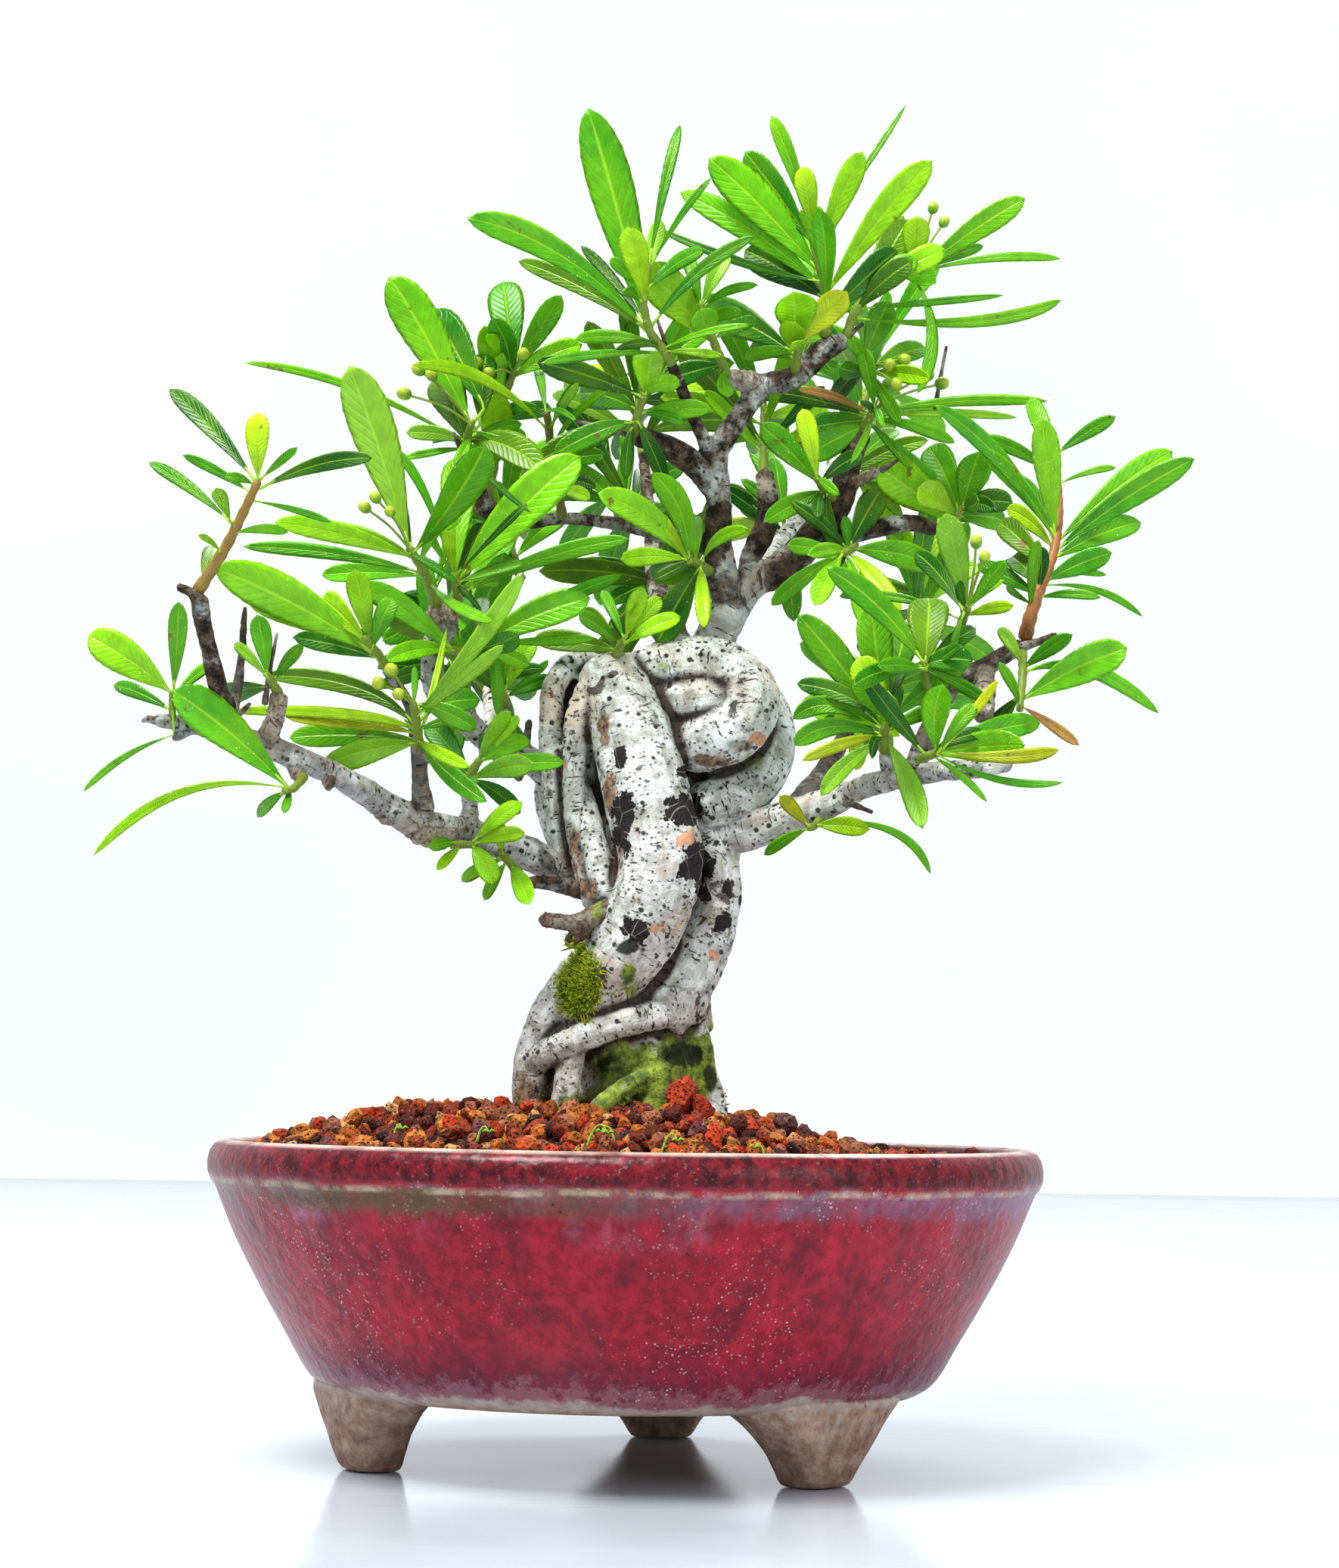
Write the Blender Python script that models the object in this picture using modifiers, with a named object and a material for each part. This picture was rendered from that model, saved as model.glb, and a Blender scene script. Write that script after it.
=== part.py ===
"""Bonsai tree in a pot: a small narrow-leaved firethorn with a braided trunk, in a
round glazed pot on three bracket feet.

The pot is turned about the Z axis and all its sizes are in millimetres.  The tree is
set out the way a grower draws one: on a front elevation sheet, seen from an eye point
in front of the pot, with sheet x to the right and sheet y downwards.  Every strand,
twig, stem and leaf is a line on that sheet plus a depth in millimetres behind (+) or
in front of (-) the pot's axis, and on_sheet() turns the two into a point in space.
"""

import math

import bmesh
import bpy
import numpy as np
from mathutils import Matrix, Vector
from mathutils.bvhtree import BVHTree

MM = 0.001

# ---------------------------------------------------------------- driving dimensions
POT_RADIUS = 75.1
POT_HEIGHT = 56.7
POT_FLOOR_TOP = 20.0
POT_FLOOR_UNDER = 12.6
FOOT_ANGLES = (202.1, 315.4, 81.3)
FOOT_RADIUS = 47.5
DRAIN_RADIUS = 7.0
WIRE_HOLE_RADIUS = 1.6
WIRE_HOLE_Y = 18.0
GAP = 0.4

# ---------------------------------------------------------------- elevation sheet
EYE = np.array([6.87, -630.0, 68.3])
SHEET_TILT = 0.0854
SHEET_TURN = 0.0148
SHEET_SCALE = 4575.0
SHEET_MIDDLE = (885.0, 1036.0)

_fwd = np.array([0.0, math.cos(SHEET_TILT), math.sin(SHEET_TILT)])
_right0 = np.array([1.0, 0.0, 0.0])
_up0 = np.array([0.0, -math.sin(SHEET_TILT), math.cos(SHEET_TILT)])
_right = _right0 * math.cos(SHEET_TURN) + _up0 * math.sin(SHEET_TURN)
_up = _up0 * math.cos(SHEET_TURN) - _right0 * math.sin(SHEET_TURN)


def on_sheet(u, v, depth):
    """The point, in mm, that lies at this place on the sheet and this depth."""
    ray = (
        _fwd
        + _right * ((u - SHEET_MIDDLE[0]) / SHEET_SCALE)
        + _up * ((SHEET_MIDDLE[1] - v) / SHEET_SCALE)
    )
    return EYE + ray * ((depth - EYE[1]) / ray[1])


def sheet_of(p):
    d = np.asarray(p, float) - EYE
    z = d @ _fwd
    return (
        SHEET_MIDDLE[0] + SHEET_SCALE * (d @ _right) / z,
        SHEET_MIDDLE[1] - SHEET_SCALE * (d @ _up) / z,
    )


def mm_per_unit(depth):
    return (depth - EYE[1]) / SHEET_SCALE


# ---------------------------------------------------------------- the wood
# Each strand: sheet x, sheet y, depth, width on the sheet.
TRUNK = {
    "front": [(805, 885, -3, 84), (828, 945, -7, 98), (845, 1010, -10, 110), (858, 1070, -11, 114), (872, 1120, -12, 112), (868, 1170, -12, 110), (845, 1225, -11, 108), (803, 1290, -9, 100), (770, 1340, -8, 84), (728, 1392, -7, 66)],
    "outer_left": [(798, 884, 2, 34), (762, 876, -1, 34), (734, 904, -3, 33), (728, 950, -3, 32), (729, 1000, -3, 32), (735, 1060, -3, 32), (742, 1112, -3, 32), (754, 1158, -4, 34)],
    "left": [(800, 902, -4, 34), (778, 912, -6, 34), (764, 948, -7, 34), (760, 1000, -6, 34), (761, 1056, -6, 34), (768, 1108, -7, 36), (778, 1158, -8, 38), (790, 1194, -10, 40)],
    "left_inner": [(768, 1040, -3, 30), (778, 1085, -7, 34), (790, 1135, -10, 36), (800, 1185, -12, 36)],
    "groove_fill": [(788, 915, 3, 50), (776, 975, 2, 56), (776, 1035, 2, 58), (786, 1100, 2, 60)],
    "left_fill": [(772, 898, 1, 36), (750, 930, 2, 40), (745, 990, 2, 40), (748, 1060, 2, 42), (758, 1130, 1, 44)],
    "root_fill": [(730, 1392, -5, 44), (726, 1440, -5, 46), (724, 1505, -5, 50)],
    "left_back": [(745, 1000, 6, 46), (733, 1040, 7, 50), (740, 1090, 7, 50), (775, 1150, 6, 60)],
    "core": [(805, 900, 6, 100), (825, 980, 5, 110), (835, 1080, 4, 120), (850, 1170, 3, 130), (848, 1260, 3, 130), (830, 1340, 3, 130), (835, 1420, 2, 150)],
    "back_right": [(930, 890, 9, 80), (880, 960, 14, 76), (830, 1040, 15, 70), (800, 1120, 14, 66), (822, 1200, 15, 66), (878, 1280, 14, 66), (905, 1340, 11, 64), (890, 1420, 10, 60)],
    "back_left": [(800, 900, 12, 60), (850, 980, 16, 60), (900, 1060, 14, 62), (915, 1140, 12, 62), (880, 1220, 14, 60), (820, 1300, 14, 60), (790, 1400, 12, 64)],
    "knot": [(835, 918, -1, 66), (862, 894, -2, 78), (900, 885, -2, 84), (945, 885, -3, 86), (978, 906, -4, 86), (984, 940, -6, 86), (962, 968, -7, 86), (925, 982, -6, 80), (890, 972, -2, 64)],
    "knot_fill": [(860, 925, -1, 80), (905, 930, -4, 76), (950, 934, -5, 74), (925, 1010, 3, 84), (920, 1080, 2, 70)],
    "knot_outer": [(990, 915, 6, 60), (1010, 945, 4, 70), (1014, 985, 2, 76), (998, 1028, -1, 78), (962, 1052, -2, 74), (925, 1068, -3, 64)],
    "right_lower": [(925, 1085, -1, 50), (947, 1125, -2, 50), (956, 1168, -2, 54), (945, 1214, -2, 66), (922, 1262, -3, 80), (894, 1308, -5, 88), (866, 1342, -6, 86)],
    "right_back": [(960, 1100, 6, 50), (938, 1200, 8, 60), (915, 1290, 7, 60), (912, 1360, 5, 60)],
    "wrap_root": [(926, 1332, -3, 40), (886, 1338, -9, 40), (840, 1347, -12, 40), (789, 1362, -13, 40), (745, 1381, -13, 40), (712, 1400, -10, 40)],
    "left_root": [(772, 1285, -8, 60), (735, 1335, -8, 64), (710, 1385, -8, 54), (701, 1430, -8, 46), (701, 1515, -8, 50)],
    "small_root": [(758, 1392, -12, 34), (748, 1440, -13, 34), (746, 1505, -14, 34)],
    "cross_root": [(900, 1402, -7, 24), (852, 1424, -12, 26), (802, 1454, -16, 26), (762, 1500, -19, 28)],
    "base": [(830, 1365, 0, 140), (848, 1420, 0, 160), (850, 1480, 0, 176), (850, 1535, 0, 190)],
    "base_right": [(905, 1350, 0, 54), (918, 1410, 0, 58), (928, 1460, 0, 62), (936, 1525, 0, 70)],
    "base_front": [(850, 1375, -7, 50), (860, 1430, -9, 56), (870, 1490, -11, 60), (878, 1525, -13, 64)],
    "root_back_right": [(870, 1440, 9, 60), (930, 1485, 18, 44), (985, 1530, 27, 34)],
    "root_back_left": [(800, 1440, 9, 60), (750, 1490, 19, 44), (700, 1530, 28, 34)],
    "root_back": [(840, 1430, 12, 60), (845, 1490, 24, 44), (850, 1535, 34, 34)],
    "root_right": [(930, 1470, -2, 44), (965, 1505, -6, 34), (1000, 1540, -9, 28)],
}
BRANCHES = {
    "left_low": [(765, 1158, -2, 48), (690, 1125, -5, 44), (640, 1106, -8, 40), (600, 1096, -10, 38), (548, 1086, -12, 40), (510, 1065, -13, 36), (480, 1045, -14, 34), (440, 1022, -15, 34), (400, 1005, -16, 34), (350, 985, -17, 32), (300, 970, -18, 28), (250, 956, -19, 25), (208, 952, -20, 19)],
    "left_low_knob": [(552, 1098, -12, 36), (590, 1104, -11, 34)],
    "left_low_stub_a": [(498, 1062, -13, 22), (512, 1086, -13, 15)],
    "left_low_stub_b": [(438, 1020, -15, 24), (435, 1038, -16, 17)],
    "left_low_stub_c": [(385, 1003, -16, 20), (396, 1030, -17, 15)],
    "left_low_twig": [(302, 968, -18, 28), (300, 935, -19, 27), (290, 915, -20, 26), (282, 880, -21, 25), (270, 830, -22, 24), (263, 792, -23, 23)],
    "left_low_twig_stub": [(265, 800, -23, 20), (262, 788, -23, 16), (235, 775, -23, 13)],
    "left_low_dead": [(305, 950, -18, 18), (311, 920, -17, 15), (316, 895, -17, 13), (320, 860, -17, 11), (322, 825, -17, 9)],
    "left_low_knob_b": [(352, 985, -17, 26), (364, 945, -18, 24), (368, 920, -18, 24)],
    "left_low_end": [(262, 958, -19, 18), (242, 970, -19, 14), (229, 977, -19, 12)],
    "left_spur": [(546, 1088, -12, 32), (560, 1068, -13, 29), (556, 1040, -14, 26), (553, 990, -15, 22)],
    "left_spur_knob": [(555, 1000, -15, 20), (570, 995, -16, 22)],
    "left_spur_twig": [(553, 992, -15, 20), (540, 930, -16, 15), (510, 884, -17, 13)],
    "left_spur_b": [(612, 1096, -9, 28), (621, 1075, -9, 25), (620, 1044, -9, 22)],
    "left_mid": [(742, 1045, 5, 40), (702, 1006, 2, 36), (652, 985, 0, 34), (612, 948, -3, 33), (578, 915, -5, 32), (572, 870, -7, 34), (586, 828, -9, 42)],
    "left_mid_knob": [(572, 814, -9, 40), (610, 812, -10, 38)],
    "left_mid_twig_a": [(690, 998, 1, 18), (673, 962, -1, 15), (668, 940, -2, 13)],
    "left_mid_twig_b": [(692, 998, 2, 16), (700, 952, 3, 10)],
    "left_mid_stub": [(690, 1000, 1, 18), (685, 1030, 0, 13)],
    "left_small": [(785, 1180, -8, 26), (722, 1166, -9, 20), (692, 1166, -10, 17), (681, 1152, -11, 14)],
    "left_small_stub": [(708, 1120, -5, 22), (727, 1142, -7, 14)],
    "left_cut_stub": [(805, 1200, -13, 30), (762, 1219, -16, 23), (718, 1215, -18, 19)],
    "cut_wood": [(775, 1226, -14, 22), (752, 1246, -15, 20)],
    "apex": [(940, 862, 0, 62), (955, 820, 1, 52), (975, 790, 2, 50), (1000, 762, 3, 48)],
    "apex_left": [(966, 800, 1, 44), (955, 760, 0, 42), (950, 720, -1, 39), (950, 655, -3, 36), (946, 602, -4, 34), (961, 574, -4, 32), (985, 540, -3, 30), (1008, 505, -2, 30)],
    "apex_far_left": [(950, 655, -3, 34), (924, 620, -5, 34), (882, 591, -8, 33), (844, 577, -10, 28)],
    "apex_twig": [(938, 610, -4, 22), (930, 580, -6, 19), (915, 548, -7, 17), (900, 510, -9, 16), (887, 480, -10, 15)],
    "apex_middle": [(990, 772, 4, 34), (992, 740, 6, 31), (1010, 700, 8, 30), (1015, 660, 9, 27), (1010, 625, 10, 23)],
    "apex_right": [(1000, 765, 3, 44), (1025, 755, 3, 42), (1060, 728, 3, 40), (1080, 700, 3, 38), (1108, 668, 4, 37), (1120, 620, 5, 34), (1139, 574, 5, 28)],
    "apex_right_arm": [(1070, 715, 4, 28), (1130, 704, 6, 26), (1198, 691, 8, 24), (1236, 700, 10, 20)],
    "apex_right_stub": [(1118, 640, 4, 18), (1145, 632, 3, 13), (1160, 620, 3, 11)],
    "top_knob_right": [(1006, 508, -2, 30), (1050, 499, -1, 31), (1088, 464, 0, 30), (1115, 450, 1, 24)],
    "top_knob_left": [(1006, 508, -2, 28), (962, 500, -4, 24)],
    "upper_left": [(948, 722, -1, 30), (880, 706, 5, 22), (810, 691, 8, 18), (742, 685, 6, 17), (700, 690, 4, 18), (658, 680, 0, 24), (630, 655, -3, 34), (620, 606, -5, 23)],
    "right_low": [(925, 1112, 1, 56), (1000, 1095, -3, 50), (1042, 1080, -5, 44), (1090, 1064, -7, 39), (1140, 1041, -8, 34), (1182, 1030, -9, 32), (1232, 1021, -9, 28), (1300, 1015, -9, 23), (1335, 1012, -9, 16)],
    "right_spur": [(1180, 1032, -9, 28), (1175, 1014, -10, 25), (1171, 993, -11, 21)],
    "right_fork": [(1205, 1024, -9, 28), (1222, 980, -8, 27), (1245, 930, -7, 26), (1267, 900, -6, 26), (1300, 884, -5, 26), (1335, 861, -4, 25), (1350, 852, -4, 20)],
    "right_fork_twig": [(1264, 902, -6, 20), (1270, 870, -6, 17), (1268, 840, -6, 14)],
    "right_fork_stub": [(1300, 886, -5, 27), (1302, 912, -7, 27), (1300, 948, -9, 26)],
    "right_fork_end": [(1345, 856, -4, 16), (1372, 848, -4, 13), (1394, 840, -4, 11)],
    "back_left": [(655, 985, 2, 28), (650, 900, 16, 22), (660, 820, 32, 18), (690, 760, 44, 13)],
    "back_middle": [(900, 860, 8, 40), (870, 780, 24, 28), (860, 690, 40, 20), (850, 600, 50, 14)],
    "back_right": [(985, 790, 5, 34), (1030, 720, 24, 26), (1090, 640, 42, 20), (1130, 560, 52, 14)],
    "back_low_right": [(1040, 1080, -2, 32), (1095, 1010, 16, 24), (1140, 930, 32, 18), (1180, 860, 42, 13)],
}

# ---------------------------------------------------------------- the leafy shoots
# stem: (x, y, depth, width).  leaves: (tip x, tip y, base x, base y, width, tone[, via x, via y]).
# Tones: L lime, B bright, M middle green, D dark, P pale, O olive, Y yellow, T tan.
SHOOTS = {
    "shoot_left_top": dict(
        stem=[(262, 780, -23, 18), (272, 765, -23, 17), (300, 720, -24, 15), (325, 670, -25, 13), (341, 636, -25, 11)],
        leaves=[(224, 514, 335, 632, 28, "D"), (342, 545, 341, 633, 32, "L"), (393, 591, 346, 632, 12, "M"), (492, 605, 345, 645, 24, "D"), (241, 601, 330, 650, 14, "M"), (298, 630, 335, 640, 14, "M"), (197, 611, 305, 690, 18, "M"), (285, 645, 305, 690, 20, "P"), (438, 690, 335, 662, 10, "M"), (381, 703, 310, 705, 14, "M"), (262, 707, 292, 730, 9, "L"), (285, 722, 268, 770, 22, "O")],
    ),
    "shoot_left_fan": dict(
        stem=[(510, 880, -17, 13), (498, 862, -18, 12), (482, 842, -19, 10)],
        leaves=[(283, 750, 492, 862, 60, "B"), (322, 780, 490, 862, 50, "L"), (387, 842, 500, 870, 28, "D"), (425, 790, 485, 850, 36, "L"), (468, 752, 488, 850, 34, "L"), (520, 790, 492, 858, 28, "M")],
    ),
    "shoot_left_low_tip": dict(
        stem=[(229, 972, -20, 12), (228, 945, -20, 10), (227, 914, -21, 8)],
        leaves=[(100, 818, 227, 965, 55, "M"), (117, 840, 226, 915, 50, "L"), (236, 795, 229, 914, 26, "M"), (284, 876, 229, 925, 16, "M"), (110, 1046, 229, 972, 10, "M", 165, 1000), (150, 905, 228, 940, 20, "D")],
    ),
    "shoot_left_low_mid": dict(
        stem=[(397, 1032, -18, 13), (388, 1042, -19, 11), (376, 1046, -20, 9)],
        leaves=[(228, 912, 380, 1040, 58, "M"), (123, 1131, 380, 1042, 14, "L", 240, 1047), (375, 1075, 384, 1042, 12, "M"), (340, 1080, 378, 1046, 16, "M")],
    ),
    "shoot_left_low_upper": dict(
        stem=[(368, 916, -18, 14), (360, 902, -19, 12), (352, 890, -20, 9)],
        leaves=[(340, 812, 353, 895, 28, "M"), (262, 940, 360, 908, 34, "D"), (400, 850, 360, 900, 18, "M"), (310, 850, 354, 895, 16, "P")],
    ),
    "shoot_left_spur": dict(
        stem=[(553, 984, -16, 15), (551, 960, -18, 13), (546, 928, -20, 10)],
        leaves=[(285, 940, 550, 968, 16, "L", 470, 945), (347, 893, 550, 960, 26, "O", 470, 908), (378, 948, 552, 970, 24, "Y"), (459, 972, 552, 978, 10, "M"), (622, 945, 551, 965, 16, "M"), (635, 925, 549, 940, 34, "D"), (548, 880, 547, 935, 10, "M"), (691, 757, 549, 945, 26, "P", 630, 850), (382, 975, 553, 980, 33, "M"), (427, 1012, 553, 982, 36, "P")],
        buds=[(520, 890), (530, 918), (505, 905)],
    ),
    "shoot_lower_left": dict(
        stem=[(620, 1038, -10, 14), (624, 1020, -11, 13), (634, 1004, -12, 11)],
        leaves=[(565, 955, 622, 1030, 34, "D"), (700, 977, 632, 1008, 26, "M"), (705, 1010, 622, 1030, 32, "B"), (688, 1075, 622, 1030, 24, "D"), (570, 1003, 626, 1018, 9, "M"), (675, 940, 630, 1008, 22, "L")],
    ),
    "shoot_lower_left_under": dict(
        stem=[(600, 1112, -12, 14), (612, 1118, -13, 12), (626, 1116, -14, 10)],
        leaves=[(577, 1150, 610, 1118, 14, "L"), (655, 1168, 624, 1116, 30, "L"), (566, 1120, 604, 1114, 18, "M"), (690, 1060, 626, 1112, 24, "L"), (694, 1100, 626, 1116, 22, "L")],
    ),
    "shoot_lower_twig": dict(
        stem=[(679, 1146, -12, 13), (670, 1136, -13, 11), (660, 1124, -14, 9)],
        leaves=[(655, 1080, 664, 1128, 20, "L"), (610, 1165, 668, 1134, 18, "M"), (700, 1195, 674, 1142, 28, "L"), (640, 1190, 670, 1138, 16, "M")],
    ),
    "shoot_mid_left_outer": dict(
        stem=[(574, 792, -11, 16), (560, 755, -14, 14), (541, 724, -16, 11)],
        leaves=[(462, 483, 541, 724, 62, "P"), (610, 686, 545, 732, 14, "M"), (362, 690, 548, 738, 30, "L"), (430, 695, 546, 734, 20, "P"), (320, 722, 560, 758, 20, "M"), (520, 640, 545, 730, 20, "D"), (425, 760, 562, 762, 26, "M")],
        buds=[(500, 662), (518, 680), (487, 674)],
    ),
    "shoot_mid_left_inner": dict(
        stem=[(606, 792, -12, 15), (604, 778, -13, 13), (601, 760, -14, 11)],
        leaves=[(509, 591, 602, 764, 14, "M", 555, 640), (768, 603, 603, 770, 60, "B"), (832, 712, 606, 786, 24, "M", 720, 737), (660, 772, 604, 778, 14, "M"), (640, 690, 602, 764, 24, "D"), (590, 700, 601, 764, 18, "L")],
    ),
    "shoot_mid_left_low": dict(
        stem=[(593, 858, -10, 13), (615, 860, -14, 12), (648, 846, -16, 10)],
        leaves=[(480, 770, 602, 862, 34, "B"), (780, 790, 622, 860, 45, "B"), (822, 760, 645, 846, 20, "M"), (640, 790, 630, 852, 22, "D"), (700, 880, 635, 852, 24, "M"), (610, 920, 612, 862, 20, "D")],
    ),
    "shoot_upper_left": dict(
        stem=[(620, 598, -6, 14), (618, 580, -7, 12), (624, 556, -8, 10)],
        leaves=[(515, 365, 622, 562, 60, "M"), (580, 497, 618, 588, 52, "O"), (322, 479, 620, 590, 12, "M", 470, 513), (537, 572, 619, 584, 22, "P"), (532, 606, 620, 592, 11, "M"), (570, 410, 640, 540, 54, "D"), (690, 560, 621, 580, 20, "M"), (600, 640, 619, 590, 14, "M")],
        buds=[(558, 492), (574, 500), (540, 522)],
    ),
    "shoot_upper_left_inner": dict(
        stem=[(646, 652, 1, 14), (655, 600, 3, 13), (662, 540, 4, 12), (680, 490, 5, 10)],
        leaves=[(640, 430, 661, 545, 32, "L"), (665, 372, 680, 492, 50, "M"), (742, 390, 678, 495, 32, "M"), (770, 455, 676, 500, 30, "L"), (655, 520, 655, 620, 44, "L"), (730, 540, 660, 560, 24, "D"), (600, 560, 656, 600, 18, "M")],
        buds=[(634, 480), (650, 492), (690, 470)],
    ),
    "shoot_upper_left_olive": dict(
        stem=[(742, 674, 4, 13), (736, 640, 1, 13), (729, 600, -2, 12), (725, 560, -4, 11), (722, 545, -5, 9)],
        leaves=[(545, 482, 727, 572, 18, "L", 640, 502), (710, 480, 722, 548, 14, "M"), (765, 505, 727, 565, 13, "P"), (690, 640, 733, 620, 24, "D"), (800, 600, 731, 610, 24, "M"), (780, 660, 738, 650, 20, "L")],
    ),
    "shoot_centre_upper": dict(
        stem=[(838, 572, -11, 14), (842, 550, -12, 12), (852, 520, -13, 10)],
        leaves=[(705, 612, 842, 556, 36, "O"), (765, 520, 846, 545, 42, "D"), (710, 478, 850, 525, 34, "D"), (862, 462, 853, 525, 46, "L"), (940, 540, 846, 545, 26, "M"), (880, 640, 842, 556, 24, "D")],
    ),
    "shoot_centre": dict(
        stem=[(934, 752, -4, 14), (922, 744, -8, 12), (908, 738, -11, 10)],
        leaves=[(790, 652, 914, 742, 40, "B", 858, 685), (860, 765, 922, 744, 34, "D"), (868, 850, 926, 748, 46, "D"), (820, 740, 910, 740, 26, "L"), (900, 660, 912, 740, 26, "M"), (930, 830, 926, 748, 22, "L")],
    ),
    "shoot_trunk_top": dict(
        stem=[(812, 866, -7, 14), (820, 856, -11, 12), (828, 842, -14, 10)],
        leaves=[(705, 845, 818, 860, 30, "O"), (795, 780, 826, 848, 16, "M"), (850, 776, 827, 844, 26, "L"), (900, 815, 826, 850, 24, "L"), (765, 810, 822, 852, 22, "M")],
    ),
    "shoot_left_mid_inner": dict(
        stem=[(668, 934, -3, 12), (667, 922, -4, 11), (664, 908, -5, 9)],
        leaves=[(672, 835, 665, 912, 30, "M"), (622, 856, 664, 914, 22, "M"), (605, 880, 666, 920, 12, "D"), (706, 845, 667, 914, 26, "L"), (730, 895, 667, 922, 20, "M")],
    ),
    "shoot_top_left": dict(
        stem=[(884, 474, -11, 14), (874, 458, -12, 13), (860, 440, -13, 12), (852, 410, -14, 11), (852, 375, -14, 10), (860, 345, -14, 8)],
        leaves=[(777, 143, 854, 430, 62, "M"), (899, 165, 858, 350, 16, "M"), (617, 288, 856, 436, 40, "M", 738, 335), (685, 345, 858, 440, 24, "O"), (768, 325, 853, 425, 16, "D"), (830, 300, 853, 400, 38, "L"), (873, 290, 856, 360, 24, "P"), (940, 235, 860, 352, 10, "M"), (955, 470, 878, 464, 12, "L"), (760, 448, 872, 456, 20, "M"), (715, 480, 878, 466, 14, "M"), (930, 330, 853, 385, 22, "M")],
    ),
    "shoot_top_centre": dict(
        stem=[(958, 490, -5, 14), (950, 468, -8, 12), (936, 432, -10, 11), (926, 402, -11, 9)],
        leaves=[(850, 352, 945, 456, 58, "L"), (962, 335, 927, 405, 24, "P"), (886, 500, 955, 482, 32, "D"), (905, 330, 928, 410, 20, "M"), (1000, 420, 942, 448, 20, "M")],
    ),
    "shoot_top": dict(
        stem=[(1090, 446, 0, 17), (1095, 420, -1, 16), (1092, 390, -2, 14), (1086, 362, -3, 12), (1076, 325, -4, 11), (1072, 300, -4, 9)],
        leaves=[(937, 208, 1084, 360, 55, "M"), (899, 254, 1090, 382, 36, "M"), (985, 200, 1076, 325, 38, "D"), (865, 300, 1088, 372, 13, "D", 985, 348), (985, 330, 1092, 396, 48, "D"), (1020, 153, 1074, 305, 22, "M"), (1198, 138, 1076, 312, 9, "M", 1130, 240), (1232, 212, 1092, 390, 42, "L"), (1140, 200, 1080, 340, 34, "L"), (1060, 220, 1074, 305, 30, "L")],
    ),
    "shoot_top_right": dict(
        stem=[(1120, 440, 1, 14), (1130, 412, 1, 13), (1152, 388, 1, 12), (1188, 366, 1, 11), (1216, 358, 1, 9)],
        leaves=[(1200, 290, 1140, 400, 44, "O"), (1250, 330, 1152, 388, 34, "L"), (1327, 390, 1135, 408, 11, "M", 1220, 400), (1403, 396, 1128, 420, 18, "M", 1290, 425), (1355, 262, 1214, 360, 36, "M"), (1402, 342, 1216, 360, 13, "M"), (1300, 325, 1216, 358, 16, "M"), (1213, 520, 1205, 362, 18, "M", 1232, 440), (1212, 285, 1208, 360, 38, "L")],
        buds=[(1190, 292), (1245, 298), (1232, 280)],
    ),
    "shoot_top_low": dict(
        stem=[(1052, 482, -4, 13), (1054, 468, -6, 12), (1054, 452, -8, 10)],
        leaves=[(1050, 385, 1054, 455, 58, "L"), (925, 408, 1053, 470, 48, "D"), (1120, 385, 1054, 455, 40, "Y"), (990, 460, 1053, 476, 24, "M")],
    ),
    "shoot_top_right_low": dict(
        stem=[(1128, 458, 2, 13), (1142, 474, 2, 12), (1152, 494, 1, 10)],
        leaves=[(1175, 398, 1142, 474, 38, "M"), (1225, 460, 1150, 490, 30, "M"), (1230, 500, 1152, 494, 26, "L"), (1100, 530, 1148, 484, 24, "D"), (1190, 560, 1152, 494, 20, "M")],
        buds=[(1172, 482), (1190, 476), (1182, 505)],
    ),
    "shoot_right_upper": dict(
        stem=[(1142, 566, 4, 14), (1150, 552, 3, 12), (1156, 538, 2, 10)],
        leaves=[(1062, 605, 1145, 562, 42, "M"), (1055, 515, 1152, 548, 14, "T"), (1385, 530, 1154, 545, 16, "M", 1265, 530), (1345, 552, 1153, 550, 12, "P", 1250, 546), (1205, 620, 1148, 556, 13, "M"), (1262, 585, 1150, 554, 18, "M"), (985, 515, 1152, 550, 28, "D", 1060, 524), (1140, 460, 1156, 540, 24, "M")],
        buds=[(1172, 510), (1240, 508), (1222, 498)],
    ),
    "shoot_right_inner": dict(
        stem=[(1098, 656, 1, 13), (1088, 644, -3, 12), (1080, 632, -6, 10)],
        leaves=[(1005, 560, 1084, 640, 36, "M"), (1060, 540, 1080, 634, 28, "L"), (1010, 690, 1090, 648, 28, "M"), (1140, 600, 1084, 638, 24, "D")],
    ),
    "shoot_right_centre": dict(
        stem=[(1242, 700, 10, 13), (1258, 688, 9, 12), (1274, 670, 8, 10)],
        leaves=[(1160, 615, 1256, 690, 60, "L"), (1228, 590, 1268, 678, 46, "M"), (1296, 596, 1272, 672, 46, "M"), (1330, 690, 1264, 684, 34, "M"), (1262, 780, 1252, 692, 26, "D")],
    ),
    "shoot_right_mid": dict(
        stem=[(1128, 722, 1, 13), (1122, 728, -4, 12), (1112, 732, -7, 10)],
        leaves=[(1165, 648, 1122, 724, 38, "D"), (1235, 748, 1126, 726, 38, "M"), (1076, 800, 1114, 732, 30, "L"), (1020, 800, 1112, 732, 24, "M"), (1040, 720, 1112, 732, 24, "M"), (1190, 810, 1120, 730, 26, "L")],
    ),
    "shoot_right_fork": dict(
        stem=[(1268, 832, -6, 13), (1273, 818, -7, 12), (1280, 802, -8, 10)],
        leaves=[(1250, 678, 1279, 806, 40, "P"), (1145, 790, 1272, 820, 14, "M", 1200, 792), (1330, 740, 1280, 806, 22, "M"), (1210, 730, 1276, 812, 26, "D"), (1340, 800, 1276, 814, 18, "L")],
        buds=[(1290, 722), (1300, 740)],
    ),
    "shoot_right_fork_low": dict(
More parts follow.
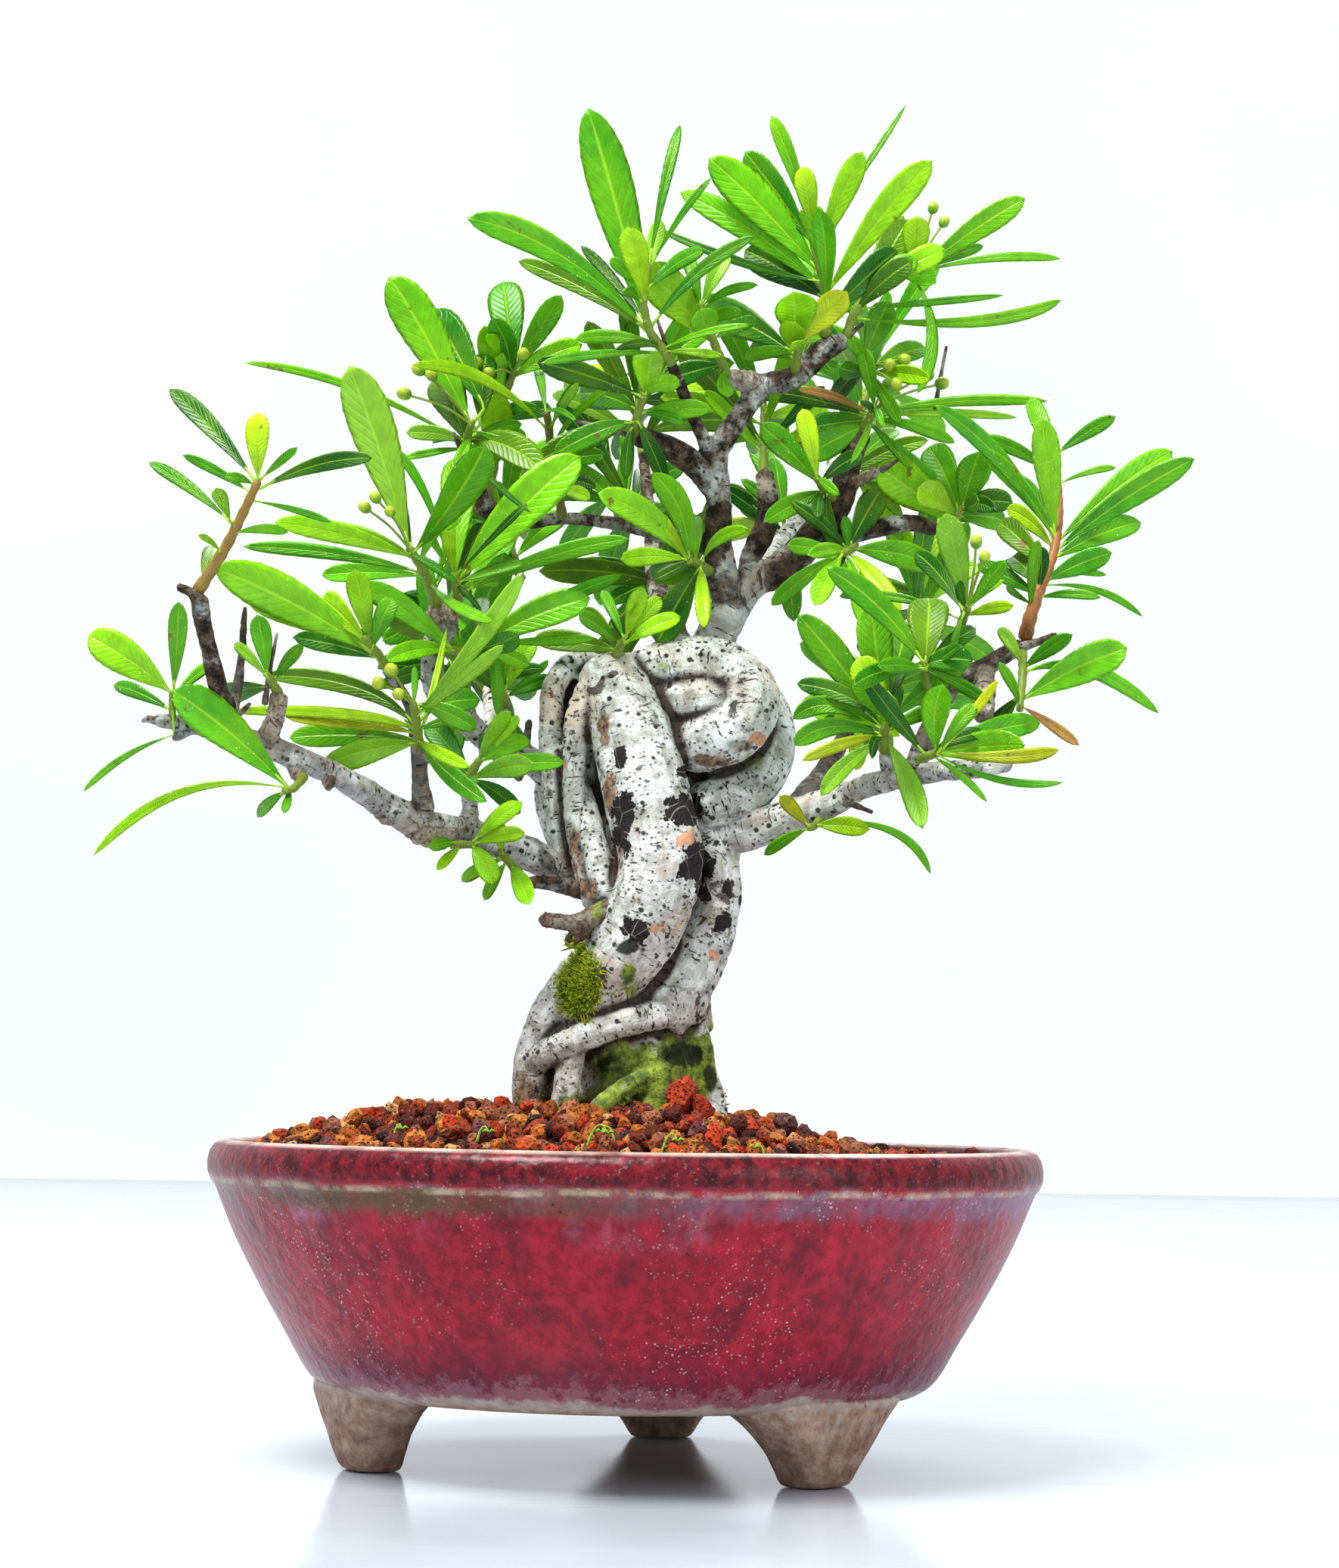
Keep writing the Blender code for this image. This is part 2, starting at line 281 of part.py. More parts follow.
        stem=[(1232, 922, -9, 13), (1224, 898, -12, 12), (1222, 874, -14, 10)],
        leaves=[(1093, 750, 1222, 878, 36, "M", 1165, 805), (1228, 790, 1223, 880, 56, "O"), (1160, 880, 1223, 884, 22, "M"), (1290, 830, 1223, 884, 24, "D")],
    ),
    "shoot_right_outer": dict(
        stem=[(1356, 838, -4, 20), (1362, 815, -5, 19), (1372, 785, -5, 17), (1384, 755, -5, 15), (1394, 725, -5, 13), (1400, 680, -5, 11), (1398, 630, -5, 9), (1394, 590, -5, 8)],
        leaves=[(1378, 552, 1395, 712, 38, "L"), (1550, 596, 1396, 718, 36, "M"), (1579, 606, 1393, 730, 36, "M"), (1508, 690, 1390, 740, 34, "M"), (1470, 730, 1380, 768, 32, "M"), (1510, 815, 1378, 774, 10, "M", 1450, 780), (1463, 760, 1384, 756, 10, "M"), (1455, 790, 1372, 790, 14, "M"), (1292, 745, 1372, 788, 24, "D"), (1320, 690, 1384, 756, 34, "O"), (1235, 535, 1394, 714, 26, "M", 1322, 608), (1335, 630, 1398, 700, 24, "D"), (1475, 550, 1396, 600, 20, "M"), (1475, 618, 1399, 640, 10, "M"), (1362, 525, 1395, 610, 26, "M"), (1298, 578, 1398, 630, 20, "M")],
    ),
    "shoot_right_low_in": dict(
        stem=[(1170, 986, -12, 14), (1169, 970, -13, 13), (1170, 948, -14, 10)],
        leaves=[(1055, 812, 1169, 962, 44, "M"), (1135, 868, 1169, 960, 44, "L"), (1150, 800, 1170, 955, 48, "M"), (1200, 822, 1170, 952, 42, "D"), (1048, 950, 1169, 966, 26, "M", 1100, 932), (1050, 985, 1169, 972, 28, "M", 1100, 960), (1085, 1052, 1169, 976, 24, "P", 1120, 1010), (1060, 1005, 1169, 972, 18, "Y"), (1220, 1095, 1170, 978, 32, "P", 1200, 1030), (1245, 935, 1169, 968, 20, "M")],
    ),
    "shoot_right_low_out": dict(
        stem=[(1218, 1002, -12, 13), (1230, 998, -14, 12), (1244, 994, -15, 9)],
        leaves=[(1355, 985, 1230, 998, 44, "B"), (1375, 955, 1236, 994, 34, "M"), (1400, 990, 1244, 994, 20, "Y", 1330, 1000), (1305, 1060, 1230, 998, 10, "M"), (1405, 1034, 1238, 996, 11, "M", 1320, 1030), (1290, 930, 1240, 994, 22, "M")],
    ),
    "shoot_right_low_tip": dict(
        stem=[(1352, 868, -6, 12), (1352, 890, -8, 12), (1350, 915, -9, 11), (1348, 938, -10, 9)],
        leaves=[(1490, 856, 1350, 925, 50, "M"), (1532, 943, 1352, 890, 20, "M", 1435, 884), (1418, 838, 1352, 884, 22, "M"), (1320, 830, 1352, 880, 18, "P"), (1427, 985, 1348, 932, 15, "T"), (1290, 985, 1350, 918, 20, "D")],
    ),
    "shoot_right_low_under": dict(
        stem=[(1082, 1086, -9, 12), (1076, 1092, -11, 11), (1068, 1094, -13, 9)],
        leaves=[(1150, 1096, 1078, 1091, 26, "L"), (1230, 1155, 1080, 1090, 12, "M", 1178, 1098), (1030, 1052, 1070, 1093, 20, "Y"), (1010, 1130, 1070, 1094, 16, "M")],
    ),
}

# Shoots on the far side, which a look from the front only shows between the others:
# root on the wood (x, y, depth), direction, number of leaves.
BACK_SHOOTS = [
    ("shoot_back_left_a", (690, 768, 44), (-0.3, 0.5, 0.8), 9),
    ("shoot_back_left_b", (657, 830, 31), (-0.8, 0.5, 0.3), 8),
    ("shoot_back_left_c", (650, 900, 17), (-0.5, 0.8, 0.1), 8),
    ("shoot_back_middle_a", (850, 606, 50), (-0.1, 0.5, 0.9), 9),
    ("shoot_back_middle_b", (860, 690, 41), (-0.6, 0.8, 0.3), 8),
    ("shoot_back_middle_c", (870, 780, 25), (0.3, 0.9, 0.1), 8),
    ("shoot_back_right_a", (1130, 566, 52), (0.3, 0.5, 0.8), 9),
    ("shoot_back_right_b", (1090, 640, 43), (0.7, 0.7, 0.2), 8),
    ("shoot_back_right_c", (1032, 720, 25), (0.1, 0.9, 0.2), 8),
    ("shoot_back_low_a", (1180, 866, 42), (0.5, 0.5, 0.7), 8),
    ("shoot_back_low_b", (1140, 930, 33), (0.1, 0.9, -0.1), 8),
    ("shoot_back_top", (1010, 632, 11), (0.0, 0.6, 0.8), 9),
]
# The canopy seen from the front, as discs on the sheet (x, y, radius).
CANOPY = [(700, 740, 140), (600, 500, 100), (850, 560, 110), (800, 740, 120), (1050, 400, 130), (1160, 340, 90), (1190, 640, 120), (1080, 780, 100), (660, 1000, 90), (1150, 920, 100), (1290, 720, 90), (960, 470, 110), (1340, 640, 80), (560, 840, 100), (680, 560, 100), (1000, 640, 110), (850, 420, 90), (1280, 920, 80), (730, 900, 80)]
TONE_DEPTH = {"L": -7.0, "B": -9.0, "M": 1.0, "D": 11.0, "P": -5.0, "O": 5.0, "Y": 3.0, "T": 2.0}


def smooth_path(points, spacing):
    """Points along a Catmull-Rom curve through these rows, about this far apart."""
    p = np.asarray(points, float)
    if len(p) == 2:
        n = max(2, int(np.linalg.norm(p[1, :3] - p[0, :3]) / spacing) + 1)
        return np.array([p[0] + (p[1] - p[0]) * t for t in np.linspace(0, 1, n)])
    full = np.vstack([2 * p[0] - p[1], p, 2 * p[-1] - p[-2]])
    out = [p[0]]
    for i in range(1, len(full) - 2):
        a, b, c, d = full[i - 1 : i + 3]
        n = max(1, int(round(np.linalg.norm(c[:3] - b[:3]) / spacing)))
        for k in range(1, n + 1):
            t = k / n
            out.append(0.5 * ((2 * b) + (c - a) * t + (2 * a - 5 * b + 4 * c - d) * t * t + (3 * b - a - 3 * c + d) * t**3))
    return np.array(out)


def ease(t):
    t = min(1.0, max(0.0, t))
    return t * t * (3 - 2 * t)


def spread(u, v, depth):
    """Depth of a branch line: the crown opens towards the front as it leaves the trunk."""
    depth *= 1.0 + 1.3 * ease((abs(u - 870) - 150) / 320)
    depth -= 17.0 * ease((u - 1050) / 260) * ease((v - 560) / 240)
    depth -= 12.0 * ease((620 - v) / 200) * ease((1010 - u) / 130)
    return depth


def strand_path(rows, spacing, swell=0.0):
    """(centre points, radii) in mm of a strand from its sheet rows."""
    rows = [(u, v, spread(u, v, y), w) for u, v, y, w in rows]
    p = np.array([[*on_sheet(u, v, y), 0.5 * w * mm_per_unit(y) + swell] for u, v, y, w in rows])
    s = smooth_path(p, spacing)
    if swell:
        for end, inner in ((0, 1), (-1, -2)):
            way = s[end, :3] - s[inner, :3]
            s[end, :3] += way / np.linalg.norm(way) * swell
    return s[:, :3], np.maximum(s[:, 3], 0.3)


# ---------------------------------------------------------------- making objects
def clear_scene():
    for obj in list(bpy.data.objects):
        bpy.data.objects.remove(obj, do_unlink=True)
    for block in (bpy.data.meshes, bpy.data.curves, bpy.data.materials):
        for item in list(block):
            block.remove(item)


def material(name, colour, roughness=0.6, metallic=0.0, coat=0.0):
    mat = bpy.data.materials.new(name)
    mat.use_nodes = True
    shader = mat.node_tree.nodes["Principled BSDF"]
    shader.inputs["Base Color"].default_value = (*colour, 1.0)
    shader.inputs["Roughness"].default_value = roughness
    shader.inputs["Metallic"].default_value = metallic
    shader.inputs["Coat Weight"].default_value = coat
    mat.diffuse_color = (*colour, 1.0)
    return mat


def link(obj, collection):
    collection.objects.link(obj)
    return obj


def mesh_object(name, bm, collection, mat=None):
    bmesh.ops.recalc_face_normals(bm, faces=bm.faces)
    mesh = bpy.data.meshes.new(name)
    bm.to_mesh(mesh)
    bm.free()
    obj = link(bpy.data.objects.new(name, mesh), collection)
    if mat:
        mesh.materials.append(mat)
    return obj


def tube_object(name, path, radii, collection, resolution=1):
    """A closed tube mesh along these points, its radius changing from point to point."""
    data = bpy.data.curves.new(name, "CURVE")
    data.dimensions = "3D"
    data.bevel_depth = MM
    data.bevel_resolution = resolution
    data.use_fill_caps = True
    line = data.splines.new("POLY")
    line.points.add(len(path) - 1)
    for point, co, r in zip(line.points, path, radii):
        point.co = (*(np.asarray(co) * MM), 1.0)
        point.radius = float(r)
    curve = link(bpy.data.objects.new(name + "_line", data), collection)
    bpy.context.view_layer.update()
    mesh = bpy.data.meshes.new_from_object(curve.evaluated_get(bpy.context.evaluated_depsgraph_get()))
    bpy.data.objects.remove(curve, do_unlink=True)
    bpy.data.curves.remove(data)
    bm = bmesh.new()
    bm.from_mesh(mesh)
    bpy.data.meshes.remove(mesh)
    bmesh.ops.remove_doubles(bm, verts=bm.verts, dist=1e-6)
    return mesh_object(name, bm, collection)


def settled(obj):
    """Puts the evaluated mesh in the modifiers' place."""
    bpy.context.view_layer.update()
    mesh = bpy.data.meshes.new_from_object(obj.evaluated_get(bpy.context.evaluated_depsgraph_get()))
    old = obj.data
    obj.modifiers.clear()
    obj.data = mesh
    mesh.name = obj.name
    bpy.data.meshes.remove(old)
    return obj


def join(objects, name):
    bm = bmesh.new()
    for obj in objects:
        bm.from_mesh(obj.data)
    collection = objects[0].users_collection[0]
    for obj in objects:
        mesh = obj.data
        bpy.data.objects.remove(obj, do_unlink=True)
        bpy.data.meshes.remove(mesh)
    return mesh_object(name, bm, collection)


def largest_piece(obj):
    """Drops all but the largest connected piece, such as a bubble inside fused strands."""
    bm = bmesh.new()
    bm.from_mesh(obj.data)
    left, groups = set(bm.verts), []
    while left:
        seed = left.pop()
        group, todo = {seed}, [seed]
        while todo:
            for edge in todo.pop().link_edges:
                for v in edge.verts:
                    if v not in group:
                        group.add(v)
                        todo.append(v)
        left -= group
        groups.append(group)
    groups.sort(key=len, reverse=True)
    for group in groups[1:]:
        bmesh.ops.delete(bm, geom=list(group), context="VERTS")
    bmesh.ops.triangulate(bm, faces=bm.faces)
    bm.to_mesh(obj.data)
    bm.free()
    return obj


def fused(strands, name, collection, voxel, triangles, swell=0.0):
    """Strands grown together: their tubes are fused into one skin and then thinned out."""
    tubes = []
    for i, rows in enumerate(strands):
        path, radii = strand_path(rows, 2.5, swell)
        if swell == 0.0:
            radii = np.maximum(radii, 0.85)
        tubes.append(tube_object(f"{name}_{i}", path, radii, collection, 4))
    obj = join(tubes, name)
    remesh = obj.modifiers.new("fuse", "REMESH")
    remesh.mode = "VOXEL"
    remesh.voxel_size = voxel * MM
    settled(obj)
    largest_piece(obj)
    count = len(obj.data.polygons)
    thin = obj.modifiers.new("thin", "DECIMATE")
    thin.decimate_type = "COLLAPSE"
    thin.ratio = min(1.0, triangles / count)
    settled(obj)
    return largest_piece(obj)


def boolean(obj, other, operation, solver="EXACT"):
    cut = obj.modifiers.new(operation.lower(), "BOOLEAN")
    cut.operation = operation
    cut.solver = solver
    if isinstance(other, bpy.types.Collection):
        cut.operand_type = "COLLECTION"
        cut.collection = other
    else:
        cut.object = other
    settled(obj)


def drop(obj):
    mesh = obj.data
    bpy.data.objects.remove(obj, do_unlink=True)
    bpy.data.meshes.remove(mesh)


def tree_of(obj):
    mesh = obj.data
    verts = [v.co / MM for v in mesh.vertices]
    return BVHTree.FromPolygons(verts, [tuple(p.vertices) for p in mesh.polygons])


# ---------------------------------------------------------------- leaves
def leaf_sections(attach, base, via, tip, width, roll, thick, extra=0.0):
    """Corner points of a leaf: a thin blade with a folded midrib, on its petiole."""
    attach, base, tip = (np.asarray(p, float) for p in (attach, base, tip))
    mid = (base + tip) / 2 if via is None else np.asarray(via, float)
    control = 2 * mid - (base + tip) / 2

    def curve(t):
        return (1 - t) ** 2 * base + 2 * t * (1 - t) * control + t * t * tip

    axis = tip - base
    axis /= np.linalg.norm(axis)
    to_eye = EYE - mid
    normal = to_eye - axis * (to_eye @ axis)
    normal /= np.linalg.norm(normal)
    side = np.cross(axis, normal)
    c, s = math.cos(roll), math.sin(roll)
    side, normal = side * c + normal * s, normal * c - side * s
    rows = []
    if np.linalg.norm(base - attach) > 2.5:
        rows.append((base, 0.9))
    rows += [(curve(0.36), 0.80 * width), (curve(0.74), 0.94 * width)]
    rings = []
    for centre, w in rows:
        h = 0.10 * w
        rings.append([centre - side * (w / 2 + extra) + normal * (h + extra), centre + side * (w / 2 + extra) + normal * (h + extra), centre - normal * (thick + extra)])
    return attach, rings, curve(1.0) + axis * extra


def leaf_faces(attach, rings, tip):
    verts = [attach] + [p for ring in rings for p in ring] + [tip]
    n = len(rings)
    faces = [(0, 1 + (k + 1) % 3, 1 + k) for k in range(3)]
    for i in range(n - 1):
        a, b = 1 + 3 * i, 4 + 3 * i
        for k in range(3):
            j = (k + 1) % 3
            faces += [(a + k, a + j, b + j), (a + k, b + j, b + k)]
    a, t = 1 + 3 * (n - 1), len(verts) - 1
    faces += [(a + k, a + (k + 1) % 3, t) for k in range(3)]
    return verts, faces


def nearest_on(path, point):
    """The stem's nearest point, kept clear of the stem's two ends."""
    best = None
    last = len(path) - 2
    for i, (a, b) in enumerate(zip(path[:-1], path[1:])):
        d = b - a
        inset = 0.7 / np.linalg.norm(d)
        low = min(0.45, inset) if i == 0 else 0.02
        high = 1.0 - (min(0.45, inset) if i == last else 0.02)
        t = min(high, max(low, (point - a) @ d / (d @ d)))
        q = a + d * t
        gap = np.linalg.norm(q - point)
        if best is None or gap < best[0]:
            best = (gap, q)
    return best[1]


def clear_of(tree, box, verts, faces, placed, own):
    """Whether this leaf's hull touches neither the wood nor any other shoot."""
    lo, hi = box
    trial = BVHTree.FromPolygons([Vector(v) for v in verts], faces)
    if tree.overlap(trial):
        return False
    for owner, (lo2, hi2), other in placed:
        if owner == own:
            continue
        if (lo > hi2).any() or (hi < lo2).any():
            continue
        if other.overlap(trial):
            return False
    return True


def box_of(verts):
    v = np.asarray(verts)
    return v.min(axis=0), v.max(axis=0)


def own_clear(trial_verts, faces, own_blades):
    trial = BVHTree.FromPolygons([Vector(v) for v in trial_verts], faces)
    lo, hi = box_of(trial_verts)
    for (lo2, hi2), other in own_blades:
        if (lo > hi2).any() or (hi < lo2).any():
            continue
        if other.overlap(trial):
            return False
    return True


def back_shoot(root, direction, count, seed):
    """Stem and leaf ends, in space, of a shoot on the far side."""
    rng = np.random.default_rng(seed)
    start = on_sheet(root[0], root[1], spread(*root))
    d = np.array(direction, float)
    d /= np.linalg.norm(d)
    length = rng.uniform(13, 18)
    bend = np.array([0, 0, 0.35])
    stem = np.array([start + d * length * t + bend * length * t * t * 0.5 for t in np.linspace(0, 1, 5)])
    a = np.cross(d, [0, 0, 1.0])
    a /= np.linalg.norm(a)
    b = np.cross(a, d)
    leaves = []
    for i in range(count):
        t = 0.30 + 0.70 * i / (count - 1)
        base = stem[0] + (stem[-1] - stem[0]) * t
        turn = i * 2.399 + rng.uniform(-0.3, 0.3)
        lean = rng.uniform(0.35, 0.75) if i < count - 2 else rng.uniform(0.9, 1.2)
        way = (a * math.cos(turn) + b * math.sin(turn)) + d * lean
        way /= np.linalg.norm(way)
        size = rng.uniform(17, 29)
        tip = base + way * size + np.array([0, 0, rng.uniform(-2, 3)])
        width = size * rng.uniform(0.17, 0.25)
        tone = "MDMLDMOM"[int(rng.integers(8))]
        leaves.append((base, tip, width, tone))
    return stem, np.linspace(0.95, 0.6, 5), leaves


def layout(wood_tree):
    """Every shoot's stem and leaves in space, each leaf turned until it is clear."""
    stems, plans = {}, {}
    for name, shoot in SHOOTS.items():
        path, radii = strand_path(shoot["stem"], 3.0)
        stems[name] = (path, np.maximum(radii, 0.5))
    back = {}
    for k, (name, root, direction, count) in enumerate(BACK_SHOOTS):
        path, radii, leaves = back_shoot(root, direction, count, 40 + k)
        stems[name] = (path, radii)
        back[name] = leaves
    # Each stem starts where it leaves the wood.
    for name, (path, radii) in stems.items():
        fine = np.linspace(0, len(path) - 1, (len(path) - 1) * 8 + 1)
        pts = np.array([np.interp(fine, range(len(path)), path[:, k]) for k in range(3)]).T
        rad = np.interp(fine, range(len(path)), radii)
        start, run = 0, 0
        for i, (p, r) in enumerate(zip(pts, rad)):
            near, normal, _, gap = wood_tree.find_nearest(Vector(p))
            inside = gap < 3.0 and (Vector(p) - near).dot(normal) < 0
            if inside or gap < r + 0.4:
                start, run = i + 1, 0
            else:
                run += 1
                if run > 16:
                    break
        start = min(start, len(pts) - 6)
        keep = [start] + [i for i in range(start + 1, len(pts)) if i % 8 == 0 and i - start > 3]
        if keep[-1] != len(pts) - 1:
            keep.append(len(pts) - 1)
        stems[name] = (pts[keep], rad[keep])
    placed = []
    for name, (path, radii) in stems.items():
        verts, faces = [], []
        for p, r in zip(path, radii):
            for k in range(6):
                verts.append(p + (r + 0.35) * np.array([math.cos(k * math.pi / 3), 0, math.sin(k * math.pi / 3)]))
        for i in range(len(path) - 1):
            for k in range(6):
                a, b = 6 * i + k, 6 * i + (k + 1) % 6
                faces += [(a, b, b + 6), (a, b + 6, a + 6)]
        verts2 = []
        for i, p in enumerate(path):
            d = path[min(i + 1, len(path) - 1)] - path[max(i - 1, 0)]
            d /= np.linalg.norm(d)
            a = np.cross(d, [0.3, 0.9, 0.1])
            a /= np.linalg.norm(a)
            b = np.cross(d, a)
            for k in range(6):
                t = k * math.pi / 3
                verts2.append(p + (radii[i] + 0.35) * (a * math.cos(t) + b * math.sin(t)))
        placed.append((name, box_of(verts2), BVHTree.FromPolygons([Vector(v) for v in verts2], faces)))
    missed = 0
    for name in stems:
        path, radii = stems[name]
        own, blades = [], []
        if name in SHOOTS:
            rows = SHOOTS[name]["leaves"]
        else:
            rows = back[name]
        for i, row in enumerate(rows):
            done = False
            if name in SHOOTS:
                tu, tv, bu, bv, w, tone = row[:6]
                via2 = row[6:8] if len(row) > 6 else None
                # the stem point whose place on the sheet is nearest to the leaf's base
                flat = np.array([sheet_of(p) for p in path])
                d = np.hypot(flat[:, 0] - bu, flat[:, 1] - bv)
                k = int(d.argmin())
                depth0 = path[k][1]
                prefer = TONE_DEPTH[tone] + 8.0 * math.sin(i * 2.4)
                tries = [0, 4, -4, 8, -8, 12, -12, 17, -17, 22, -22, 27, -27]
                for step in tries:
                    for roll in (0.12, -0.3, 0.45):
                        roll = roll if i % 2 else -roll
                        y1 = depth0 + max(-30.0, min(30.0, prefer + step))
                        base = on_sheet(bu, bv, depth0)
                        attach = nearest_on(path, base)
                        tip = on_sheet(tu, tv, y1)
                        arch = -1.5 if i % 2 else 1.0
                        if via2:
                            via = on_sheet(via2[0], via2[1], depth0 + 0.5 * (y1 - depth0) + arch)
                        else:
                            via = (base + tip) / 2 + np.array([0, arch, 0.04 * np.linalg.norm(tip - base)])
                        width = w * mm_per_unit((depth0 + y1) / 2) / math.cos(roll)
                        done = try_leaf(name, i, attach, base, via, tip, width, roll, tone, wood_tree, placed, own, blades, plans)
                        if done:
                            break
                    if done:
                        break
            else:
                base, tip, width, tone = row
                for step in range(9):
                    c = math.cos(step * 0.35 * (-1) ** step)
                    s = math.sin(step * 0.35 * (-1) ** step)
                    d = tip - base
                    turned = base + np.array([d[0] * c - d[1] * s, d[0] * s + d[1] * c, d[2]])
                    mid = (base + turned) / 2
                    if turned[2] < 85 or not all(any(math.hypot(u - cu, v - cv) < r for cu, cv, r in CANOPY) for u, v in (sheet_of(turned), sheet_of(mid))):
                        continue
                    attach = nearest_on(path, base)
                    via = mid + np.array([0, 0, 0.07 * np.linalg.norm(d)])
                    roll = 0.5 * math.sin(i * 1.7)
                    done = try_leaf(name, i, attach, base, via, turned, width, roll, tone, wood_tree, placed, own, blades, plans)
                    if done:
                        break
            if not done:
                missed += 1
        for item in own:
            placed.append(item)
        # flower buds on thin stalks
        if name in SHOOTS:
            for bu, bv in SHOOTS[name].get("buds", ()):
                for step in (-5, -9, 0, 5, -13, 9, 14):
                    top = on_sheet(bu, bv, path[-1][1] + step)
                    foot = nearest_on(path, top)
                    axis = top - foot
                    side = np.cross(axis, [0, 1.0, 0])
                    side /= np.linalg.norm(side)
                    ring = [top + 1.7 * (side * math.cos(a) + np.array([0, 1.0, 0]) * math.sin(a)) for a in (0, 2.1, 4.2)]
                    verts, faces = leaf_faces(foot, [ring], top + axis / np.linalg.norm(axis) * 2.2)
                    if clear_of(wood_tree, box_of(verts), verts, faces, placed, name) and own_clear(verts, faces, blades):
                        plans.setdefault(name, []).append(dict(kind="bud", top=top, foot=foot))
                        placed.append((name, box_of(verts), BVHTree.FromPolygons([Vector(v) for v in verts], faces)))
                        break
    return stems, plans, missed


def try_leaf(name, index, attach, base, via, tip, width, roll, tone, wood_tree, placed, own, blades, plans):
    a, rings, t = leaf_sections(attach, base, via, tip, width, roll, 0.55, 0.4)
    verts, faces = leaf_faces(a, rings, t)
    box = box_of(verts)
    if not clear_of(wood_tree, box, verts, faces, placed, name):
        return False
    # the blade past its narrow base is clear of this shoot's other blades too
    a2, rings2, t2 = leaf_sections(attach, base, via, tip, width, roll, 0.3, 0.0)
    inner = rings2[-2:]
    start = np.mean(inner[0], axis=0) * 0.8 + np.asarray(base) * 0.2
    v2, f2 = leaf_faces(start, inner, t2)
    if not own_clear(v2, f2, blades):
        return False
    own.append((name, box, BVHTree.FromPolygons([Vector(v) for v in verts], faces)))
    blades.append((box_of(v2), BVHTree.FromPolygons([Vector(v) for v in v2], f2)))
    plans.setdefault(name, []).append(dict(kind="leaf", attach=attach, base=base, via=via, tip=tip, width=width, roll=roll, tone=tone))
    return True


def at_point(point):
    return Matrix.Translation(Vector(np.asarray(point) * MM))


def closed_single(mesh):
    """Whether this mesh is closed and in one piece, also once its close points are merged."""
    bm = bmesh.new()
    bm.from_mesh(mesh)
    bmesh.ops.remove_doubles(bm, verts=bm.verts, dist=1e-6)
    ok = len(bm.faces) > 0 and all(len(e.link_faces) == 2 for e in bm.edges)
    if ok:
        bm.verts.ensure_lookup_table()
        seen = {bm.verts[0]}
        todo = [bm.verts[0]]
        while todo:
            for edge in todo.pop().link_edges:
                for v in edge.verts:
                    if v not in seen:
                        seen.add(v)
                        todo.append(v)
        ok = len(seen) == len(bm.verts) and bm.calc_volume(signed=True) > 0
    bm.free()
    return ok


def grow_shoot(name, path, radii, plans, collection, spare, mat):
    """One shoot: its stem, leaves and buds united into one solid."""
    stem = tube_object(name, path, radii, collection, 1)
    pieces = []
    for k, plan in enumerate(plans):
        if plan["kind"] == "leaf":
            a, rings, tip = leaf_sections(plan["attach"], plan["base"], plan["via"], plan["tip"], plan["width"], plan["roll"], 0.55)
            verts, faces = leaf_faces(a, rings, tip)
            bm = bmesh.new()
            made = [bm.verts.new(Vector(v) * MM) for v in verts]
            for f in faces:
                bm.faces.new([made[i] for i in f])
            pieces.append(mesh_object(f"{name}_{k}", bm, spare))
        else:
            pieces.append(tube_object(f"{name}_{k}", [plan["foot"], plan["top"]], [0.42, 0.42], spare, 0))
            bm = bmesh.new()
            bmesh.ops.create_icosphere(bm, subdivisions=1, radius=1.25 * MM, matrix=at_point(plan["top"]))
            pieces.append(mesh_object(f"{name}_{k}b", bm, spare))
    mats = [mat]
    for piece in pieces:
        before = stem.data.copy()
        for attempt in range(4):
            boolean(stem, piece, "UNION", "MANIFOLD" if attempt % 2 else "EXACT")
            if closed_single(stem.data):
                break
            # a corner fell exactly on a face: move the piece by a hair and try again
            old = stem.data
            stem.data = before.copy()
            bpy.data.meshes.remove(old)
            for v in piece.data.vertices:
                v.co += Vector((0.031, 0.047, -0.023)) * MM * (attempt + 1) * (-1) ** attempt
        else:
            print("left out", piece.name)
        bpy.data.meshes.remove(before)
        drop(piece)
    stem.data.materials.clear()
    for m in mats:
        stem.data.materials.append(m)
    return stem


# ---------------------------------------------------------------- the pot
POT_PROFILE = [(0, 20.0), (44, 20.0), (50.5, 21.4), (55, 25.2), (59.5, 31.5), (63.2, 38.5), (66.2, 45.0), (68.6, 50.6), (69.6, 53.6), (70.2, 55.5), (71.2, 56.5), (72.4, 56.7), (73.7, 56.1), (74.7, 54.6), (75.1, 52.0), (73.6, 48.2), (69.2, 38.1), (63.6, 27.6), (58.4, 18.8), (56.4, 15.6), (53.6, 13.6), (50.0, 12.8), (0, 12.6)]


def inner_radius(z):
    """Radius of the pot's inner wall at this height."""
    wall = [(r, h) for r, h in POT_PROFILE[1:12]]
    return float(np.interp(z, [h for _, h in wall], [r for r, _ in wall]))


def turned(name, profile, steps, collection, mat=None):
    mesh = bpy.data.meshes.new(name)
    mesh.from_pydata([(r * MM, 0, z * MM) for r, z in profile], [(i, i + 1) for i in range(len(profile) - 1)], [])
    obj = link(bpy.data.objects.new(name, mesh), collection)
    screw = obj.modifiers.new("turn", "SCREW")
    screw.steps = screw.render_steps = steps
    screw.use_merge_vertices = True
    screw.merge_threshold = 1e-5
    settled(obj)
    bm = bmesh.new()
    bm.from_mesh(obj.data)
    bmesh.ops.remove_doubles(bm, verts=bm.verts, dist=1e-6)
    bmesh.ops.recalc_face_normals(bm, faces=bm.faces)
    bm.to_mesh(obj.data)
    bm.free()
    if mat:
        obj.data.materials.append(mat)
    return obj


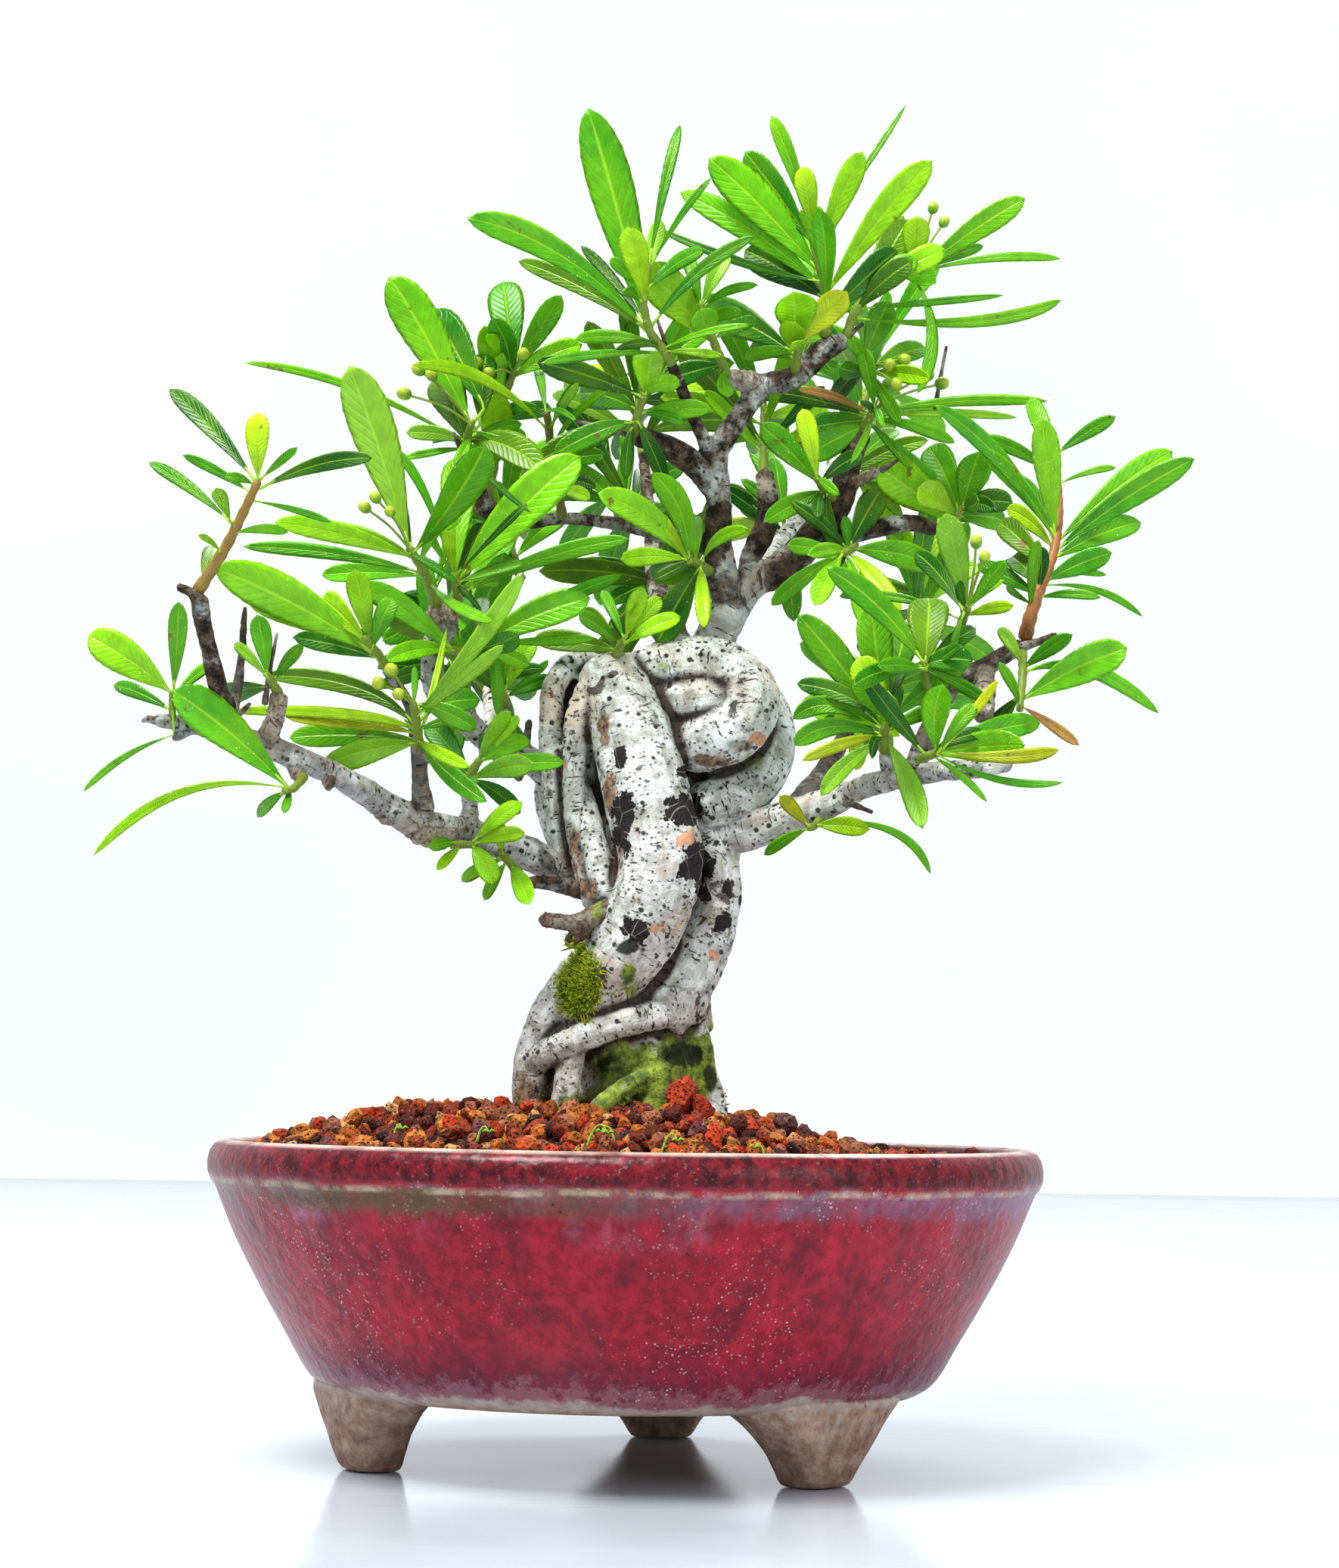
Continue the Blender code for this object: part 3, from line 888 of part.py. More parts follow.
def foot(name, angle, collection):
    """A bracket foot: broad where it springs from the pot, small and flat where it stands."""
    sections = [(0.0, 42.5, 51.5, 5.6), (1.0, 42.0, 52.4, 6.4), (5.0, 41.8, 53.6, 9.0), (9.0, 41.6, 55.0, 12.6), (12.5, 41.2, 55.8, 16.8), (15.0, 41.0, 55.6, 18.6)]
    a = math.radians(angle)
    out = np.array([math.cos(a), math.sin(a), 0])
    side = np.array([-math.sin(a), math.cos(a), 0])
    bm = bmesh.new()
    rings = []
    for z, r0, r1, half in sections:
        ring = []
        for k in range(12):
            t = 2 * math.pi * (k + 0.5) / 12
            c, s = math.cos(t), math.sin(t)
            # a rounded rectangle: a circle pushed out towards its box
            q = max(abs(c), abs(s))
            c, s = c * (0.45 + 0.55 / q), s * (0.45 + 0.55 / q)
            p = out * ((r0 + r1) / 2 + (r1 - r0) / 2 * c) + side * half * s + np.array([0, 0, z])
            ring.append(bm.verts.new(Vector(p) * MM))
        rings.append(ring)
    for low, high in zip(rings[:-1], rings[1:]):
        for k in range(12):
            j = (k + 1) % 12
            bm.faces.new((low[k], low[j], high[j], high[k]))
    bm.faces.new(list(reversed(rings[0])))
    bm.faces.new(rings[-1])
    return mesh_object(name, bm, collection)


def cylinder(name, radius, z0, z1, collection, x=0.0, y=0.0, segments=24):
    bm = bmesh.new()
    bmesh.ops.create_cone(bm, cap_ends=True, segments=segments, radius1=radius * MM, radius2=radius * MM, depth=(z1 - z0) * MM, matrix=Matrix.Translation((x * MM, y * MM, (z0 + z1) / 2 * MM)))
    return mesh_object(name, bm, collection)


def soil_height(x, y):
    """Height of the soil's top: a low mound that rises towards the trunk."""
    d = math.hypot(x + 12.0, y * 0.95)
    t = min(1.0, max(0.0, (d - 24.0) / 42.0))
    t = t * t * (3 - 2 * t)
    bumps = 0.5 * math.sin(0.31 * x + 1.0) * math.cos(0.27 * y) + 0.35 * math.sin(0.71 * x - 0.53 * y)
    return 54.6 + 8.0 * (1 - t) + bumps * 0.7


def build():
    clear_scene()
    scene = bpy.context.scene
    parts = bpy.data.collections.new("bonsai_tree_in_pot")
    spare = bpy.data.collections.new("cutters")
    scene.collection.children.link(parts)
    scene.collection.children.link(spare)
    glaze = material("glaze", (0.36, 0.02, 0.04), 0.25, coat=0.5)
    grain = material("lava_grains", (0.22, 0.09, 0.05), 0.95)
    plastic = material("mesh_plastic", (0.03, 0.03, 0.03), 0.6)
    aluminium = material("aluminium_wire", (0.35, 0.2, 0.12), 0.45, 0.8)
    bark = material("bark", (0.42, 0.38, 0.32), 0.85)
    moss = material("moss", (0.30, 0.36, 0.05), 0.95)
    green = material("leaf", (0.12, 0.30, 0.03), 0.5)

    # pot: turned body, three feet, a drainage hole and two wire holes
    pot = turned("pot", POT_PROFILE, 36, parts)
    for i, angle in enumerate(FOOT_ANGLES):
        piece = foot(f"foot_{i}", angle, spare)
        boolean(pot, piece, "UNION")
        drop(piece)
    for i, (x, y, r, n) in enumerate(((0, 0, DRAIN_RADIUS, 20), (0, WIRE_HOLE_Y, WIRE_HOLE_RADIUS, 10), (0, -WIRE_HOLE_Y, WIRE_HOLE_RADIUS, 10))):
        hole = cylinder(f"hole_{i}", r, 5, 30, spare, x, y, n)
        boolean(pot, hole, "DIFFERENCE")
        drop(hole)
    pot.data.materials.clear()
    pot.data.materials.append(glaze)

    # drainage mesh over the hole, with square openings
    mesh_disc = cylinder("drainage_mesh", 14.0, POT_FLOOR_TOP + GAP, POT_FLOOR_TOP + GAP + 0.9, parts, segments=24)
    bm = bmesh.new()
    for i in range(-1, 2):
        for j in range(-1, 2):
            if math.hypot(i, j) < 2.5:
                bmesh.ops.create_cube(bm, size=1.0, matrix=Matrix.Translation((4 * i * MM, 4 * j * MM, 20.8 * MM)) @ Matrix.Diagonal((2.6 * MM, 2.6 * MM, 6 * MM, 1)))
    squares = mesh_object("squares", bm, spare)
    boolean(mesh_disc, squares, "DIFFERENCE")
    drop(squares)
    mesh_disc.data.materials.clear()
    mesh_disc.data.materials.append(plastic)

    # a clip of wire: over the mesh, down through the hole, bent outwards under the floor
    clip = tube_object("mesh_clip", np.array([(-12, 0, 11.6), (-8, 0, 11.6), (-4.4, 0, 11.6), (-4, 0, 12), (-4, 0, 16), (-4, 0, 21.9), (-3.6, 0, 22.3), (0, 0, 22.3), (3.6, 0, 22.3), (4, 0, 21.9), (4, 0, 16), (4, 0, 12), (4.4, 0, 11.6), (8, 0, 11.6), (12, 0, 11.6)], float), np.full(15, 0.55), parts, 2)
    clip.data.materials.append(aluminium)
    y = WIRE_HOLE_Y
    run = np.array([(0, -y + 3, 47), (0, -y + 1, 40), (0, -y, 32), (0, -y, 24), (0, -y, 12), (0, -y + 0.6, 11.5), (0, -9, 11.5), (0, 0, 11.5), (0, 9, 11.5), (0, y - 0.6, 11.5), (0, y, 12), (0, y, 24), (0, y, 32), (0, y - 1, 40), (0, y - 3, 47)], float)
    wire = tube_object("anchor_wire", run, np.full(15, 0.6), parts, 2)
    wire.data.materials.append(aluminium)

    # the wood
    wood = fused(list(TRUNK.values()) + list(BRANCHES.values()), "trunk_and_branches", parts, 0.75, 3000)
    wood.data.materials.clear()
    wood.data.materials.append(bark)
    wood_tree = tree_of(wood)
    near_moss = [BRANCHES[k] for k in ("left_cut_stub", "cut_wood", "left_small", "left_low")]
    swollen = fused([TRUNK[k] for k in TRUNK if k not in ("knot", "knot_outer", "outer_left")] + near_moss, "root_pocket", spare, 0.9, 2600, swell=1.15)

    # soil: fills the pot, mounded, with pockets for the roots, the mesh and the wires
    profile = [(0, 66)] + [(r, 66) for r in (14, 27, 39, 50, 59, 65)]
    low = POT_FLOOR_TOP + GAP
    profile += [(69.0, 66)] + [(r - 0.6, z) for r, z in reversed(POT_PROFILE[2:8])] + [(43.5, low), (0, low)]
    soil = turned("soil", profile, 30, parts)
    for v in soil.data.vertices:
        x, yy, z = (c / MM for c in v.co)
        if z > 60:
            v.co.z = soil_height(x, yy) * MM
    pocket = cylinder("mesh_pocket", 15.0, 15, 23.4, spare, segments=16)
    boolean(soil, pocket, "DIFFERENCE")
    drop(pocket)
    for side in (-1, 1):
        pts = np.array([(0, side * (y - 3.6), 48.5), (0, side * (y - 1), 40), (0, side * y, 32), (0, side * y, 24), (0, side * y, 15)], float)
        pocket = tube_object("wire_pocket", pts, np.full(5, 1.15), spare, 1)
        boolean(soil, pocket, "DIFFERENCE")
        drop(pocket)
    boolean(soil, swollen, "DIFFERENCE")
    largest_piece(soil)
    soil.data.materials.clear()
    soil.data.materials.append(grain)

    # moss on the trunk's left face
    bm = bmesh.new()
    centre = on_sheet(766, 1297, -14.5)
    bmesh.ops.create_icosphere(bm, subdivisions=2, radius=1.0 * MM)
    for v in bm.verts:
        v.co = Vector((v.co.x * 4.6, v.co.y * 4.8, v.co.z * 8.2)) + Vector(centre) * MM
    patch = mesh_object("moss_patch", bm, parts)
    boolean(patch, swollen, "DIFFERENCE")
    largest_piece(patch)
    patch.data.materials.clear()
    patch.data.materials.append(moss)
    drop(swollen)

    # shoots
    stems, plans, missed = layout(wood_tree)
    for name, (path, radii) in stems.items():
        grow_shoot(name, path, radii, plans.get(name, []), parts, spare, green)
    print("leaves:", sum(len(p) for p in plans.values()), "left out:", missed)

    # the origin is the middle of the foot of the whole object's box
    lo = np.full(3, 1e9)
    hi = -lo
    for obj in parts.objects:
        c = np.array([v.co[:] for v in obj.data.vertices])
        lo, hi = np.minimum(lo, c.min(axis=0)), np.maximum(hi, c.max(axis=0))
    shift = Vector((-(lo[0] + hi[0]) / 2, -(lo[1] + hi[1]) / 2, -lo[2]))
    for obj in parts.objects:
        for v in obj.data.vertices:
            v.co += shift
        obj.data.shade_smooth()
        obj.data.set_sharp_from_angle(angle=math.radians(40))
    print("shift", [round(c / MM, 3) for c in shift], "size", ((hi - lo) / MM).round(2))


build()
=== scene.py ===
"""The looks of the bonsai tree in a pot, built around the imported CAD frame.

Positions come from the CAD: the pot's axis is the middle of the pot node's box, and
the same front elevation as in the CAD, with the same strands and shoots, gives the
fine wood, stems and leaves.  Working units are millimetres in the pot's own frame;
world() turns them into metres in the row frame.
"""

import math
import random

import bmesh
import bpy
import numpy as np
from mathutils import Matrix, Vector, kdtree, noise
from mathutils.bvhtree import BVHTree

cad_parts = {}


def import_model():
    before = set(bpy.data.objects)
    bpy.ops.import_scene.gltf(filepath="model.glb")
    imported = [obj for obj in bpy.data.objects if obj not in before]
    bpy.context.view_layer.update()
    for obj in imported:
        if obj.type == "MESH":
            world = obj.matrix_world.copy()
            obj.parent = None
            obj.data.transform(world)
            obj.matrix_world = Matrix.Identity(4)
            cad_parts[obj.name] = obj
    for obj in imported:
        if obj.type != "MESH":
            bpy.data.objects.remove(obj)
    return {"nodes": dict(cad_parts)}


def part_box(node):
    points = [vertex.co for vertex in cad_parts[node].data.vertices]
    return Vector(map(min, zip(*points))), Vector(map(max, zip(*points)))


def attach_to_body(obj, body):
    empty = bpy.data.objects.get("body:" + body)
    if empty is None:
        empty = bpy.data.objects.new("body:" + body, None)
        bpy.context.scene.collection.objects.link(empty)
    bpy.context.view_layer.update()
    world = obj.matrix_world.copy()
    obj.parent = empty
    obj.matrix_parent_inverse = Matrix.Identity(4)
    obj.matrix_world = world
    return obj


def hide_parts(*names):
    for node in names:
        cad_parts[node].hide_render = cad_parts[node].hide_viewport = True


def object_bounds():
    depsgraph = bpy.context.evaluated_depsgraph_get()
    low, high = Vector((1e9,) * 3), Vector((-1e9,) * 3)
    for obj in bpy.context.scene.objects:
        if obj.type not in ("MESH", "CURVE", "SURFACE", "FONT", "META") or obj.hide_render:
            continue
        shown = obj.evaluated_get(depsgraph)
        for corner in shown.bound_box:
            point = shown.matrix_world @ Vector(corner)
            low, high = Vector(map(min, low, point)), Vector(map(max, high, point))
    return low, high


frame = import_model()
CAD_BOX = [list(c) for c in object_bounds()]
_lo, _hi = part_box("pot")
AXIS = np.array([(_lo.x + _hi.x) / 2, (_lo.y + _hi.y) / 2, _lo.z])
MM = 0.001
GAP = 0.4


def world(p):
    return np.asarray(p, float) * MM + AXIS


POT_RADIUS = 75.1
POT_HEIGHT = 56.7
POT_FLOOR_TOP = 20.0
FOOT_ANGLES = (202.1, 315.4, 81.3)
FOOT_RADIUS = 47.5

EYE = np.array([6.87, -630.0, 68.3])
SHEET_TILT = 0.0854
SHEET_TURN = 0.0148
SHEET_SCALE = 4575.0
SHEET_MIDDLE = (885.0, 1036.0)

_fwd = np.array([0.0, math.cos(SHEET_TILT), math.sin(SHEET_TILT)])
_right0 = np.array([1.0, 0.0, 0.0])
_up0 = np.array([0.0, -math.sin(SHEET_TILT), math.cos(SHEET_TILT)])
_right = _right0 * math.cos(SHEET_TURN) + _up0 * math.sin(SHEET_TURN)
_up = _up0 * math.cos(SHEET_TURN) - _right0 * math.sin(SHEET_TURN)


def on_sheet(u, v, depth):
    """The point, in mm, that lies at this place on the sheet and this depth."""
    ray = (
        _fwd
        + _right * ((u - SHEET_MIDDLE[0]) / SHEET_SCALE)
        + _up * ((SHEET_MIDDLE[1] - v) / SHEET_SCALE)
    )
    return EYE + ray * ((depth - EYE[1]) / ray[1])


def sheet_of(p):
    d = np.asarray(p, float) - EYE
    z = d @ _fwd
    return (
        SHEET_MIDDLE[0] + SHEET_SCALE * (d @ _right) / z,
        SHEET_MIDDLE[1] - SHEET_SCALE * (d @ _up) / z,
    )


def mm_per_unit(depth):
    return (depth - EYE[1]) / SHEET_SCALE


# ---------------------------------------------------------------- the wood
# Each strand: sheet x, sheet y, depth, width on the sheet.
TRUNK = {
    "front": [(805, 885, -3, 84), (828, 945, -7, 98), (845, 1010, -10, 110), (858, 1070, -11, 114), (872, 1120, -12, 112), (868, 1170, -12, 110), (845, 1225, -11, 108), (803, 1290, -9, 100), (770, 1340, -8, 84), (728, 1392, -7, 66)],
    "outer_left": [(798, 884, 2, 34), (762, 876, -1, 34), (734, 904, -3, 33), (728, 950, -3, 32), (729, 1000, -3, 32), (735, 1060, -3, 32), (742, 1112, -3, 32), (754, 1158, -4, 34)],
    "left": [(800, 902, -4, 34), (778, 912, -6, 34), (764, 948, -7, 34), (760, 1000, -6, 34), (761, 1056, -6, 34), (768, 1108, -7, 36), (778, 1158, -8, 38), (790, 1194, -10, 40)],
    "left_inner": [(768, 1040, -3, 30), (778, 1085, -7, 34), (790, 1135, -10, 36), (800, 1185, -12, 36)],
    "groove_fill": [(788, 915, 3, 50), (776, 975, 2, 56), (776, 1035, 2, 58), (786, 1100, 2, 60)],
    "left_fill": [(772, 898, 1, 36), (750, 930, 2, 40), (745, 990, 2, 40), (748, 1060, 2, 42), (758, 1130, 1, 44)],
    "root_fill": [(730, 1392, -5, 44), (726, 1440, -5, 46), (724, 1505, -5, 50)],
    "left_back": [(745, 1000, 6, 46), (733, 1040, 7, 50), (740, 1090, 7, 50), (775, 1150, 6, 60)],
    "core": [(805, 900, 6, 100), (825, 980, 5, 110), (835, 1080, 4, 120), (850, 1170, 3, 130), (848, 1260, 3, 130), (830, 1340, 3, 130), (835, 1420, 2, 150)],
    "back_right": [(930, 890, 9, 80), (880, 960, 14, 76), (830, 1040, 15, 70), (800, 1120, 14, 66), (822, 1200, 15, 66), (878, 1280, 14, 66), (905, 1340, 11, 64), (890, 1420, 10, 60)],
    "back_left": [(800, 900, 12, 60), (850, 980, 16, 60), (900, 1060, 14, 62), (915, 1140, 12, 62), (880, 1220, 14, 60), (820, 1300, 14, 60), (790, 1400, 12, 64)],
    "knot": [(835, 918, -1, 66), (862, 894, -2, 78), (900, 885, -2, 84), (945, 885, -3, 86), (978, 906, -4, 86), (984, 940, -6, 86), (962, 968, -7, 86), (925, 982, -6, 80), (890, 972, -2, 64)],
    "knot_fill": [(860, 925, -1, 80), (905, 930, -4, 76), (950, 934, -5, 74), (925, 1010, 3, 84), (920, 1080, 2, 70)],
    "knot_outer": [(990, 915, 6, 60), (1010, 945, 4, 70), (1014, 985, 2, 76), (998, 1028, -1, 78), (962, 1052, -2, 74), (925, 1068, -3, 64)],
    "right_lower": [(925, 1085, -1, 50), (947, 1125, -2, 50), (956, 1168, -2, 54), (945, 1214, -2, 66), (922, 1262, -3, 80), (894, 1308, -5, 88), (866, 1342, -6, 86)],
    "right_back": [(960, 1100, 6, 50), (938, 1200, 8, 60), (915, 1290, 7, 60), (912, 1360, 5, 60)],
    "wrap_root": [(926, 1332, -3, 40), (886, 1338, -9, 40), (840, 1347, -12, 40), (789, 1362, -13, 40), (745, 1381, -13, 40), (712, 1400, -10, 40)],
    "left_root": [(772, 1285, -8, 60), (735, 1335, -8, 64), (710, 1385, -8, 54), (701, 1430, -8, 46), (701, 1515, -8, 50)],
    "small_root": [(758, 1392, -12, 34), (748, 1440, -13, 34), (746, 1505, -14, 34)],
    "cross_root": [(900, 1402, -7, 24), (852, 1424, -12, 26), (802, 1454, -16, 26), (762, 1500, -19, 28)],
    "base": [(830, 1365, 0, 140), (848, 1420, 0, 160), (850, 1480, 0, 176), (850, 1535, 0, 190)],
    "base_right": [(905, 1350, 0, 54), (918, 1410, 0, 58), (928, 1460, 0, 62), (936, 1525, 0, 70)],
    "base_front": [(850, 1375, -7, 50), (860, 1430, -9, 56), (870, 1490, -11, 60), (878, 1525, -13, 64)],
    "root_back_right": [(870, 1440, 9, 60), (930, 1485, 18, 44), (985, 1530, 27, 34)],
    "root_back_left": [(800, 1440, 9, 60), (750, 1490, 19, 44), (700, 1530, 28, 34)],
    "root_back": [(840, 1430, 12, 60), (845, 1490, 24, 44), (850, 1535, 34, 34)],
    "root_right": [(930, 1470, -2, 44), (965, 1505, -6, 34), (1000, 1540, -9, 28)],
}
BRANCHES = {
    "left_low": [(765, 1158, -2, 48), (690, 1125, -5, 44), (640, 1106, -8, 40), (600, 1096, -10, 38), (548, 1086, -12, 40), (510, 1065, -13, 36), (480, 1045, -14, 34), (440, 1022, -15, 34), (400, 1005, -16, 34), (350, 985, -17, 32), (300, 970, -18, 28), (250, 956, -19, 25), (208, 952, -20, 19)],
    "left_low_knob": [(552, 1098, -12, 36), (590, 1104, -11, 34)],
    "left_low_stub_a": [(498, 1062, -13, 22), (512, 1086, -13, 15)],
    "left_low_stub_b": [(438, 1020, -15, 24), (435, 1038, -16, 17)],
    "left_low_stub_c": [(385, 1003, -16, 20), (396, 1030, -17, 15)],
    "left_low_twig": [(302, 968, -18, 28), (300, 935, -19, 27), (290, 915, -20, 26), (282, 880, -21, 25), (270, 830, -22, 24), (263, 792, -23, 23)],
    "left_low_twig_stub": [(265, 800, -23, 20), (262, 788, -23, 16), (235, 775, -23, 13)],
    "left_low_dead": [(305, 950, -18, 18), (311, 920, -17, 15), (316, 895, -17, 13), (320, 860, -17, 11), (322, 825, -17, 9)],
    "left_low_knob_b": [(352, 985, -17, 26), (364, 945, -18, 24), (368, 920, -18, 24)],
    "left_low_end": [(262, 958, -19, 18), (242, 970, -19, 14), (229, 977, -19, 12)],
    "left_spur": [(546, 1088, -12, 32), (560, 1068, -13, 29), (556, 1040, -14, 26), (553, 990, -15, 22)],
    "left_spur_knob": [(555, 1000, -15, 20), (570, 995, -16, 22)],
    "left_spur_twig": [(553, 992, -15, 20), (540, 930, -16, 15), (510, 884, -17, 13)],
    "left_spur_b": [(612, 1096, -9, 28), (621, 1075, -9, 25), (620, 1044, -9, 22)],
    "left_mid": [(742, 1045, 5, 40), (702, 1006, 2, 36), (652, 985, 0, 34), (612, 948, -3, 33), (578, 915, -5, 32), (572, 870, -7, 34), (586, 828, -9, 42)],
    "left_mid_knob": [(572, 814, -9, 40), (610, 812, -10, 38)],
    "left_mid_twig_a": [(690, 998, 1, 18), (673, 962, -1, 15), (668, 940, -2, 13)],
    "left_mid_twig_b": [(692, 998, 2, 16), (700, 952, 3, 10)],
    "left_mid_stub": [(690, 1000, 1, 18), (685, 1030, 0, 13)],
    "left_small": [(785, 1180, -8, 26), (722, 1166, -9, 20), (692, 1166, -10, 17), (681, 1152, -11, 14)],
    "left_small_stub": [(708, 1120, -5, 22), (727, 1142, -7, 14)],
    "left_cut_stub": [(805, 1200, -13, 30), (762, 1219, -16, 23), (718, 1215, -18, 19)],
    "cut_wood": [(775, 1226, -14, 22), (752, 1246, -15, 20)],
    "apex": [(940, 862, 0, 62), (955, 820, 1, 52), (975, 790, 2, 50), (1000, 762, 3, 48)],
    "apex_left": [(966, 800, 1, 44), (955, 760, 0, 42), (950, 720, -1, 39), (950, 655, -3, 36), (946, 602, -4, 34), (961, 574, -4, 32), (985, 540, -3, 30), (1008, 505, -2, 30)],
    "apex_far_left": [(950, 655, -3, 34), (924, 620, -5, 34), (882, 591, -8, 33), (844, 577, -10, 28)],
    "apex_twig": [(938, 610, -4, 22), (930, 580, -6, 19), (915, 548, -7, 17), (900, 510, -9, 16), (887, 480, -10, 15)],
    "apex_middle": [(990, 772, 4, 34), (992, 740, 6, 31), (1010, 700, 8, 30), (1015, 660, 9, 27), (1010, 625, 10, 23)],
    "apex_right": [(1000, 765, 3, 44), (1025, 755, 3, 42), (1060, 728, 3, 40), (1080, 700, 3, 38), (1108, 668, 4, 37), (1120, 620, 5, 34), (1139, 574, 5, 28)],
    "apex_right_arm": [(1070, 715, 4, 28), (1130, 704, 6, 26), (1198, 691, 8, 24), (1236, 700, 10, 20)],
    "apex_right_stub": [(1118, 640, 4, 18), (1145, 632, 3, 13), (1160, 620, 3, 11)],
    "top_knob_right": [(1006, 508, -2, 30), (1050, 499, -1, 31), (1088, 464, 0, 30), (1115, 450, 1, 24)],
    "top_knob_left": [(1006, 508, -2, 28), (962, 500, -4, 24)],
    "upper_left": [(948, 722, -1, 30), (880, 706, 5, 22), (810, 691, 8, 18), (742, 685, 6, 17), (700, 690, 4, 18), (658, 680, 0, 24), (630, 655, -3, 34), (620, 606, -5, 23)],
    "right_low": [(925, 1112, 1, 56), (1000, 1095, -3, 50), (1042, 1080, -5, 44), (1090, 1064, -7, 39), (1140, 1041, -8, 34), (1182, 1030, -9, 32), (1232, 1021, -9, 28), (1300, 1015, -9, 23), (1335, 1012, -9, 16)],
    "right_spur": [(1180, 1032, -9, 28), (1175, 1014, -10, 25), (1171, 993, -11, 21)],
    "right_fork": [(1205, 1024, -9, 28), (1222, 980, -8, 27), (1245, 930, -7, 26), (1267, 900, -6, 26), (1300, 884, -5, 26), (1335, 861, -4, 25), (1350, 852, -4, 20)],
    "right_fork_twig": [(1264, 902, -6, 20), (1270, 870, -6, 17), (1268, 840, -6, 14)],
    "right_fork_stub": [(1300, 886, -5, 27), (1302, 912, -7, 27), (1300, 948, -9, 26)],
    "right_fork_end": [(1345, 856, -4, 16), (1372, 848, -4, 13), (1394, 840, -4, 11)],
    "back_left": [(655, 985, 2, 28), (650, 900, 16, 22), (660, 820, 32, 18), (690, 760, 44, 13)],
    "back_middle": [(900, 860, 8, 40), (870, 780, 24, 28), (860, 690, 40, 20), (850, 600, 50, 14)],
    "back_right": [(985, 790, 5, 34), (1030, 720, 24, 26), (1090, 640, 42, 20), (1130, 560, 52, 14)],
    "back_low_right": [(1040, 1080, -2, 32), (1095, 1010, 16, 24), (1140, 930, 32, 18), (1180, 860, 42, 13)],
}

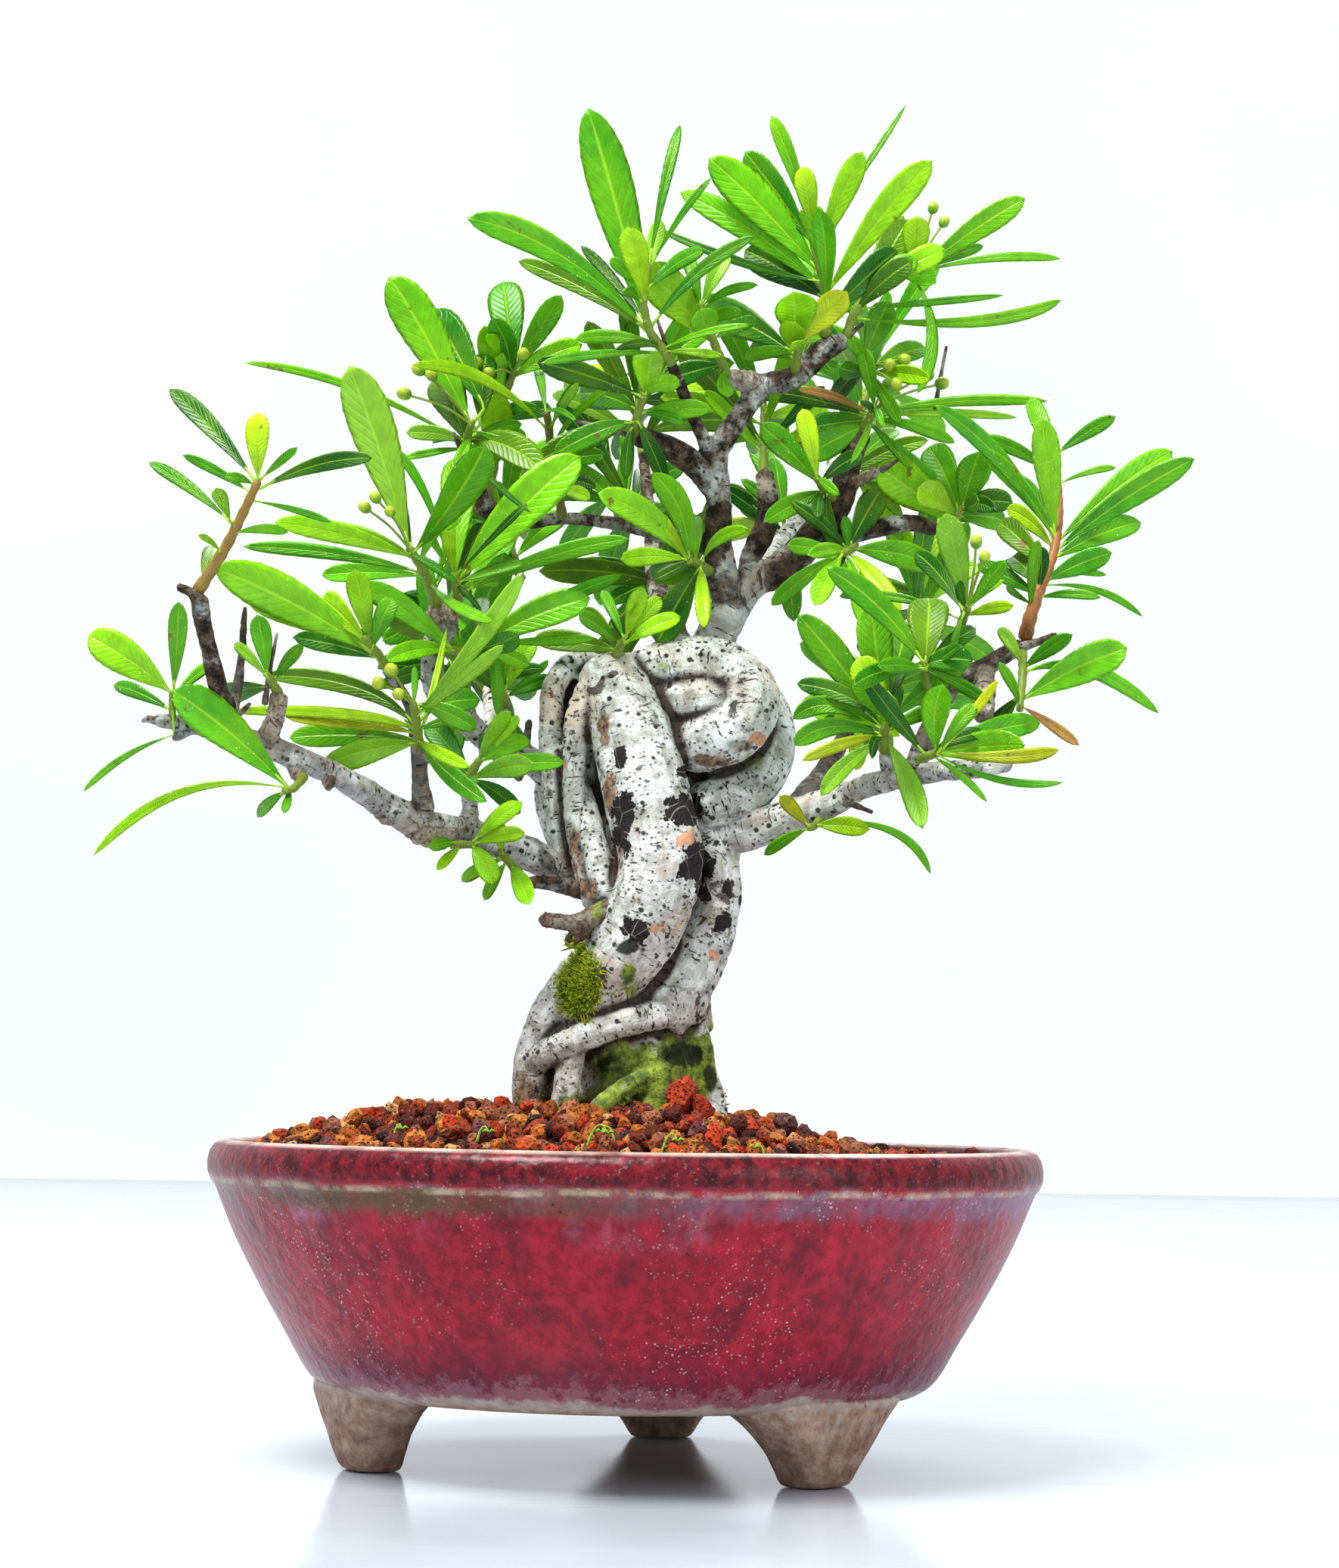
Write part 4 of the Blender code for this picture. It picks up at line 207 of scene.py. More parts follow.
# ---------------------------------------------------------------- the leafy shoots
# stem: (x, y, depth, width).  leaves: (tip x, tip y, base x, base y, width, tone[, via x, via y]).
# Tones: L lime, B bright (partly a lighter green, partly painted light on leaves in front), M middle green, D dark
# (partly a deeper green, partly painted shade on leaves deep in the crown), P pale, O olive, Y yellow, T tan.
SHOOTS = {
    "shoot_left_top": dict(
        stem=[(262, 780, -23, 18), (272, 765, -23, 17), (300, 720, -24, 15), (325, 670, -25, 13), (341, 636, -25, 11)],
        leaves=[(224, 514, 335, 632, 28, "D"), (342, 545, 341, 633, 32, "L"), (393, 591, 346, 632, 12, "M"), (492, 605, 345, 645, 24, "D"), (241, 601, 330, 650, 14, "M"), (298, 630, 335, 640, 14, "M"), (197, 611, 305, 690, 18, "M"), (285, 645, 305, 690, 20, "P"), (438, 690, 335, 662, 10, "M"), (381, 703, 310, 705, 14, "M"), (262, 707, 292, 730, 9, "L"), (285, 722, 268, 770, 22, "O")],
    ),
    "shoot_left_fan": dict(
        stem=[(510, 880, -17, 13), (498, 862, -18, 12), (482, 842, -19, 10)],
        leaves=[(283, 750, 492, 862, 60, "B"), (322, 780, 490, 862, 50, "L"), (387, 842, 500, 870, 28, "D"), (425, 790, 485, 850, 36, "L"), (468, 752, 488, 850, 34, "L"), (520, 790, 492, 858, 28, "M")],
    ),
    "shoot_left_low_tip": dict(
        stem=[(229, 972, -20, 12), (228, 945, -20, 10), (227, 914, -21, 8)],
        leaves=[(100, 818, 227, 965, 55, "M"), (117, 840, 226, 915, 50, "L"), (236, 795, 229, 914, 26, "M"), (284, 876, 229, 925, 16, "M"), (110, 1046, 229, 972, 10, "M", 165, 1000), (150, 905, 228, 940, 20, "D")],
    ),
    "shoot_left_low_mid": dict(
        stem=[(397, 1032, -18, 13), (388, 1042, -19, 11), (376, 1046, -20, 9)],
        leaves=[(228, 912, 380, 1040, 58, "M"), (123, 1131, 380, 1042, 14, "L", 240, 1047), (375, 1075, 384, 1042, 12, "M"), (340, 1080, 378, 1046, 16, "M")],
    ),
    "shoot_left_low_upper": dict(
        stem=[(368, 916, -18, 14), (360, 902, -19, 12), (352, 890, -20, 9)],
        leaves=[(340, 812, 353, 895, 28, "M"), (262, 940, 360, 908, 34, "D"), (400, 850, 360, 900, 18, "M"), (310, 850, 354, 895, 16, "P")],
    ),
    "shoot_left_spur": dict(
        stem=[(553, 984, -16, 15), (551, 960, -18, 13), (546, 928, -20, 10)],
        leaves=[(285, 940, 550, 968, 16, "L", 470, 945), (347, 893, 550, 960, 26, "O", 470, 908), (378, 948, 552, 970, 24, "Y"), (459, 972, 552, 978, 10, "M"), (622, 945, 551, 965, 16, "M"), (635, 925, 549, 940, 34, "D"), (548, 880, 547, 935, 10, "M"), (691, 757, 549, 945, 26, "P", 630, 850), (382, 975, 553, 980, 33, "M"), (427, 1012, 553, 982, 36, "P")],
        buds=[(520, 890), (530, 918), (505, 905)],
    ),
    "shoot_lower_left": dict(
        stem=[(620, 1038, -10, 14), (624, 1020, -11, 13), (634, 1004, -12, 11)],
        leaves=[(565, 955, 622, 1030, 34, "D"), (700, 977, 632, 1008, 26, "M"), (705, 1010, 622, 1030, 32, "B"), (688, 1075, 622, 1030, 24, "D"), (570, 1003, 626, 1018, 9, "M"), (675, 940, 630, 1008, 22, "L")],
    ),
    "shoot_lower_left_under": dict(
        stem=[(600, 1112, -12, 14), (612, 1118, -13, 12), (626, 1116, -14, 10)],
        leaves=[(577, 1150, 610, 1118, 14, "L"), (655, 1168, 624, 1116, 30, "L"), (566, 1120, 604, 1114, 18, "M"), (690, 1060, 626, 1112, 24, "L"), (694, 1100, 626, 1116, 22, "L")],
    ),
    "shoot_lower_twig": dict(
        stem=[(679, 1146, -12, 13), (670, 1136, -13, 11), (660, 1124, -14, 9)],
        leaves=[(655, 1080, 664, 1128, 20, "L"), (610, 1165, 668, 1134, 18, "M"), (700, 1195, 674, 1142, 28, "L"), (640, 1190, 670, 1138, 16, "M")],
    ),
    "shoot_mid_left_outer": dict(
        stem=[(574, 792, -11, 16), (560, 755, -14, 14), (541, 724, -16, 11)],
        leaves=[(462, 483, 541, 724, 62, "P"), (610, 686, 545, 732, 14, "M"), (362, 690, 548, 738, 30, "L"), (430, 695, 546, 734, 20, "P"), (320, 722, 560, 758, 20, "M"), (520, 640, 545, 730, 20, "D"), (425, 760, 562, 762, 26, "M")],
        buds=[(500, 662), (518, 680), (487, 674)],
    ),
    "shoot_mid_left_inner": dict(
        stem=[(606, 792, -12, 15), (604, 778, -13, 13), (601, 760, -14, 11)],
        leaves=[(509, 591, 602, 764, 14, "M", 555, 640), (768, 603, 603, 770, 60, "B"), (832, 712, 606, 786, 24, "M", 720, 737), (660, 772, 604, 778, 14, "M"), (640, 690, 602, 764, 24, "D"), (590, 700, 601, 764, 18, "L")],
    ),
    "shoot_mid_left_low": dict(
        stem=[(593, 858, -10, 13), (615, 860, -14, 12), (648, 846, -16, 10)],
        leaves=[(480, 770, 602, 862, 34, "B"), (780, 790, 622, 860, 45, "B"), (822, 760, 645, 846, 20, "M"), (640, 790, 630, 852, 22, "D"), (700, 880, 635, 852, 24, "M"), (610, 920, 612, 862, 20, "D")],
    ),
    "shoot_upper_left": dict(
        stem=[(620, 598, -6, 14), (618, 580, -7, 12), (624, 556, -8, 10)],
        leaves=[(515, 365, 622, 562, 60, "M"), (580, 497, 618, 588, 52, "O"), (322, 479, 620, 590, 12, "M", 470, 513), (537, 572, 619, 584, 22, "P"), (532, 606, 620, 592, 11, "M"), (570, 410, 640, 540, 54, "D"), (690, 560, 621, 580, 20, "M"), (600, 640, 619, 590, 14, "M")],
        buds=[(558, 492), (574, 500), (540, 522)],
    ),
    "shoot_upper_left_inner": dict(
        stem=[(646, 652, 1, 14), (655, 600, 3, 13), (662, 540, 4, 12), (680, 490, 5, 10)],
        leaves=[(640, 430, 661, 545, 32, "L"), (665, 372, 680, 492, 50, "M"), (742, 390, 678, 495, 32, "M"), (770, 455, 676, 500, 30, "L"), (655, 520, 655, 620, 44, "L"), (730, 540, 660, 560, 24, "D"), (600, 560, 656, 600, 18, "M")],
        buds=[(634, 480), (650, 492), (690, 470)],
    ),
    "shoot_upper_left_olive": dict(
        stem=[(742, 674, 4, 13), (736, 640, 1, 13), (729, 600, -2, 12), (725, 560, -4, 11), (722, 545, -5, 9)],
        leaves=[(545, 482, 727, 572, 18, "L", 640, 502), (710, 480, 722, 548, 14, "M"), (765, 505, 727, 565, 13, "P"), (690, 640, 733, 620, 24, "D"), (800, 600, 731, 610, 24, "M"), (780, 660, 738, 650, 20, "L")],
    ),
    "shoot_centre_upper": dict(
        stem=[(838, 572, -11, 14), (842, 550, -12, 12), (852, 520, -13, 10)],
        leaves=[(705, 612, 842, 556, 36, "O"), (765, 520, 846, 545, 42, "D"), (710, 478, 850, 525, 34, "D"), (862, 462, 853, 525, 46, "L"), (940, 540, 846, 545, 26, "M"), (880, 640, 842, 556, 24, "D")],
    ),
    "shoot_centre": dict(
        stem=[(934, 752, -4, 14), (922, 744, -8, 12), (908, 738, -11, 10)],
        leaves=[(790, 652, 914, 742, 40, "B", 858, 685), (860, 765, 922, 744, 34, "D"), (868, 850, 926, 748, 46, "D"), (820, 740, 910, 740, 26, "L"), (900, 660, 912, 740, 26, "M"), (930, 830, 926, 748, 22, "L")],
    ),
    "shoot_trunk_top": dict(
        stem=[(812, 866, -7, 14), (820, 856, -11, 12), (828, 842, -14, 10)],
        leaves=[(705, 845, 818, 860, 30, "O"), (795, 780, 826, 848, 16, "M"), (850, 776, 827, 844, 26, "L"), (900, 815, 826, 850, 24, "L"), (765, 810, 822, 852, 22, "M")],
    ),
    "shoot_left_mid_inner": dict(
        stem=[(668, 934, -3, 12), (667, 922, -4, 11), (664, 908, -5, 9)],
        leaves=[(672, 835, 665, 912, 30, "M"), (622, 856, 664, 914, 22, "M"), (605, 880, 666, 920, 12, "D"), (706, 845, 667, 914, 26, "L"), (730, 895, 667, 922, 20, "M")],
    ),
    "shoot_top_left": dict(
        stem=[(884, 474, -11, 14), (874, 458, -12, 13), (860, 440, -13, 12), (852, 410, -14, 11), (852, 375, -14, 10), (860, 345, -14, 8)],
        leaves=[(777, 143, 854, 430, 62, "M"), (899, 165, 858, 350, 16, "M"), (617, 288, 856, 436, 40, "M", 738, 335), (685, 345, 858, 440, 24, "O"), (768, 325, 853, 425, 16, "D"), (830, 300, 853, 400, 38, "L"), (873, 290, 856, 360, 24, "P"), (940, 235, 860, 352, 10, "M"), (955, 470, 878, 464, 12, "L"), (760, 448, 872, 456, 20, "M"), (715, 480, 878, 466, 14, "M"), (930, 330, 853, 385, 22, "M")],
    ),
    "shoot_top_centre": dict(
        stem=[(958, 490, -5, 14), (950, 468, -8, 12), (936, 432, -10, 11), (926, 402, -11, 9)],
        leaves=[(850, 352, 945, 456, 58, "L"), (962, 335, 927, 405, 24, "P"), (886, 500, 955, 482, 32, "D"), (905, 330, 928, 410, 20, "M"), (1000, 420, 942, 448, 20, "M")],
    ),
    "shoot_top": dict(
        stem=[(1090, 446, 0, 17), (1095, 420, -1, 16), (1092, 390, -2, 14), (1086, 362, -3, 12), (1076, 325, -4, 11), (1072, 300, -4, 9)],
        leaves=[(937, 208, 1084, 360, 55, "M"), (899, 254, 1090, 382, 36, "M"), (985, 200, 1076, 325, 38, "D"), (865, 300, 1088, 372, 13, "D", 985, 348), (985, 330, 1092, 396, 48, "D"), (1020, 153, 1074, 305, 22, "M"), (1198, 138, 1076, 312, 9, "M", 1130, 240), (1232, 212, 1092, 390, 42, "L"), (1140, 200, 1080, 340, 34, "L"), (1060, 220, 1074, 305, 30, "L")],
    ),
    "shoot_top_right": dict(
        stem=[(1120, 440, 1, 14), (1130, 412, 1, 13), (1152, 388, 1, 12), (1188, 366, 1, 11), (1216, 358, 1, 9)],
        leaves=[(1200, 290, 1140, 400, 44, "O"), (1250, 330, 1152, 388, 34, "L"), (1327, 390, 1135, 408, 11, "M", 1220, 400), (1403, 396, 1128, 420, 18, "M", 1290, 425), (1355, 262, 1214, 360, 36, "M"), (1402, 342, 1216, 360, 13, "M"), (1300, 325, 1216, 358, 16, "M"), (1213, 520, 1205, 362, 18, "M", 1232, 440), (1212, 285, 1208, 360, 38, "L")],
        buds=[(1190, 292), (1245, 298), (1232, 280)],
    ),
    "shoot_top_low": dict(
        stem=[(1052, 482, -4, 13), (1054, 468, -6, 12), (1054, 452, -8, 10)],
        leaves=[(1050, 385, 1054, 455, 58, "L"), (925, 408, 1053, 470, 48, "D"), (1120, 385, 1054, 455, 40, "Y"), (990, 460, 1053, 476, 24, "M")],
    ),
    "shoot_top_right_low": dict(
        stem=[(1128, 458, 2, 13), (1142, 474, 2, 12), (1152, 494, 1, 10)],
        leaves=[(1175, 398, 1142, 474, 38, "M"), (1225, 460, 1150, 490, 30, "M"), (1230, 500, 1152, 494, 26, "L"), (1100, 530, 1148, 484, 24, "D"), (1190, 560, 1152, 494, 20, "M")],
        buds=[(1172, 482), (1190, 476), (1182, 505)],
    ),
    "shoot_right_upper": dict(
        stem=[(1142, 566, 4, 14), (1150, 552, 3, 12), (1156, 538, 2, 10)],
        leaves=[(1062, 605, 1145, 562, 42, "M"), (1055, 515, 1152, 548, 14, "T"), (1385, 530, 1154, 545, 16, "M", 1265, 530), (1345, 552, 1153, 550, 12, "P", 1250, 546), (1205, 620, 1148, 556, 13, "M"), (1262, 585, 1150, 554, 18, "M"), (985, 515, 1152, 550, 28, "D", 1060, 524), (1140, 460, 1156, 540, 24, "M")],
        buds=[(1172, 510), (1240, 508), (1222, 498)],
    ),
    "shoot_right_inner": dict(
        stem=[(1098, 656, 1, 13), (1088, 644, -3, 12), (1080, 632, -6, 10)],
        leaves=[(1005, 560, 1084, 640, 36, "M"), (1060, 540, 1080, 634, 28, "L"), (1010, 690, 1090, 648, 28, "M"), (1140, 600, 1084, 638, 24, "D")],
    ),
    "shoot_right_centre": dict(
        stem=[(1242, 700, 10, 13), (1258, 688, 9, 12), (1274, 670, 8, 10)],
        leaves=[(1160, 615, 1256, 690, 60, "L"), (1228, 590, 1268, 678, 46, "M"), (1296, 596, 1272, 672, 46, "M"), (1330, 690, 1264, 684, 34, "M"), (1262, 780, 1252, 692, 26, "D")],
    ),
    "shoot_right_mid": dict(
        stem=[(1128, 722, 1, 13), (1122, 728, -4, 12), (1112, 732, -7, 10)],
        leaves=[(1165, 648, 1122, 724, 38, "D"), (1235, 748, 1126, 726, 38, "M"), (1076, 800, 1114, 732, 30, "L"), (1020, 800, 1112, 732, 24, "M"), (1040, 720, 1112, 732, 24, "M"), (1190, 810, 1120, 730, 26, "L")],
    ),
    "shoot_right_fork": dict(
        stem=[(1268, 832, -6, 13), (1273, 818, -7, 12), (1280, 802, -8, 10)],
        leaves=[(1250, 678, 1279, 806, 40, "P"), (1145, 790, 1272, 820, 14, "M", 1200, 792), (1330, 740, 1280, 806, 22, "M"), (1210, 730, 1276, 812, 26, "D"), (1340, 800, 1276, 814, 18, "L")],
        buds=[(1290, 722), (1300, 740)],
    ),
    "shoot_right_fork_low": dict(
        stem=[(1232, 922, -9, 13), (1224, 898, -12, 12), (1222, 874, -14, 10)],
        leaves=[(1093, 750, 1222, 878, 36, "M", 1165, 805), (1228, 790, 1223, 880, 56, "O"), (1160, 880, 1223, 884, 22, "M"), (1290, 830, 1223, 884, 24, "D")],
    ),
    "shoot_right_outer": dict(
        stem=[(1356, 838, -4, 20), (1362, 815, -5, 19), (1372, 785, -5, 17), (1384, 755, -5, 15), (1394, 725, -5, 13), (1400, 680, -5, 11), (1398, 630, -5, 9), (1394, 590, -5, 8)],
        leaves=[(1378, 552, 1395, 712, 38, "L"), (1550, 596, 1396, 718, 36, "M"), (1579, 606, 1393, 730, 36, "M"), (1508, 690, 1390, 740, 34, "M"), (1470, 730, 1380, 768, 32, "M"), (1510, 815, 1378, 774, 10, "M", 1450, 780), (1463, 760, 1384, 756, 10, "M"), (1455, 790, 1372, 790, 14, "M"), (1292, 745, 1372, 788, 24, "D"), (1320, 690, 1384, 756, 34, "O"), (1235, 535, 1394, 714, 26, "M", 1322, 608), (1335, 630, 1398, 700, 24, "D"), (1475, 550, 1396, 600, 20, "M"), (1475, 618, 1399, 640, 10, "M"), (1362, 525, 1395, 610, 26, "M"), (1298, 578, 1398, 630, 20, "M")],
    ),
    "shoot_right_low_in": dict(
        stem=[(1170, 986, -12, 14), (1169, 970, -13, 13), (1170, 948, -14, 10)],
        leaves=[(1055, 812, 1169, 962, 44, "M"), (1135, 868, 1169, 960, 44, "L"), (1150, 800, 1170, 955, 48, "M"), (1200, 822, 1170, 952, 42, "D"), (1048, 950, 1169, 966, 26, "M", 1100, 932), (1050, 985, 1169, 972, 28, "M", 1100, 960), (1085, 1052, 1169, 976, 24, "P", 1120, 1010), (1060, 1005, 1169, 972, 18, "Y"), (1220, 1095, 1170, 978, 32, "P", 1200, 1030), (1245, 935, 1169, 968, 20, "M")],
    ),
    "shoot_right_low_out": dict(
        stem=[(1218, 1002, -12, 13), (1230, 998, -14, 12), (1244, 994, -15, 9)],
        leaves=[(1355, 985, 1230, 998, 44, "B"), (1375, 955, 1236, 994, 34, "M"), (1400, 990, 1244, 994, 20, "Y", 1330, 1000), (1305, 1060, 1230, 998, 10, "M"), (1405, 1034, 1238, 996, 11, "M", 1320, 1030), (1290, 930, 1240, 994, 22, "M")],
    ),
    "shoot_right_low_tip": dict(
        stem=[(1352, 868, -6, 12), (1352, 890, -8, 12), (1350, 915, -9, 11), (1348, 938, -10, 9)],
        leaves=[(1490, 856, 1350, 925, 50, "M"), (1532, 943, 1352, 890, 20, "M", 1435, 884), (1418, 838, 1352, 884, 22, "M"), (1320, 830, 1352, 880, 18, "P"), (1427, 985, 1348, 932, 15, "T"), (1290, 985, 1350, 918, 20, "D")],
    ),
    "shoot_right_low_under": dict(
        stem=[(1082, 1086, -9, 12), (1076, 1092, -11, 11), (1068, 1094, -13, 9)],
        leaves=[(1150, 1096, 1078, 1091, 26, "L"), (1230, 1155, 1080, 1090, 12, "M", 1178, 1098), (1030, 1052, 1070, 1093, 20, "Y"), (1010, 1130, 1070, 1094, 16, "M")],
    ),
}

# Shoots on the far side, which a look from the front only shows between the others:
# root on the wood (x, y, depth), direction, number of leaves.
BACK_SHOOTS = [
    ("shoot_back_left_a", (690, 768, 44), (-0.3, 0.5, 0.8), 9),
    ("shoot_back_left_b", (657, 830, 31), (-0.8, 0.5, 0.3), 8),
    ("shoot_back_left_c", (650, 900, 17), (-0.5, 0.8, 0.1), 8),
    ("shoot_back_middle_a", (850, 606, 50), (-0.1, 0.5, 0.9), 9),
    ("shoot_back_middle_b", (860, 690, 41), (-0.6, 0.8, 0.3), 8),
    ("shoot_back_middle_c", (870, 780, 25), (0.3, 0.9, 0.1), 8),
    ("shoot_back_right_a", (1130, 566, 52), (0.3, 0.5, 0.8), 9),
    ("shoot_back_right_b", (1090, 640, 43), (0.7, 0.7, 0.2), 8),
    ("shoot_back_right_c", (1032, 720, 25), (0.1, 0.9, 0.2), 8),
    ("shoot_back_low_a", (1180, 866, 42), (0.5, 0.5, 0.7), 8),
    ("shoot_back_low_b", (1140, 930, 33), (0.1, 0.9, -0.1), 8),
    ("shoot_back_top", (1010, 632, 11), (0.0, 0.6, 0.8), 9),
]
# The canopy seen from the front, as discs on the sheet (x, y, radius).
CANOPY = [(700, 740, 140), (600, 500, 100), (850, 560, 110), (800, 740, 120), (1050, 400, 130), (1160, 340, 90), (1190, 640, 120), (1080, 780, 100), (660, 1000, 90), (1150, 920, 100), (1290, 720, 90), (960, 470, 110), (1340, 640, 80), (560, 840, 100), (680, 560, 100), (1000, 640, 110), (850, 420, 90), (1280, 920, 80), (730, 900, 80)]
# Depth of each tone's leaf tip: the bright tones, partly painted light, sit in front and the dark tone, partly painted
# shade, behind.
TONE_DEPTH = {"L": -7.0, "B": -9.0, "M": 1.0, "D": 11.0, "P": -5.0, "O": 5.0, "Y": 3.0, "T": 2.0}


def smooth_path(points, spacing):
    """Points along a Catmull-Rom curve through these rows, about this far apart."""
    p = np.asarray(points, float)
    if len(p) == 2:
        n = max(2, int(np.linalg.norm(p[1, :3] - p[0, :3]) / spacing) + 1)
        return np.array([p[0] + (p[1] - p[0]) * t for t in np.linspace(0, 1, n)])
    full = np.vstack([2 * p[0] - p[1], p, 2 * p[-1] - p[-2]])
    out = [p[0]]
    for i in range(1, len(full) - 2):
        a, b, c, d = full[i - 1 : i + 3]
        n = max(1, int(round(np.linalg.norm(c[:3] - b[:3]) / spacing)))
        for k in range(1, n + 1):
            t = k / n
            out.append(0.5 * ((2 * b) + (c - a) * t + (2 * a - 5 * b + 4 * c - d) * t * t + (3 * b - a - 3 * c + d) * t**3))
    return np.array(out)


def ease(t):
    t = min(1.0, max(0.0, t))
    return t * t * (3 - 2 * t)


def spread(u, v, depth):
    """Depth of a branch line: the crown opens towards the front as it leaves the trunk."""
    depth *= 1.0 + 1.3 * ease((abs(u - 870) - 150) / 320)
    depth -= 17.0 * ease((u - 1050) / 260) * ease((v - 560) / 240)
    depth -= 12.0 * ease((620 - v) / 200) * ease((1010 - u) / 130)
    return depth


def strand_path(rows, spacing, swell=0.0):
    """(centre points, radii) in mm of a strand from its sheet rows."""
    rows = [(u, v, spread(u, v, y), w) for u, v, y, w in rows]
    p = np.array([[*on_sheet(u, v, y), 0.5 * w * mm_per_unit(y) + swell] for u, v, y, w in rows])
    s = smooth_path(p, spacing)
    if swell:
        for end, inner in ((0, 1), (-1, -2)):
            way = s[end, :3] - s[inner, :3]
            s[end, :3] += way / np.linalg.norm(way) * swell
    return s[:, :3], np.maximum(s[:, 3], 0.3)


# ---------------------------------------------------------------- leaves
def leaf_sections(attach, base, via, tip, width, roll, thick, extra=0.0):
    """Corner points of a leaf: a thin blade with a folded midrib, on its petiole."""
    attach, base, tip = (np.asarray(p, float) for p in (attach, base, tip))
    mid = (base + tip) / 2 if via is None else np.asarray(via, float)
    control = 2 * mid - (base + tip) / 2

    def curve(t):
        return (1 - t) ** 2 * base + 2 * t * (1 - t) * control + t * t * tip

    axis = tip - base
    axis /= np.linalg.norm(axis)
    to_eye = EYE - mid
    normal = to_eye - axis * (to_eye @ axis)
    normal /= np.linalg.norm(normal)
    side = np.cross(axis, normal)
    c, s = math.cos(roll), math.sin(roll)
    side, normal = side * c + normal * s, normal * c - side * s
    rows = []
    if np.linalg.norm(base - attach) > 2.5:
        rows.append((base, 0.9))
    rows += [(curve(0.36), 0.80 * width), (curve(0.74), 0.94 * width)]
    rings = []
    for centre, w in rows:
        h = 0.10 * w
        rings.append([centre - side * (w / 2 + extra) + normal * (h + extra), centre + side * (w / 2 + extra) + normal * (h + extra), centre - normal * (thick + extra)])
    return attach, rings, curve(1.0) + axis * extra


def leaf_faces(attach, rings, tip):
    verts = [attach] + [p for ring in rings for p in ring] + [tip]
    n = len(rings)
    faces = [(0, 1 + (k + 1) % 3, 1 + k) for k in range(3)]
    for i in range(n - 1):
        a, b = 1 + 3 * i, 4 + 3 * i
        for k in range(3):
            j = (k + 1) % 3
            faces += [(a + k, a + j, b + j), (a + k, b + j, b + k)]
    a, t = 1 + 3 * (n - 1), len(verts) - 1
    faces += [(a + k, a + (k + 1) % 3, t) for k in range(3)]
    return verts, faces


def nearest_on(path, point):
    """The stem's nearest point, kept clear of the stem's two ends."""
    best = None
    last = len(path) - 2
    for i, (a, b) in enumerate(zip(path[:-1], path[1:])):
        d = b - a
        inset = 0.7 / np.linalg.norm(d)
        low = min(0.45, inset) if i == 0 else 0.02
        high = 1.0 - (min(0.45, inset) if i == last else 0.02)
        t = min(high, max(low, (point - a) @ d / (d @ d)))
        q = a + d * t
        gap = np.linalg.norm(q - point)
        if best is None or gap < best[0]:
            best = (gap, q)
    return best[1]


def clear_of(tree, box, verts, faces, placed, own):
    """Whether this leaf's hull touches neither the wood nor any other shoot."""
    lo, hi = box
    trial = BVHTree.FromPolygons([Vector(v) for v in verts], faces)
    if tree.overlap(trial):
        return False
    for owner, (lo2, hi2), other in placed:
        if owner == own:
            continue
        if (lo > hi2).any() or (hi < lo2).any():
            continue
        if other.overlap(trial):
            return False
    return True


def box_of(verts):
    v = np.asarray(verts)
    return v.min(axis=0), v.max(axis=0)


def own_clear(trial_verts, faces, own_blades):
    trial = BVHTree.FromPolygons([Vector(v) for v in trial_verts], faces)
    lo, hi = box_of(trial_verts)
    for (lo2, hi2), other in own_blades:
        if (lo > hi2).any() or (hi < lo2).any():
            continue
        if other.overlap(trial):
            return False
    return True


def back_shoot(root, direction, count, seed):
    """Stem and leaf ends, in space, of a shoot on the far side."""
    rng = np.random.default_rng(seed)
    start = on_sheet(root[0], root[1], spread(*root))
    d = np.array(direction, float)
    d /= np.linalg.norm(d)
    length = rng.uniform(13, 18)
    bend = np.array([0, 0, 0.35])
    stem = np.array([start + d * length * t + bend * length * t * t * 0.5 for t in np.linspace(0, 1, 5)])
    a = np.cross(d, [0, 0, 1.0])
    a /= np.linalg.norm(a)
    b = np.cross(a, d)
    leaves = []
    for i in range(count):
        t = 0.30 + 0.70 * i / (count - 1)
        base = stem[0] + (stem[-1] - stem[0]) * t
        turn = i * 2.399 + rng.uniform(-0.3, 0.3)
        lean = rng.uniform(0.35, 0.75) if i < count - 2 else rng.uniform(0.9, 1.2)
        way = (a * math.cos(turn) + b * math.sin(turn)) + d * lean
        way /= np.linalg.norm(way)
        size = rng.uniform(17, 29)
        tip = base + way * size + np.array([0, 0, rng.uniform(-2, 3)])
        width = size * rng.uniform(0.17, 0.25)
        tone = "MDMLDMOM"[int(rng.integers(8))]
        leaves.append((base, tip, width, tone))
    return stem, np.linspace(0.95, 0.6, 5), leaves


